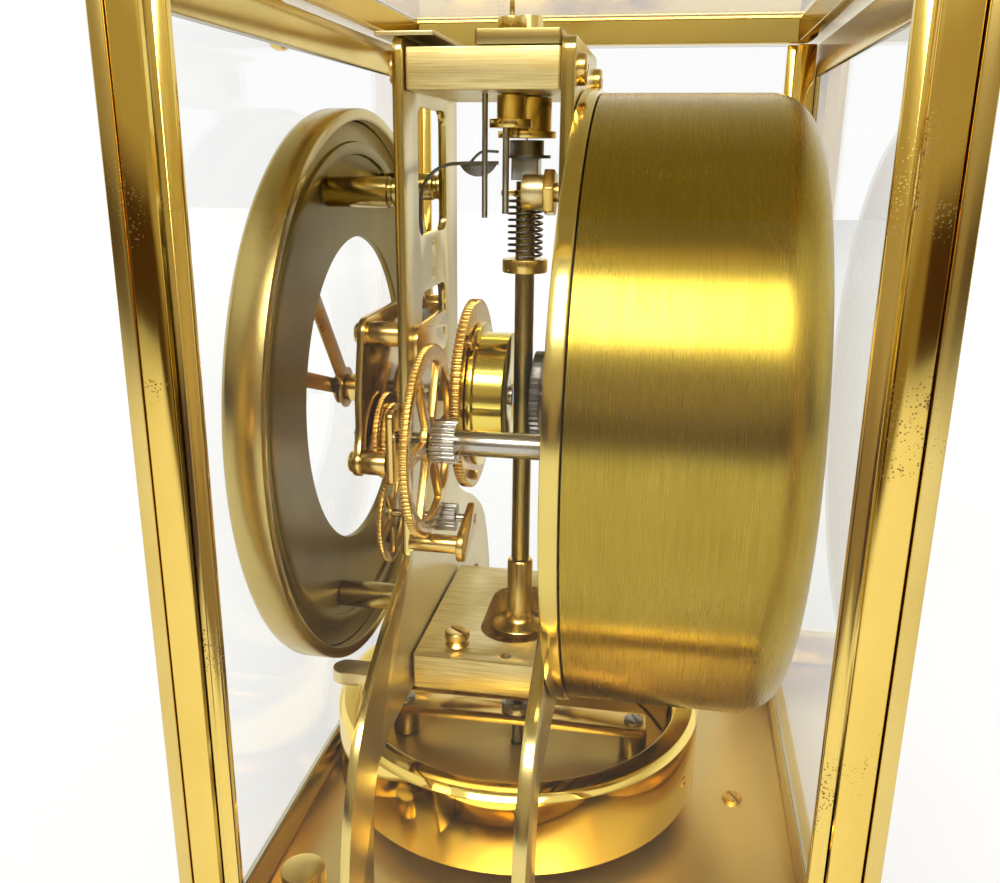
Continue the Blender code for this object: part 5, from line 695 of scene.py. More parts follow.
def turned(section, centre=(0.0, 0.0), axis="Z", steps=96, edge=0.0001):
    """Spins a closed section of (radius, height) points round an upright or a front-to-back axis."""
    loop = ring_of([on_axis(axis, centre, r, h) for r, h in section])
    middle = on_axis(axis, centre, 0, 0)
    spindle = (0, 0, 1) if axis == "Z" else (0, 1, 0)
    only(loop)
    bpy.ops.object.mode_set(mode="EDIT")
    bpy.ops.mesh.select_all(action="SELECT")
    bpy.ops.mesh.spin(steps=steps, angle=FULL_TURN, center=middle, axis=spindle)
    bpy.ops.mesh.select_all(action="SELECT")
    bpy.ops.mesh.remove_doubles(threshold=0.000002)
    bpy.ops.mesh.normals_make_consistent(inside=False)
    bpy.ops.object.mode_set(mode="OBJECT")
    return soften(loop, edge)


def rod(steps):
    """The section of a solid rod from its (radius, height) steps."""
    return [(0, steps[0][1]), *steps, (0, steps[-1][1])]


def tube(outer, inner, low, high):
    """The section of a tube."""
    return [(outer, low), (outer, high), (inner, high), (inner, low)]


print("a plain rod is spun from", len(rod([(1, 0), (1, 2)])), "points")

# %% [markdown]
# ## Dressed copies
# Some parts have the right shape in the frame already and are only too crisp. They could be drawn
# again, but a copy keeps their exact place. The copy is merged, cleared of the edges that only split
# flat faces, and bevelled.

# %% Dressed copies
def dressed(node, edge, segments=2):
    """A copy of a frame part, merged, cleared of needless edges and bevelled."""
    only(frame["nodes"][node])
    bpy.ops.object.duplicate()
    piece = bpy.context.object
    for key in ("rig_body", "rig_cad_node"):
        if key in piece:
            del piece[key]
    piece.parent = None
    bpy.ops.object.mode_set(mode="EDIT")
    bpy.ops.mesh.select_all(action="SELECT")
    bpy.ops.mesh.remove_doubles(threshold=0.000002)
    bpy.ops.mesh.dissolve_limited(angle_limit=math.radians(0.5))
    bpy.ops.object.mode_set(mode="OBJECT")
    return soften(piece, edge, segments=segments)


print("the door comes as", len(frame["nodes"]["front_door"].data.polygons), "triangles")

# %% [markdown]
# ## Case
# The case is brass bar, gilded and polished, with pits where it has been handled. Its corners are
# crisp but never sharp, and bars without a bevel would look cut from paper. So each frame is a
# dressed copy with a narrow bevel that catches a thin line of light. The panes keep their shape and
# get their glass.

# %% Case frames and panes
CASE_EDGE = 0.00035
TOP_EDGE = 0.0003
PLINTH_EDGE = 0.0006
for node, edge in (("side_frame_left", CASE_EDGE), ("side_frame_right", CASE_EDGE),
                   ("case_top_frame", TOP_EDGE), ("base_plinth", PLINTH_EDGE)):
    belong(dressed(node, edge), node + "_bars", "clock_frame", case_gold, node)
belong(dressed("front_door", CASE_EDGE), "front_door_bars", "door", panel_gilt, "front_door")
belong(dressed("rear_frame", CASE_EDGE), "rear_frame_bars", "clock_frame", panel_gilt, "rear_frame")
for node in ("side_glass_left", "side_glass_right", "top_glass", "rear_glass", "front_glass"):
    finish_as_is(node, pane_glass)

# %% [markdown]
# ## Door knob
# The door is opened by a small turned knob. A ball on a pin would be quicker, but a neck and a
# rounded front catch the light differently. Its section is given in shares of its box, so that it
# keeps to the solid in the frame.

# %% Door knob
low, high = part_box("door_knob")
knob_centre = (0, (low.z + high.z) / 2)
knob_length = high.y - low.y
knob_radius = (high.z - low.z) / 2
section = [(0.43 * knob_radius, high.y), (0.43 * knob_radius, high.y - knob_length / 3),
           (0.8 * knob_radius, high.y - knob_length * 0.42), (knob_radius, high.y - knob_length * 0.55),
           (knob_radius, high.y - knob_length * 0.78), (0.85 * knob_radius, high.y - knob_length * 0.92),
           (0.5 * knob_radius, low.y)]
belong(turned(rod(section), knob_centre, "Y", 64, 0.0002), "door_knob_turned", "door", case_gold,
       "door_knob")

# %% [markdown]
# ## Cut pieces
# Plates, bars and cocks are cut from sheet. A box with other boxes taken out of it leaves long thin
# faces round the holes. Here the outline and its holes are drawn as loops, filled once and extruded
# to the thickness of the sheet.

# %% Cut pieces
def along(start, distance, angle):
    """The point at a distance from another, in a direction."""
    return (start[0] + distance * math.cos(angle), start[1] + distance * math.sin(angle))


def circle(radius, centre=(0.0, 0.0), sides=48):
    """The points of a circle."""
    return [along(centre, radius, FULL_TURN * i / sides) for i in range(sides)]


def arc(centre, radius, start, end, steps=12):
    """Points along part of a circle."""
    return [along(centre, radius, start + (end - start) * i / steps) for i in range(steps + 1)]


def rounded_box(left, right, low, high, corner):
    """The outline of a box with round corners."""
    middles = ((right - corner, high - corner), (left + corner, high - corner),
               (left + corner, low + corner), (right - corner, low + corner))
    points = []
    for index, middle in enumerate(middles):
        points += arc(middle, corner, QUARTER_TURN * index, QUARTER_TURN * (index + 1), 6)
    return points


def on_sheet(axis, u, v, height):
    """A point of a flat outline, on a sheet across this axis."""
    return {"X": (height, u, v), "Y": (u, height, v), "Z": (u, v, height)}[axis]


def cut_sheet(outline, holes, low, high, axis="Y", edge=0.0001, angle=40):
    """An outline with holes, filled flat at one height and extruded to the other."""
    loops = [ring_of([on_sheet(axis, u, v, low) for u, v in points]) for points in [outline, *holes]]
    sheet = only(*loops)
    if holes:
        bpy.ops.object.join()
    bpy.ops.object.mode_set(mode="EDIT")
    bpy.ops.mesh.select_all(action="SELECT")
    bpy.ops.mesh.fill(use_beauty=True)
    bpy.ops.mesh.select_all(action="SELECT")
    bpy.ops.mesh.extrude_region_move(TRANSFORM_OT_translate={"value": on_sheet(axis, 0, 0, high - low)})
    bpy.ops.mesh.select_all(action="SELECT")
    bpy.ops.mesh.normals_make_consistent(inside=False)
    bpy.ops.mesh.dissolve_limited(angle_limit=math.radians(0.05))
    bpy.ops.object.mode_set(mode="OBJECT")
    return soften(sheet, edge, angle)


def shifted(points, centre):
    """An outline moved to its centre."""
    return [(u + centre[0], v + centre[1]) for u, v in points]


print("a rounded box has", len(rounded_box(0, 2, 0, 1, 0.1)), "points")

# %% [markdown]
# ## Screws
# A slotted screw is a turned head with a groove sawn across it. A dark stripe in the material would
# not catch the light as a groove does. So a thin box is taken out of the head with a Boolean
# modifier, and the edges are rounded after it.

# %% Screws
SLOT_WIDTH = 0.28
SLOT_LENGTH = 3


def slotted_head(centre, face, rise, radius, axis="Y", slot_turn=0.6):
    """A screw head that stands on a face. rise is how far it stands out, signed along the axis."""
    outer = face + rise
    head = turned(rod([(radius, face), (radius, outer - rise * 0.25), (radius * 0.86, outer)]),
                  centre, axis, steps=40, edge=0)
    bpy.ops.mesh.primitive_cube_add(size=1)
    cutter = bpy.context.object
    cutter.scale = on_sheet(axis, radius * SLOT_LENGTH, radius * SLOT_WIDTH, abs(rise) * 0.9)
    cutter.location = on_sheet(axis, centre[0], centre[1], outer)
    turn = {"Y": (0, slot_turn, 0), "Z": (0, 0, slot_turn)}[axis]
    cutter.rotation_euler = Euler(turn)
    modifier = head.modifiers.new("slot", "BOOLEAN")
    modifier.object = cutter
    modifier.operation = "DIFFERENCE"
    modifier.solver = "EXACT"
    only(head)
    bpy.ops.object.modifier_apply(modifier=modifier.name)
    bpy.data.objects.remove(cutter)
    return soften(head, radius * 0.05)


print("a slot is", SLOT_WIDTH, "of the head's radius wide")

# %% [markdown]
# ## Base plate
# The base is a gilt slab, with a cup in which the pendulum is locked for travel. Slab and cup could
# be copies of the coarse part. They are cut and turned instead, the way the real ones are made, so
# that their edges round off well.

# %% Base plate
BASE_TOP = 0.0300
low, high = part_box("base_plate")
slab_low = low.z
outline = rounded_box(low.x, high.x, low.y, high.y, 0.0012)
belong(cut_sheet(outline, [], slab_low, BASE_TOP, "Z", 0.0005), "base_slab", "clock_frame", base_gold,
       "base_plate")
CUP_FLOOR = 0.0312
cup = [(0, BASE_TOP), (0.0050, BASE_TOP), (0.0050, BASE_TOP + 0.0057), (0.0020, BASE_TOP + 0.0057),
       (0.0020, CUP_FLOOR), (0, CUP_FLOOR)]
belong(turned(cup, (0, PENDULUM_Y), edge=0.0003), "lock_cup", "clock_frame", staff_brass, "base_plate")
belong(slotted_head((0, 0.0450), BASE_TOP, 0.0010, 0.0024, "Z"), "base_screw", "clock_frame",
       fitting_brass, "base_plate")

# %% [markdown]
# ## Nuts and feet
# Two milled nuts hold the case, and two milled screws level it. Milling could be a bump in the
# material, but a bump vanishes at the outline of a disc, where milling shows most. So the ridges are
# drawn into the outline, one point out and one point in.

# %% Nuts and feet
def milled(radius, low, high, centre, teeth=60):
    """A disc whose edge is milled in fine ridges."""
    outline = []
    for i in range(teeth):
        outline.append(along(centre, radius, FULL_TURN * i / teeth))
        outline.append(along(centre, radius * 0.965, FULL_TURN * (i + 0.5) / teeth))
    return cut_sheet(outline, [], low, high, "Z", 0.00015, 80)


NUT_X = 0.0515
NUT_Y = -0.0480
FOOT_X = 0.0815
FOOT_Y = -0.0605
FOOT_DISC = 0.0037
for side, x in (("left", -NUT_X), ("right", NUT_X)):
    nut = milled(0.0047, BASE_TOP, BASE_TOP + 0.0080, (x, NUT_Y), 44)
    belong(nut, "case_nut_" + side, "clock_frame", panel_gilt, "base_plate")

for side, body, x in (("left", "foot_left", -FOOT_X), ("right", "foot_right", FOOT_X)):
    node = "foot_front_" + side
    belong(milled(0.0075, 0.0, FOOT_DISC, (x, FOOT_Y)), node + "_disc", body, fitting_brass, node)
    belong(turned(rod([(0.0026, FOOT_DISC), (0.0026, 0.0134)]), (x, FOOT_Y), steps=32, edge=0.0002),
           node + "_stem", body, fitting_brass, node)

# %% [markdown]
# ## Level
# A round level is let into the base: a gilt cup with a vial of yellow-green fluid. Glass and fluid
# could be two bodies. One solid body of tinted glass is simpler and looks the same at this size.

# %% Level
low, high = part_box("spirit_level")
level_at = (0, (low.y + high.y) / 2)
belong(turned([(0, low.z), (0.0070, low.z), (0.0070, high.z), (0.0058, high.z), (0.0058, low.z + 0.0010),
               (0, low.z + 0.0010)], level_at, edge=0.0002), "level_cup", "clock_frame", case_gold,
       "spirit_level")
belong(turned(rod([(0.0057, low.z + 0.0011), (0.0057, high.z - 0.0007), (0.0030, high.z - 0.0003)]),
              level_at), "level_vial", "clock_frame", level_glass, "spirit_level")

# %% [markdown]
# ## Plate outlines
# Two bell-shaped plates carry the movement and stand on splayed legs. Their curves could be drawn
# with handles, but both halves have to match. So one half is given as a few points, made smooth by a
# line through them, and mirrored.

# %% Plate outlines
FRONT_FACE = -0.0323
FRONT_BACK = -0.0305
REAR_BACK = 0.0026
PLATE_TOP = 0.2060
PLATE_FOOT = 0.0303
HALF_WIDTH = 0.0242
SHOULDER = 0.1005
LEG_OUTSIDE = 0.0718
LEG_WIDTH = 0.0150
ARCH_TOP = 0.0680
CENTRE = (0.0, AXIS_HEIGHT)
WHEEL_ARBOR = (0.025619, 0.127305)
LOWER_ARBOR = (0.015492, 0.106543)
MINUTE_ARBOR = (0.014416, 0.124661)
THIRD_ARBOR = (-0.003459, 0.145478)
ESCAPE_ARBOR = (0.000510, 0.159320)
PALLET_ARBOR = (0.000510, 0.166020)
OUTLINE_SHARES = ((0.000, 1.000), (0.060, 0.968), (0.214, 0.914), (0.440, 0.844), (0.727, 0.719),
                  (0.870, 0.580), (0.955, 0.425), (0.990, 0.250), (1.000, 0.000))
ARCH_SHARES = ((0.740, 1.000), (0.870, 0.950), (0.938, 0.850), (0.979, 0.580))


def smooth_line(points, fine=5):
    """A smooth line through the points, for curves that were drawn with few."""
    line = []
    for i in range(len(points) - 1):
        before = Vector(points[max(i - 1, 0)])
        first = Vector(points[i])
        second = Vector(points[i + 1])
        after = Vector(points[min(i + 2, len(points) - 1)])
        for k in range(fine):
            t = k / fine
            line.append(tuple(0.5 * (2 * first + (second - before) * t
                                     + (2 * before - 5 * first + 4 * second - after) * t * t
                                     + (3 * first - before - 3 * second + after) * t * t * t)))
    return line + [tuple(points[-1])]


def plate_half(ear=()):
    """The right half of a plate's outline, from its top corner down to the arch."""
    reach = LEG_OUTSIDE - HALF_WIDTH
    drop = SHOULDER - PLATE_FOOT
    inside = LEG_OUTSIDE - LEG_WIDTH
    half = arc((HALF_WIDTH - 0.003, PLATE_TOP - 0.003), 0.003, QUARTER_TURN, 0, 6)
    half += ear
    half += smooth_line([(HALF_WIDTH + reach * a, PLATE_FOOT + drop * b) for a, b in OUTLINE_SHARES])
    half += smooth_line([(inside, PLATE_FOOT)] + [(inside * a, PLATE_FOOT + (ARCH_TOP - PLATE_FOOT) * b)
                                                  for a, b in reversed(ARCH_SHARES)])
    return half


def plate_outline(ear=()):
    """Both halves of a plate's outline. An ear is only on the right."""
    return plate_half(list(ear)) + [(-x, y) for x, y in reversed(plate_half())]


def polish_walls(piece, look, axis="Y"):
    """Gives the faces that don't lie flat in the sheet a second material."""
    piece.data.materials.append(look)
    index = "XYZ".index(axis)
    for face in piece.data.polygons:
        if abs(face.normal[index]) < 0.9:
            face.material_index = 1
    return piece


print("a plate has", len(plate_outline()), "points round it")

# %% [markdown]
# ## Front and rear plates
# The front plate has two windows, and the rear plate has an ear for the large arbor. Their faces are
# satin gilt and their edges polished. A separate rim would leave a seam, so one sheet gets a second
# material on its walls.

# %% Front and rear plates
FINE_HOLE = 0.0009
front_holes = [rounded_box(-0.0126, 0.0126, 0.1680, 0.1940, 0.003),
               rounded_box(-0.0110, 0.0110, 0.1400, 0.1560, 0.003), circle(0.0012, LOWER_ARBOR, 24),
               circle(0.0025, CENTRE)]
front_holes += [circle(FINE_HOLE, arbor, 24) for arbor in (MINUTE_ARBOR, ESCAPE_ARBOR, PALLET_ARBOR)]
front = cut_sheet(plate_outline(), front_holes, FRONT_FACE, FRONT_BACK, edge=0.0002)
polish_walls(belong(front, "front_plate_sheet", "clock_frame", plate_gilt, "front_plate"), edge_gilt)
ear = [(HALF_WIDTH, 0.1370)] + arc((0.0285, 0.1340), 0.0015, QUARTER_TURN, 0, 4)
ear += arc((0.0285, 0.1195), 0.0015, 0, -QUARTER_TURN, 4) + [(HALF_WIDTH, 0.1165)]
ROD_AT = (-0.0142, AXIS_HEIGHT)
rear_holes = [circle(0.0015, WHEEL_ARBOR, 24), circle(0.0018, CENTRE, 24),
              circle(0.0018, ROD_AT, 24)]
rear = cut_sheet(plate_outline(ear), rear_holes, 0.0, REAR_BACK, edge=0.0002)
polish_walls(belong(rear, "rear_plate_sheet", "clock_frame", plate_gilt, "rear_plate"), edge_gilt)

# %% [markdown]
# ## Fittings of the front plate
# The front plate carries the dial pillars, its screws, cocks at both sides, one cock behind it and a
# clip on top. Each is a short turned or cut piece. They could be placed one by one, but what comes in
# pairs is made in a loop, with its side in its name.

# %% Fittings of the front plate
PILLAR_X = 0.0188
PLATE_SCREW_X = 0.018
UPPER_SCREWS = 0.20035
SCREW_HEAD = 0.0030
for side, x in (("left", -PILLAR_X), ("right", PILLAR_X)):
    for end, z in (("upper", 0.1772), ("lower", 0.0873)):
        pillar = turned(rod([(0.0031, -0.0482), (0.0031, -0.0350), (0.0028, -0.0346), (0.0028, -0.0340),
                             (0.0031, -0.0336), (0.0031, FRONT_FACE)]), (x, z), "Y", 64, 0.0002)
        belong(pillar, "dial_pillar_%s_%s" % (end, side), "clock_frame", pillar_brass, "front_plate")
    for end, z in (("upper", UPPER_SCREWS), ("lower", 0.0724)):
        head = slotted_head((math.copysign(PLATE_SCREW_X, x), z), FRONT_FACE, -0.0018, SCREW_HEAD)
        belong(head, "plate_screw_%s_%s" % (end, side), "clock_frame", fitting_brass, "front_plate")
    cock = rounded_box(0.0180, 0.0300, 0.1180, 0.1340, 0.0015)
    holes = [circle(0.0012, WHEEL_ARBOR, 24)] if x > 0 else []
    points = cock if x > 0 else [(-u, v) for u, v in cock]
    belong(cut_sheet(points, holes, FRONT_FACE - 0.0015, FRONT_FACE, edge=0.0002), "side_cock_" + side,
           "clock_frame", fitting_brass, "front_plate")
third_cock = rounded_box(-0.0080, 0.0205, 0.1412, 0.1500, 0.0036)
belong(cut_sheet(third_cock, [circle(FINE_HOLE, THIRD_ARBOR, 24)], FRONT_BACK, FRONT_BACK + 0.0013,
                 edge=0.0002), "third_cock", "clock_frame", fitting_brass, "front_plate")
clip = rounded_box(-0.0242, 0.0242, -0.0358, -0.0240, 0.0006)
belong(cut_sheet(clip, [], PLATE_TOP, PLATE_TOP + 0.0008, "Z", 0.0001), "top_clip", "clock_frame",
       plate_gilt, "front_plate")

# %% [markdown]
# ## Lever screw
# The lock lever turns on a screw in the front plate. Screw and shank are one piece on the real clock.
# Here they are two that touch, because the slot is cut before the head meets its shank.

# %% Lever screw
LEVER_X = 0.0340
LEVER_PIVOT = 0.0713
SHANK_END = -0.0349
belong(turned(rod([(0.0015, FRONT_FACE), (0.0015, SHANK_END)]), (LEVER_X, LEVER_PIVOT), "Y", 32),
       "lever_screw_shank", "clock_frame", grey_steel, "front_plate")
belong(slotted_head((LEVER_X, LEVER_PIVOT), SHANK_END, -0.0010, 0.0019), "lever_screw_head", "clock_frame",
       grey_steel, "front_plate")

# %% [markdown]
# ## Screws of the rear plate
# The rear plate is held at the top by two screws from behind. They are the same screws as in front,
# so the same helper makes them, with the head standing out the other way.

# %% Fittings of the rear plate
for side, x in (("left", -PLATE_SCREW_X), ("right", PLATE_SCREW_X)):
    belong(slotted_head((x, UPPER_SCREWS), REAR_BACK, 0.0018, SCREW_HEAD), "rear_screw_" + side,
           "clock_frame", fitting_brass, "rear_plate")

# %% [markdown]
# ## Hexagon stud
# A stud with a hexagon head stands in front of the rear plate. The head could be a circle primitive
# with six sides. It is cut from an outline of six points instead, so that its edges are rounded like
# those of every other cut piece.

# %% Hexagon stud
HEX_AT = (0.0098, 0.1773)
HEX_FRONT = -0.0044
HEX_BACK = -0.0022
belong(turned(rod([(0.0036, -0.0090), (0.0036, HEX_FRONT)]), HEX_AT, "Y", 48, 0.0003), "hex_stud_body",
       "clock_frame", plate_gilt, "rear_plate")
hexagon = [along(HEX_AT, 0.0050, FULL_TURN * i / 6 + 0.2) for i in range(6)]
belong(cut_sheet(hexagon, [], HEX_FRONT, HEX_BACK, edge=0.0003, angle=20), "hex_stud_head", "clock_frame",
       fitting_brass, "rear_plate")
belong(turned(rod([(0.0020, HEX_BACK), (0.0020, 0.0)]), HEX_AT, "Y", 32), "hex_stud_shank", "clock_frame",
       plate_gilt, "rear_plate")

# %% [markdown]
# ## Top bridge
# The top bridge joins the plates and carries the pendulum. A plain box would hide how it hangs, so
# the bridge is cut from an outline with real holes for the suspension and the regulator. Its brushing
# runs from plate to plate, and a thin cover lies on it.

# %% Top bridge
BRIDGE_FRONT = -0.0302
BRIDGE_BACK = -0.0003
REGULATOR_AT = (0.0100, -0.0116)
head_holes = [circle(0.0033, (0, PENDULUM_Y)), circle(0.0022, REGULATOR_AT)]
outline = rounded_box(-0.0225, 0.0225, BRIDGE_FRONT, BRIDGE_BACK, 0.0006)
belong(cut_sheet(outline, head_holes, 0.1965, 0.2042, "Z", 0.0002), "top_bridge_bar", "clock_frame",
       platform_brass, "top_bridge")
belong(turned(rod([(0.0006, 0.1720), (0.0006, 0.1966)]), (0.0100, -0.0170), steps=24, edge=0.0001),
       "guide_rod", "clock_frame", grey_steel, "top_bridge")
outline = rounded_box(-0.0220, 0.0220, BRIDGE_BACK - 0.0165, BRIDGE_BACK, 0.0006)
belong(cut_sheet(outline, head_holes, 0.2045, 0.2073, "Z", 0.0003), "top_cover_bar", "clock_frame",
       cover_brass, "top_cover")

# %% [markdown]
# ## Platform
# The platform joins the plates under the staff. It has a long slot, a threaded hole and a screw with
# a wide foot. The slot could be taken out with a Boolean, but as a hole in the outline it has clean
# walls from the start.

# %% Platform
PLATFORM_LOW = 0.0684
PLATFORM_TOP = 0.0764
slot = rounded_box(-0.0155, 0.0155, PENDULUM_Y - 0.0080, PENDULUM_Y + 0.0080, 0.0077)
outline = rounded_box(-0.0253, 0.0253, BRIDGE_FRONT, BRIDGE_BACK, 0.0006)
belong(cut_sheet(outline, [slot, circle(0.0013, (0.0216, -0.0095), 32)], PLATFORM_LOW, PLATFORM_TOP, "Z",
                 0.0002), "platform_bar", "clock_frame", platform_brass, "platform")
under = rounded_box(-0.0210, 0.0210, -0.0218, -0.0033, 0.0008)
belong(cut_sheet(under, [circle(0.0028, (0, PENDULUM_Y))], PLATFORM_LOW - 0.0036, PLATFORM_LOW, "Z",
                 0.0002), "under_plate", "clock_frame", fitting_brass, "platform")
SCREW_AT = (0.0180, -0.0215)
belong(turned([(0, PLATFORM_TOP), (0.0029, PLATFORM_TOP), (0.0015, PLATFORM_TOP + 0.0013),
               (0.0015, PLATFORM_TOP + 0.0017), (0, PLATFORM_TOP + 0.0017)], SCREW_AT, steps=48),
       "platform_screw_foot", "clock_frame", fitting_brass, "platform")
belong(slotted_head(SCREW_AT, PLATFORM_TOP + 0.0017, 0.0017, 0.0029, "Z", 0.9), "platform_screw_head",
       "clock_frame", fitting_brass, "platform")

# %% [markdown]
# ## Suspension head and regulator
# A wire as thin as a hair hangs from a head in the top bridge, and the regulator beside it sets the
# rate. Discs could be stacked for both. Each is turned from one section instead, so that its
# shoulders meet cleanly.

# %% Suspension head and regulator
staff_at = (0, PENDULUM_Y)
head = [(0.0062, 0.1881), (0.0062, 0.1895), (0.0052, 0.1895), (0.0052, 0.1962), (0.0030, 0.1962),
        (0.0030, 0.2120), (0.0005, 0.2120), (0.0005, 0.1881)]
belong(turned(head, staff_at, steps=72), "suspension_head_turned", "clock_frame", staff_brass,
       "suspension_head")
section = [(0.0044, 0.1899), (0.0044, 0.1916), (0.0029, 0.1916), (0.0029, 0.1962), (0.0019, 0.1962),
           (0.0019, 0.2076), (0.0029, 0.2076), (0.0029, 0.2106)]
belong(turned(rod(section), REGULATOR_AT, steps=72), "regulator_turned", "clock_frame", staff_brass,
       "regulator")
belong(turned(rod([(0.0005, 0.2106), (0.0005, 0.2152)]), REGULATOR_AT, steps=24), "regulator_needle",
       "clock_frame", staff_brass, "regulator")
belong(turned(rod([(0.0007, 0.1729), (0.0007, 0.1899)]), (0.0100, -0.0126), steps=24),
       "regulator_pin", "clock_frame", grey_steel, "regulator")

# %% [markdown]
# ## Staff
# The hollow staff carries everything that swings. It could be a plain cylinder, but the wire runs
# down inside it, so it is a tube with a real bore. Collar and sleeve are turned to fit round it. The
# wire keeps its frame shape and only gets its metal.

# %% Staff
belong(turned(tube(0.00215, 0.0008, 0.0913, 0.1792), staff_at, steps=48), "staff_tube_drawn", "pendulum",
       tube_brass, "staff_tube")
belong(turned(tube(0.0027, 0.00215, 0.1760, 0.1774), staff_at, steps=48), "spring_stop", "pendulum",
       staff_brass, "staff_tube")
belong(cut_sheet(rounded_box(-0.0006, 0.0006, PENDULUM_Y - 0.0054, PENDULUM_Y - 0.0024, 0.0003), [],
                 0.1762, 0.1773, "Z", 0.0001), "spring_stop_arm", "pendulum", staff_brass, "staff_tube")
sleeve = [(0, 0.0707), (0.0066, 0.0707), (0.0066, 0.0738), (0.0060, 0.0744), (0.0046, 0.0749),
          (0.0038, 0.0756), (0.0033, 0.0768), (0.0033, 0.0820), (0.00305, 0.0826), (0.00305, 0.0904),
          (0.0027, 0.0910), (0.0008, 0.0910), (0.0008, 0.0753), (0, 0.0753)]
belong(turned(sleeve, staff_at, steps=96), "staff_sleeve_turned", "pendulum", staff_brass,
       "staff_sleeve")
belong(turned(tube(0.0050, 0.00245, 0.1598, 0.1628), staff_at, steps=72, edge=0.0003),
       "staff_collar_turned", "pendulum", staff_brass, "staff_collar")
finish_as_is("suspension_wire", grey_steel)

# %% [markdown]
# ## Staff spring
# A spring of nine turns sits round the staff. The Screw modifier could wind it, but would leave its
# ends bare. So its points are worked out turn by turn, with a short straight end at both sides. A
# curve with a thickness follows them and is then turned into a mesh.

# %% Staff spring
def wire(points, radius, resolution=3):
    """One unbroken round wire through the points, as a mesh."""
    bpy.ops.curve.primitive_bezier_curve_add()
    made = bpy.context.object
    curve = made.data
    curve.splines.clear()
    curve.dimensions = "3D"
    curve.bevel_depth = radius
    curve.bevel_resolution = resolution
    curve.use_fill_caps = True
    spline = curve.splines.new("POLY")
    spline.points.add(len(points) - 1)
    for target, point in zip(spline.points, points):
        target.co = (*point, 1)
    only(made)
    bpy.ops.object.convert(target="MESH")
    made = bpy.context.object
    bpy.ops.object.shade_smooth_by_angle(angle=math.radians(50))
    return made


SPRING_TURNS = 9
SPRING_RADIUS = 0.00365
SPRING_WIRE = 0.0003
STEPS_A_TURN = 28
COLLAR_TOP = 0.1628
STOP_LOW = 0.1760
spring_low = COLLAR_TOP + 2 * SPRING_WIRE
spring_high = STOP_LOW - 2 * SPRING_WIRE
count = SPRING_TURNS * STEPS_A_TURN
points = [(SPRING_RADIUS, PENDULUM_Y - 2 * SPRING_WIRE, spring_low)]
for i in range(count + 1):
    u, v = along(staff_at, SPRING_RADIUS, FULL_TURN * i / STEPS_A_TURN)
    points.append((u, v, spring_low + (spring_high - spring_low) * i / count))
points.append((SPRING_RADIUS, PENDULUM_Y + 2 * SPRING_WIRE, spring_high))
belong(wire(points, SPRING_WIRE), "staff_spring_coil", "pendulum", blued_steel, "staff_spring")

# %% [markdown]
# ## Roller
# The roller is a dark disc on a square boss, with a pin that meets the fork. It isn't one turned
# piece, because the boss is square. So the disc and the pin are turned and the boss is cut.

# %% Roller
section = [(0.0052, 0.1840), (0.0052, 0.1847), (0.0037, 0.1847), (0.0037, 0.1877), (0.0005, 0.1877),
           (0.0005, 0.1840)]
belong(turned(section, staff_at, steps=72), "roller_disc", "pendulum", blued_steel, "roller")
boss = rounded_box(-0.0029, 0.0029, PENDULUM_Y - 0.0029, PENDULUM_Y + 0.0029, 0.0004)
belong(cut_sheet(boss, [circle(0.0005, staff_at, 24)], 0.1795, 0.1840, "Z", 0.0002), "roller_boss",
       "pendulum", grey_steel, "roller")
belong(turned(rod([(0.0004, 0.1810), (0.0004, 0.1840)]), (0, PENDULUM_Y - 0.0046), steps=24),
       "impulse_pin", "pendulum", bright_steel, "roller")

# %% [markdown]
# ## Pendulum ring
# The ring is heavy, turned and polished. A torus would be too round: this ring has flat sides and a
# narrow chamfer. Its section is drawn with the chamfer and spun in many steps, which keeps the
# highlight smooth.

# %% Pendulum ring
RING_RADIUS = 0.0448
RING_INNER = 0.0380
RING_LOW = 0.0357
RING_TOP = 0.0565
CHAMFER = 0.0014
section = [(RING_RADIUS - CHAMFER, RING_LOW), (RING_RADIUS, RING_LOW + CHAMFER),
           (RING_RADIUS, RING_TOP - CHAMFER), (RING_RADIUS - CHAMFER, RING_TOP),
           (RING_INNER + CHAMFER, RING_TOP), (RING_INNER, RING_TOP - CHAMFER), (RING_INNER, RING_LOW)]
belong(turned(section, staff_at, steps=192, edge=0.00012), "pendulum_ring_turned", "pendulum", ring_gold,
       "pendulum_ring")

# %% [markdown]
# ## Web, bar and pin
# A web closes the ring from below, a flat bar on two posts crosses it, and a pin runs down the
# middle. The photograph blurs the web and the posts, so these are kept plain. The discs and posts are
# turned and the bar is cut.

# %% Web, bar and pin
belong(turned(tube(0.0377, 0.0017, 0.0379, 0.0399), staff_at, steps=128), "pendulum_web_disc",
       "pendulum", web_brass, "pendulum_web")
BAR_LOW = 0.0470
BAR_TOP = 0.0492
bar = rounded_box(-0.0040, 0.0040, PENDULUM_Y - 0.0325, PENDULUM_Y + 0.0325, 0.0012)
belong(cut_sheet(bar, [circle(0.0017, staff_at, 24)], BAR_LOW, BAR_TOP, "Z", 0.0003),
       "pendulum_bar_strip", "pendulum", fitting_brass, "pendulum_bar")
POST_Y = 0.0294
for end, y in (("front", -POST_Y), ("rear", POST_Y)):
    belong(turned(rod([(0.0034, 0.0402), (0.0034, BAR_LOW)]), (0, PENDULUM_Y + y), steps=48),
           "pendulum_post_" + end, "pendulum", tube_brass, "pendulum_bar")
    belong(slotted_head((0, PENDULUM_Y + y), BAR_TOP, 0.0009, 0.0024, "Z", 0.4),
           "pendulum_bar_screw_" + end, "pendulum", grey_steel, "pendulum_bar")
section = [(0.0014, 0.0316), (0.0014, 0.0495), (0.0040, 0.0495), (0.0040, 0.0520), (0.0034, 0.0525),
           (0.0014, 0.0525), (0.0014, 0.0620), (0.0036, 0.0622), (0.0030, 0.0640), (0.0014, 0.0648),
           (0.0014, 0.0704)]
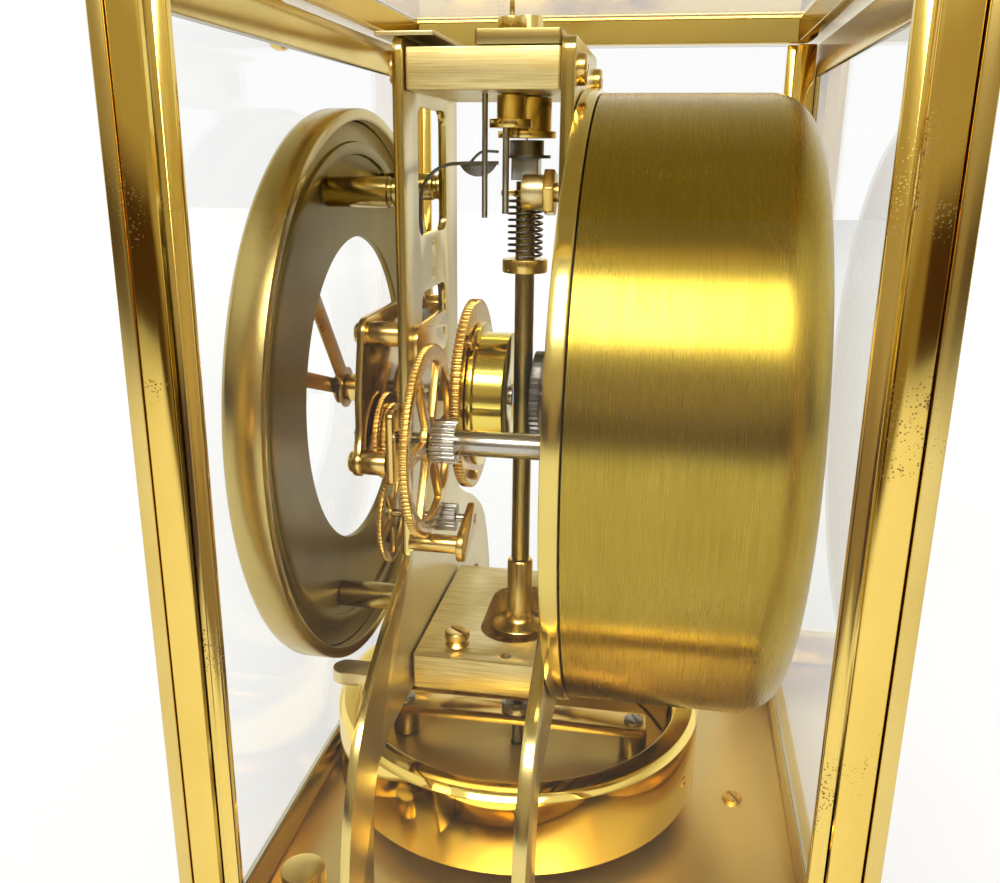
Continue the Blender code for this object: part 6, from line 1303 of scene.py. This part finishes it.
belong(turned(rod(section), staff_at, steps=64, edge=0.00008), "pendulum_pin_turned", "pendulum",
       grey_steel, "pendulum_pin")

# %% [markdown]
# ## Gears
# Brass wheels are cut tooth by tooth. An array of one tooth would do, but the outline of a whole
# wheel is simpler: seven points to a tooth, wide at the foot and rounded at the tip. Some pairs have
# twice as many teeth as in the frame, at the same ratio, so that they still mesh as they turn.

# %% Gears
BARREL_MODULE = 0.00044
TRAIN_MODULE = 0.00033
ESCAPE_MODULE = 0.0004
THIN_WHEEL = 0.0010


def tooth_outline(module, teeth, tooth_angle):
    """Rounded teeth: a narrow tip and a wide foot, seven points to a tooth."""
    tip = module * (teeth / 2 + 0.45)
    root = tip - module * 1.5
    pitch = module * teeth / 2
    step = FULL_TURN / teeth
    shape = ((-0.34, root), (-0.25, pitch - module * 0.2), (-0.12, tip - module * 0.12), (0.0, tip),
             (0.12, tip - module * 0.12), (0.25, pitch - module * 0.2), (0.34, root))
    points = []
    for i in range(teeth):
        points += [along((0, 0), radius, tooth_angle + step * (i + share)) for share, radius in shape]
    return points


def windows(count, inner, outer, half_spoke, start):
    """The openings between the spokes of a wheel."""
    holes = []
    for i in range(count):
        middle = start + FULL_TURN * i / count
        half = math.pi / count
        inner_half = half - math.asin(half_spoke / inner)
        outer_half = half - math.asin(half_spoke / outer)
        hole = arc((0, 0), outer, middle - outer_half, middle + outer_half, 16)
        hole += arc((0, 0), inner, middle + inner_half, middle - inner_half, 6)
        holes.append(hole)
    return holes


def heading(start, end):
    """The direction from one point to another."""
    return math.atan2(end[1] - start[1], end[0] - start[0])


def wheel(module, teeth, tooth_angle, back, thickness, centre, holes=(), edge=0.00005):
    """A toothed wheel, cut with its holes. One tooth points at tooth_angle."""
    outline = shifted(tooth_outline(module, teeth, tooth_angle), centre)
    placed = [shifted(hole, centre) for hole in holes]
    return cut_sheet(outline, placed, back - thickness, back, edge=edge, angle=60)


def gap_towards(start, end, teeth):
    """The direction of the first tooth when a gap has to face the other wheel."""
    return heading(start, end) + math.pi / teeth


print("the great wheel has", len(tooth_outline(BARREL_MODULE, 98, 0)), "points round it")

# %% [markdown]
# ## Barrel
# The mainspring sits in a closed barrel that is fixed to the great wheel. A solid cylinder would look
# the same from outside, but the spring needs its room. So the barrel is turned from a hollow section,
# with a floor and a lid. Three small studs stand on the wheel beside it, made in a loop.

# %% Barrel
holes = [circle(0.0026)]
belong(wheel(BARREL_MODULE, 98, heading(CENTRE, WHEEL_ARBOR), -0.0203, 0.0021, CENTRE, holes),
       "great_wheel_cut", "barrel", wheel_brass, "great_wheel")
for i in range(3):
    outward = QUARTER_TURN * 0.55 + FULL_TURN * i / 3
    corners = [along(along(CENTRE, reach, outward), aside, outward + QUARTER_TURN)
               for reach, aside in ((0.0178, -0.0011), (0.0200, -0.0011), (0.0200, 0.0011), (0.0178, 0.0011))]
    belong(cut_sheet(corners, [], -0.0203, -0.0190), "great_wheel_stud_%d" % (i + 1), "barrel", wheel_brass)
section = [(0.0026, -0.0200), (0.0166, -0.0200), (0.0166, -0.0188), (0.0144, -0.0188), (0.0144, -0.0124),
           (0.0026, -0.0124), (0.0026, -0.0134), (0.0132, -0.0134), (0.0132, -0.0188), (0.0026, -0.0188)]
belong(turned(section, CENTRE, "Y", 128, 0.00015), "barrel_turned", "barrel", barrel_gold,
       "barrel_drum")
belong(turned(rod([(0.0022, -0.0320), (0.0022, -0.0121)]), CENTRE, "Y", 48), "barrel_arbor_turned",
       "clock_frame", bright_steel, "barrel_arbor")

# %% [markdown]
# ## Spoked wheel and its arbor
# The large spoked wheel sits on an arbor with a cut pinion. The openings between its six spokes could
# be taken out with Booleans. As holes in the outline they come with the wheel, with clean walls.

# %% Spoked wheel and its arbor
holes = [circle(0.0019)] + windows(6, 0.0050, 0.0168, 0.0011, math.pi / 6)
belong(wheel(TRAIN_MODULE, 122, heading(WHEEL_ARBOR, LOWER_ARBOR), -0.0250, 0.0015, WHEEL_ARBOR, holes),
       "spoked_wheel_cut", "spoked_body", wheel_brass, "spoked_wheel")
belong(wheel(BARREL_MODULE, 20, gap_towards(WHEEL_ARBOR, CENTRE, 20), -0.0195, 0.0052, WHEEL_ARBOR),
       "arbor_pinion_cut", "spoked_body", bright_steel, "wheel_arbor")
section = [(0.0009, -0.0338), (0.0009, -0.0302), (0.0016, -0.0302), (0.0016, -0.0198), (0.0027, -0.0198),
           (0.0027, -0.0003), (0.0012, -0.0003), (0.0012, 0.0026)]
belong(turned(rod(section), WHEEL_ARBOR, "Y", 64), "wheel_arbor_turned", "spoked_body", bright_steel,
       "wheel_arbor")

# %% [markdown]
# ## Lower wheel
# The lower wheel takes the motion through the front plate: its pinion meets the spoked wheel behind
# the plate, and the wheel itself turns in front of it. Wheel, pinion and arbor could be one mesh, but
# apart they can have a metal each.

# %% Lower wheel
ARBOR = 0.0009
PIVOT = 0.0006
holes = windows(5, 0.0034, 0.0090, 0.0010, 0.3)
belong(wheel(TRAIN_MODULE, 66, heading(LOWER_ARBOR, MINUTE_ARBOR), -0.0364, THIN_WHEEL, LOWER_ARBOR, holes),
       "lower_wheel_cut", "lower_wheel_body", wheel_brass, "lower_wheel")
belong(turned(rod([(ARBOR, -0.0384), (ARBOR, -0.0198), (PIVOT, -0.0198), (PIVOT, -0.0180)]),
              LOWER_ARBOR, "Y", 32), "lower_arbor_turned", "lower_wheel_body", bright_steel,
       "lower_wheel")
belong(wheel(TRAIN_MODULE, 18, gap_towards(LOWER_ARBOR, WHEEL_ARBOR, 18), -0.0220, 0.0050, LOWER_ARBOR),
       "lower_pinion_cut", "lower_wheel_body", grey_steel, "lower_wheel")

# %% [markdown]
# ## Minute wheel
# The minute wheel carries three sets of teeth on one arbor, one each for the lower wheel, the cannon
# and the hour wheel. The modules of the last two could be typed in. They are worked out from the
# distance of the arbors instead, so that each pair shares its module exactly.

# %% Minute wheel
HAND_DISTANCE = math.dist(CENTRE, MINUTE_ARBOR)
HAND_MODULE = 2 * HAND_DISTANCE / (60 + 40)
HOUR_MODULE = 2 * HAND_DISTANCE / (8 + 64)
print("modules behind the dial:", round(HAND_MODULE, 6), round(HOUR_MODULE, 6))
belong(wheel(HAND_MODULE, 60, gap_towards(MINUTE_ARBOR, CENTRE, 60), -0.0376, THIN_WHEEL, MINUTE_ARBOR),
       "minute_wheel_cut", "minute_wheel_body", wheel_brass, "minute_wheel")
belong(wheel(TRAIN_MODULE, 44, gap_towards(MINUTE_ARBOR, LOWER_ARBOR, 44), -0.0364, THIN_WHEEL, MINUTE_ARBOR),
       "transfer_wheel_cut", "minute_wheel_body", wheel_brass, "minute_wheel")
belong(wheel(HOUR_MODULE, 8, heading(MINUTE_ARBOR, CENTRE), -0.0436, 0.0016, MINUTE_ARBOR),
       "minute_pinion_cut", "minute_wheel_body", grey_steel, "minute_wheel")
belong(turned(rod([(ARBOR, -0.0455), (ARBOR, -0.0326), (PIVOT, -0.0326), (PIVOT, -0.0305)]),
              MINUTE_ARBOR, "Y", 32), "minute_arbor_turned", "minute_wheel_body", bright_steel,
       "minute_wheel")

# %% [markdown]
# ## Centre and hour wheels
# The centre wheel and its cannon carry the minute hand, and the hour wheel turns on a pipe round
# them. A pipe could be faked with a disc, but seen from the side it would give itself away, so it is
# turned as a tube.

# %% Centre and hour wheels
belong(wheel(ESCAPE_MODULE, 48, heading(CENTRE, THIRD_ARBOR), -0.0336, THIN_WHEEL, CENTRE),
       "centre_wheel_cut", "minute_body", wheel_brass, "centre_wheel")
belong(wheel(HAND_MODULE, 40, heading(CENTRE, MINUTE_ARBOR), -0.0374, 0.0016, CENTRE), "cannon_cut",
       "minute_body", wheel_brass, "centre_wheel")
belong(turned(rod([(0.0022, -0.0532), (0.0022, -0.0326)]), CENTRE, "Y", 48), "centre_arbor_turned",
       "minute_body", bright_steel, "centre_wheel")
belong(wheel(HOUR_MODULE, 64, gap_towards(CENTRE, MINUTE_ARBOR, 64), -0.0439, THIN_WHEEL, CENTRE,
             [circle(0.0025)]), "hour_wheel_cut", "hour_body", wheel_brass, "hour_wheel")
belong(turned(tube(0.0032, 0.0025, -0.0516, -0.0449), CENTRE, "Y", 64), "hour_pipe", "hour_body",
       staff_brass, "hour_wheel")

# %% [markdown]
# ## Third wheel
# The third wheel stands between the centre wheel and the escape wheel. It is hidden in the
# photograph, so its spokes are a guess. It is made like every other wheel, so that the train is whole
# where it can be seen from other sides.

# %% Third wheel
belong(wheel(ESCAPE_MODULE, 48, heading(THIRD_ARBOR, ESCAPE_ARBOR), -0.0353, THIN_WHEEL, THIRD_ARBOR,
             windows(4, 0.0030, 0.0078, 0.0008, 0.4)), "third_wheel_cut", "third_body", wheel_brass,
       "third_wheel")
belong(wheel(ESCAPE_MODULE, 24, gap_towards(THIRD_ARBOR, CENTRE, 24), -0.0333, 0.0016, THIRD_ARBOR),
       "third_pinion_cut", "third_body", grey_steel, "third_wheel")
belong(turned(rod([(PIVOT, -0.0412), (PIVOT, -0.0393), (ARBOR, -0.0393), (ARBOR, -0.0312),
                   (PIVOT, -0.0312), (PIVOT, -0.0292)]), THIRD_ARBOR, "Y", 32),
       "third_arbor_turned", "third_body", bright_steel, "third_wheel")

# %% [markdown]
# ## Escape wheel
# The escape wheel has pointed teeth that lean one way. It is hidden too, and their number, fifteen,
# is a guess. The outline of a gear would be wrong for it, because those teeth are even on both sides.
# So this outline is written out, with three points to a tooth.

# %% Escape wheel
ESCAPE_TEETH = 15
ESCAPE_TIP = 0.0050
ratchet = []
for i in range(ESCAPE_TEETH):
    ratchet.append(along((0, 0), ESCAPE_TIP, FULL_TURN * i / ESCAPE_TEETH))
    ratchet.append(along((0, 0), 0.0039, FULL_TURN * (i + 0.12) / ESCAPE_TEETH))
    ratchet.append(along((0, 0), 0.0038, FULL_TURN * (i + 0.5) / ESCAPE_TEETH))
holes = [shifted(hole, ESCAPE_ARBOR) for hole in windows(4, 0.0015, 0.0031, 0.0004, 0.4)]
belong(cut_sheet(shifted(ratchet, ESCAPE_ARBOR), holes, -0.0344, -0.0336, edge=0.00004),
       "escape_wheel_cut", "escape_body", wheel_brass, "escape_wheel")
belong(wheel(ESCAPE_MODULE, 24, gap_towards(ESCAPE_ARBOR, THIRD_ARBOR, 24), -0.0350, 0.0016, ESCAPE_ARBOR),
       "escape_pinion_cut", "escape_body", grey_steel, "escape_wheel")
short_arbor = rod([(PIVOT, -0.0378), (PIVOT, -0.0368), (ARBOR, -0.0368), (ARBOR, -0.0326),
                   (PIVOT, -0.0326), (PIVOT, -0.0305)])
belong(turned(short_arbor, ESCAPE_ARBOR, "Y", 32), "escape_arbor_turned", "escape_body", bright_steel,
       "escape_wheel")

# %% [markdown]
# ## Pallet lever
# A bow of flat steel straddles the escape wheel, and a long, bent fork reaches back to the roller.
# Both could be cut from sheet, but the fork is round wire. So the bow is cut from two arcs, the fork
# is drawn as a wire, and the crescent on it is cut on its side.

# %% Pallet lever
bow_centre = (PALLET_ARBOR[0], PALLET_ARBOR[1] - 0.0067)
start = QUARTER_TURN - math.radians(46)
end = QUARTER_TURN + math.radians(46)
bow = arc(bow_centre, 0.0069, start, end, 20) + arc(bow_centre, 0.0056, end, start, 20)
belong(cut_sheet(bow, [], -0.0344, -0.0336, edge=0.00008), "pallet_bow", "pallet_body", bright_steel,
       "pallet_lever")
belong(turned(short_arbor, PALLET_ARBOR, "Y", 32), "pallet_arbor_turned", "pallet_body", bright_steel,
       "pallet_lever")
fork = smooth_line([(-0.0331, 0.1660), (-0.0331, 0.1760), (-0.0310, 0.1802), (-0.0280, 0.1822),
                    (-0.0245, 0.1828), (-0.0158, 0.1830)])
tine = smooth_line([(-0.0222, 0.1828), (-0.0196, 0.1852), (-0.0158, 0.1853)])
belong(wire([(PALLET_ARBOR[0], y, z) for y, z in fork], 0.0004), "fork_wire", "pallet_body",
       blued_steel, "pallet_lever")
belong(wire([(PALLET_ARBOR[0], y, z) for y, z in tine], 0.0003), "fork_tine", "pallet_body",
       blued_steel, "pallet_lever")
chord = 0.0042
drop = 0.0028
rise = (chord * chord - drop * drop) / (2 * drop)
span = math.asin(chord / (drop + rise))
moon = arc((-0.0203, 0.1829 + rise), drop + rise, -QUARTER_TURN - span, -QUARTER_TURN + span, 20)
belong(cut_sheet(moon, [], PALLET_ARBOR[0] - 0.0002, PALLET_ARBOR[0] + 0.0002, "X", 0.00008),
       "fork_crescent", "pallet_body", blued_steel, "pallet_lever")

# %% [markdown]
# ## Motion bridge
# A bridge on four pillars carries the wheels behind the dial. It is the same on both sides. Its whole
# outline could be typed in, but half of it is drawn and mirrored, and a loop makes the pillars and
# their screws.

# %% Motion bridge
half = [(0, 0.1519)] + arc((0.0205, 0.1485), 0.0034, QUARTER_TURN, 0, 8)
half += [(0.0270, 0.1358), (0.0270, 0.1290)]
half += arc((0.0274, 0.1222), 0.0030, math.pi / 3, -QUARTER_TURN, 10) + [(0, 0.1180)]
outline = half + [(-x, y) for x, y in reversed(half) if x != 0]
bridge_holes = [circle(0.0026, CENTRE), circle(FINE_HOLE, THIRD_ARBOR, 24), circle(0.0013, MINUTE_ARBOR, 24)]
belong(cut_sheet(outline, bridge_holes, -0.0412, -0.0396, edge=0.0002), "motion_bridge_plate",
       "clock_frame", fitting_brass, "motion_bridge")
for side, sign in (("left", -1), ("right", 1)):
    for end, x, z, back in (("upper", 0.0205, 0.1485, -0.0326), ("lower", 0.0274, 0.1222, -0.0341)):
        name = "bridge_pillar_%s_%s" % (end, side)
        belong(turned(rod([(0.0026, -0.0396), (0.0026, back)]), (sign * x, z), "Y", 48, 0.0003), name,
               "clock_frame", fitting_brass, "motion_bridge")
        belong(slotted_head((sign * x, z), -0.0412, -0.0012, 0.0022), name + "_screw", "clock_frame",
               fitting_brass, "motion_bridge")

# %% [markdown]
# ## Cocks
# A cock is a small bearing plate on a foot. Boxes would do for both, but the lower cock has round
# ends that follow its pivot and its foot. So its outline is two arcs, turned by the direction from
# one to the other.

# %% Cocks
COCK_END = 0.0036
cock_foot = (0.0250, 0.1040)
lean = heading(LOWER_ARBOR, cock_foot)
outline = arc(cock_foot, COCK_END, lean - QUARTER_TURN, lean + QUARTER_TURN, 14)
outline += arc(LOWER_ARBOR, COCK_END, lean + QUARTER_TURN, lean + 3 * QUARTER_TURN, 14)
belong(cut_sheet(outline, [circle(FINE_HOLE, LOWER_ARBOR, 24)], -0.0195, -0.0180, edge=0.0002),
       "lower_cock_plate", "clock_frame", fitting_brass, "lower_cock")
belong(turned(rod([(0.0020, -0.0302), (0.0020, -0.0195)]), cock_foot, "Y", 48), "lower_cock_pillar",
       "clock_frame", fitting_brass, "lower_cock")
outline = rounded_box(-0.0125, 0.0030, 0.1572, 0.1688, 0.0015)
belong(cut_sheet(outline, [circle(FINE_HOLE, ESCAPE_ARBOR, 24), circle(FINE_HOLE, PALLET_ARBOR, 24)], -0.0381,
                 -0.0371, edge=0.0002), "escape_cock_plate", "clock_frame", fitting_brass, "escape_cock")
belong(turned(rod([(0.0020, -0.0371), (0.0020, -0.0326)]), (-0.0098, 0.1630), "Y", 48),
       "escape_cock_pillar", "clock_frame", fitting_brass, "escape_cock")

# %% [markdown]
# ## Lock lever
# The lock lever stops the pendulum for travel. Its foot lies flat on the plate and its bar sticks out
# to the front. A bend in one sheet would need its faces worked out one by one, so foot and bar are
# cut apart and meet.

# %% Lock lever
lever_foot = rounded_box(LEVER_X - 0.0030, LEVER_X + 0.0030, 0.0683, 0.0776, 0.0008)
belong(cut_sheet(lever_foot, [circle(0.0018, (LEVER_X, LEVER_PIVOT), 32)], -0.0346, -0.0326,
                 edge=0.0002), "lock_lever_foot", "lock_body", plate_gilt, "lock_lever")
bar = arc((LEVER_X, -0.0427), 0.0030, math.pi, FULL_TURN, 16) + [(LEVER_X + 0.0030, -0.0340),
                                                                 (LEVER_X - 0.0030, -0.0340)]
belong(cut_sheet(bar, [], 0.0743, 0.0773, "Z", 0.0003), "lock_lever_bar", "lock_body", plate_gilt,
       "lock_lever")

# %% [markdown]
# ## Bezel and dial ring
# A turned bezel holds the dial ring, whose middle is open. A flat ring would do from the front, but
# the photograph looks at the back, where small steps catch the light. So both are spun from a section
# with its steps.

# %% Bezel and dial ring
section = [(0.0626, -0.0461), (0.0626, -0.0524), (0.0622, -0.0534), (0.0614, -0.0540), (0.0570, -0.0540),
           (0.0562, -0.0536), (0.0558, -0.0528), (0.0558, -0.0504), (0.0602, -0.0504), (0.0602, -0.0461)]
belong(turned(section, CENTRE, "Y", 192, 0.00015), "bezel_turned", "clock_frame", bezel_brass, "bezel")
section = [(0.0599, -0.0501), (0.0599, -0.0485), (0.0558, -0.0485), (0.0556, -0.0477), (0.0531, -0.0477),
           (0.0529, -0.0485), (0.0352, -0.0485), (0.0352, -0.0501)]
belong(turned(section, CENTRE, "Y", 192, 0.00012), "dial_ring_turned", "clock_frame", dial_back_look,
       "dial_ring")

# %% [markdown]
# ## Hour marks
# The hour marks are plain applied bars, wider at the quarters. The photograph doesn't show the front
# of the dial, so they are a guess and are kept plain. One loop makes them all, each turned to its
# hour.

# %% Hour marks
MARK_INNER = 0.0430
MARK_OUTER = 0.0500
for hour in range(12):
    angle = FULL_TURN * hour / 12
    half = 0.0010 if hour % 3 else 0.0015
    corners = [along(along(CENTRE, reach, angle), aside, angle + QUARTER_TURN)
               for reach, aside in ((MARK_INNER, -half), (MARK_OUTER, -half), (MARK_OUTER, half),
                                    (MARK_INNER, half))]
    belong(cut_sheet(corners, [], -0.0505, -0.0501, edge=0.0001), "hour_mark_%02d" % hour, "clock_frame",
           flange_gold)

# %% [markdown]
# ## Hands
# Each hand is a flat blade with a round hub. A box with a disc would do from afar, but a blade
# narrows towards its tip. So half of its outline is written out, mirrored, turned to the time and cut
# from sheet.

# %% Hands
def hand_outline(length, tail, half_width, hub):
    """A hand that points along the first axis, with its hub at the middle."""
    tip = 0.0005
    lobe = arc((0, 0), hub, math.asin(half_width / hub), QUARTER_TURN, 8)
    upper = [(length, 0), (length - tip * 4, tip), (length * 0.75, half_width)] + lobe
    if tail:
        upper += arc((0, 0), hub, QUARTER_TURN, math.pi - math.asin(half_width / hub), 8)[1:]
        upper.append((-tail, half_width))
    else:
        upper += arc((0, 0), hub, QUARTER_TURN, math.pi, 8)[1:]
    lower = [(x, -y) for x, y in reversed(upper) if y > tip / 2]
    return upper + lower


def turned_about(points, angle):
    """An outline turned about its middle."""
    c = math.cos(angle)
    s = math.sin(angle)
    return [(x * c - y * s, x * s + y * c) for x, y in points]


MINUTE_HAND_ANGLE = math.radians(17)
HOUR_HAND_ANGLE = math.radians(52)
minute = turned_about(hand_outline(0.0520, 0.0110, 0.0017, 0.0039), MINUTE_HAND_ANGLE)
belong(cut_sheet(shifted(minute, CENTRE), [], -0.0541, -0.0535, edge=0.0001), "minute_hand_blade",
       "minute_body", hand_bronze, "minute_hand")
belong(turned(rod([(0.0018, -0.0553), (0.0026, -0.0549), (0.0026, -0.0541)]), CENTRE, "Y", 48),
       "hand_nut", "minute_body", staff_brass, "minute_hand")
hour = turned_about(hand_outline(0.0400, 0, 0.0026, 0.0048), HOUR_HAND_ANGLE)
belong(cut_sheet(shifted(hour, CENTRE), [circle(0.0025, CENTRE)], -0.0525, -0.0519, edge=0.0001),
       "hour_hand_blade", "hour_body", hand_bronze, "hour_hand")

# %% [markdown]
# ## Drum and flange
# The drum is spun brass with a rounded back edge, brushed round its axis, and closed in front by a
# polished flange. A bevelled cylinder would be solid. The real one is a thin shell, so its section
# has an outer and an inner line.

# %% Drum and flange
section = [(0.0664, 0.0029), (0.0664, 0.0062), (0.0180, 0.0062), (0.0180, 0.0029)]
belong(turned(section, CENTRE, "Y", 192, 0.0004), "drum_flange_turned", "clock_frame", flange_gold,
       "drum_flange")
outer = [(0.0656, 0.0065)] + arc((0.0566, 0.0396), 0.0090, 0, QUARTER_TURN, 14)
inner = arc((0.0566, 0.0396), 0.0078, QUARTER_TURN, 0, 14) + [(0.0644, 0.0065)]
section = outer + [(0.0040, 0.0486), (0.0040, 0.0474)] + inner
belong(turned(section, CENTRE, "Y", 256, 0), "bellows_drum_spun", "clock_frame", drum_brass,
       "bellows_drum")

# %% [markdown]
# ## Push disc
# A sealed capsule in the drum swells and pushes on a disc, and a rod from the disc reaches through
# the rear plate. Both could be left out, as the drum hides the disc. They are turned anyway, because
# the rod comes out in front of the rear plate and moves with the disc.

# %% Push disc
section = rod([(0.0160, 0.0086), (0.0160, 0.0106)])
belong(turned(section, CENTRE, "Y", 96, 0.0002), "push_disc_turned", "push_body", bright_steel,
       "push_disc")
belong(turned(rod([(0.0012, -0.0045), (0.0012, 0.0086)]), ROD_AT, "Y", 32),
       "push_rod", "push_body", bright_steel, "push_disc")

# %% [markdown]
# ## Winding wheel
# The push becomes a small turn of a ratchet wheel, which winds the mainspring. The teeth could be
# even, but a ratchet only takes hold one way, so each tooth rises slowly and falls at once.

# %% Winding wheel
RATCHET_TEETH = 48
ratchet = []
for i in range(RATCHET_TEETH):
    ratchet.append(along(CENTRE, 0.0105, FULL_TURN * i / RATCHET_TEETH))
    ratchet.append(along(CENTRE, 0.0099, FULL_TURN * (i + 0.2) / RATCHET_TEETH))
belong(cut_sheet(ratchet, [], -0.0070, -0.0048, edge=0.00005), "winding_wheel_cut", "winding_body",
       blued_steel, "winding_wheel")
belong(turned(rod([(0.0030, -0.0048), (0.0030, -0.0003), (0.0015, -0.0003), (0.0015, 0.0026)]), CENTRE,
              "Y", 48), "winding_stud", "winding_body", grey_steel, "winding_wheel")

# %% [markdown]
# ## Parts that keep their frame shape
# The mainspring, the capsule and the spring against it are closed in and hardly seen. They could be
# modelled again, but the shape in the frame is fine enough for them. So they only get a metal.

# %% Parts that keep their frame shape
for node, look in (("mainspring", blued_steel), ("bellows", drum_brass), ("bellows_spring", grey_steel)):
    finish_as_is(node, look)

# %% [markdown]
# ## Finish
# The view transform could add contrast. It stays plain, so that a colour renders about as it is
# written.

# %% Finish
bpy.context.scene.view_settings.view_transform = "Standard"
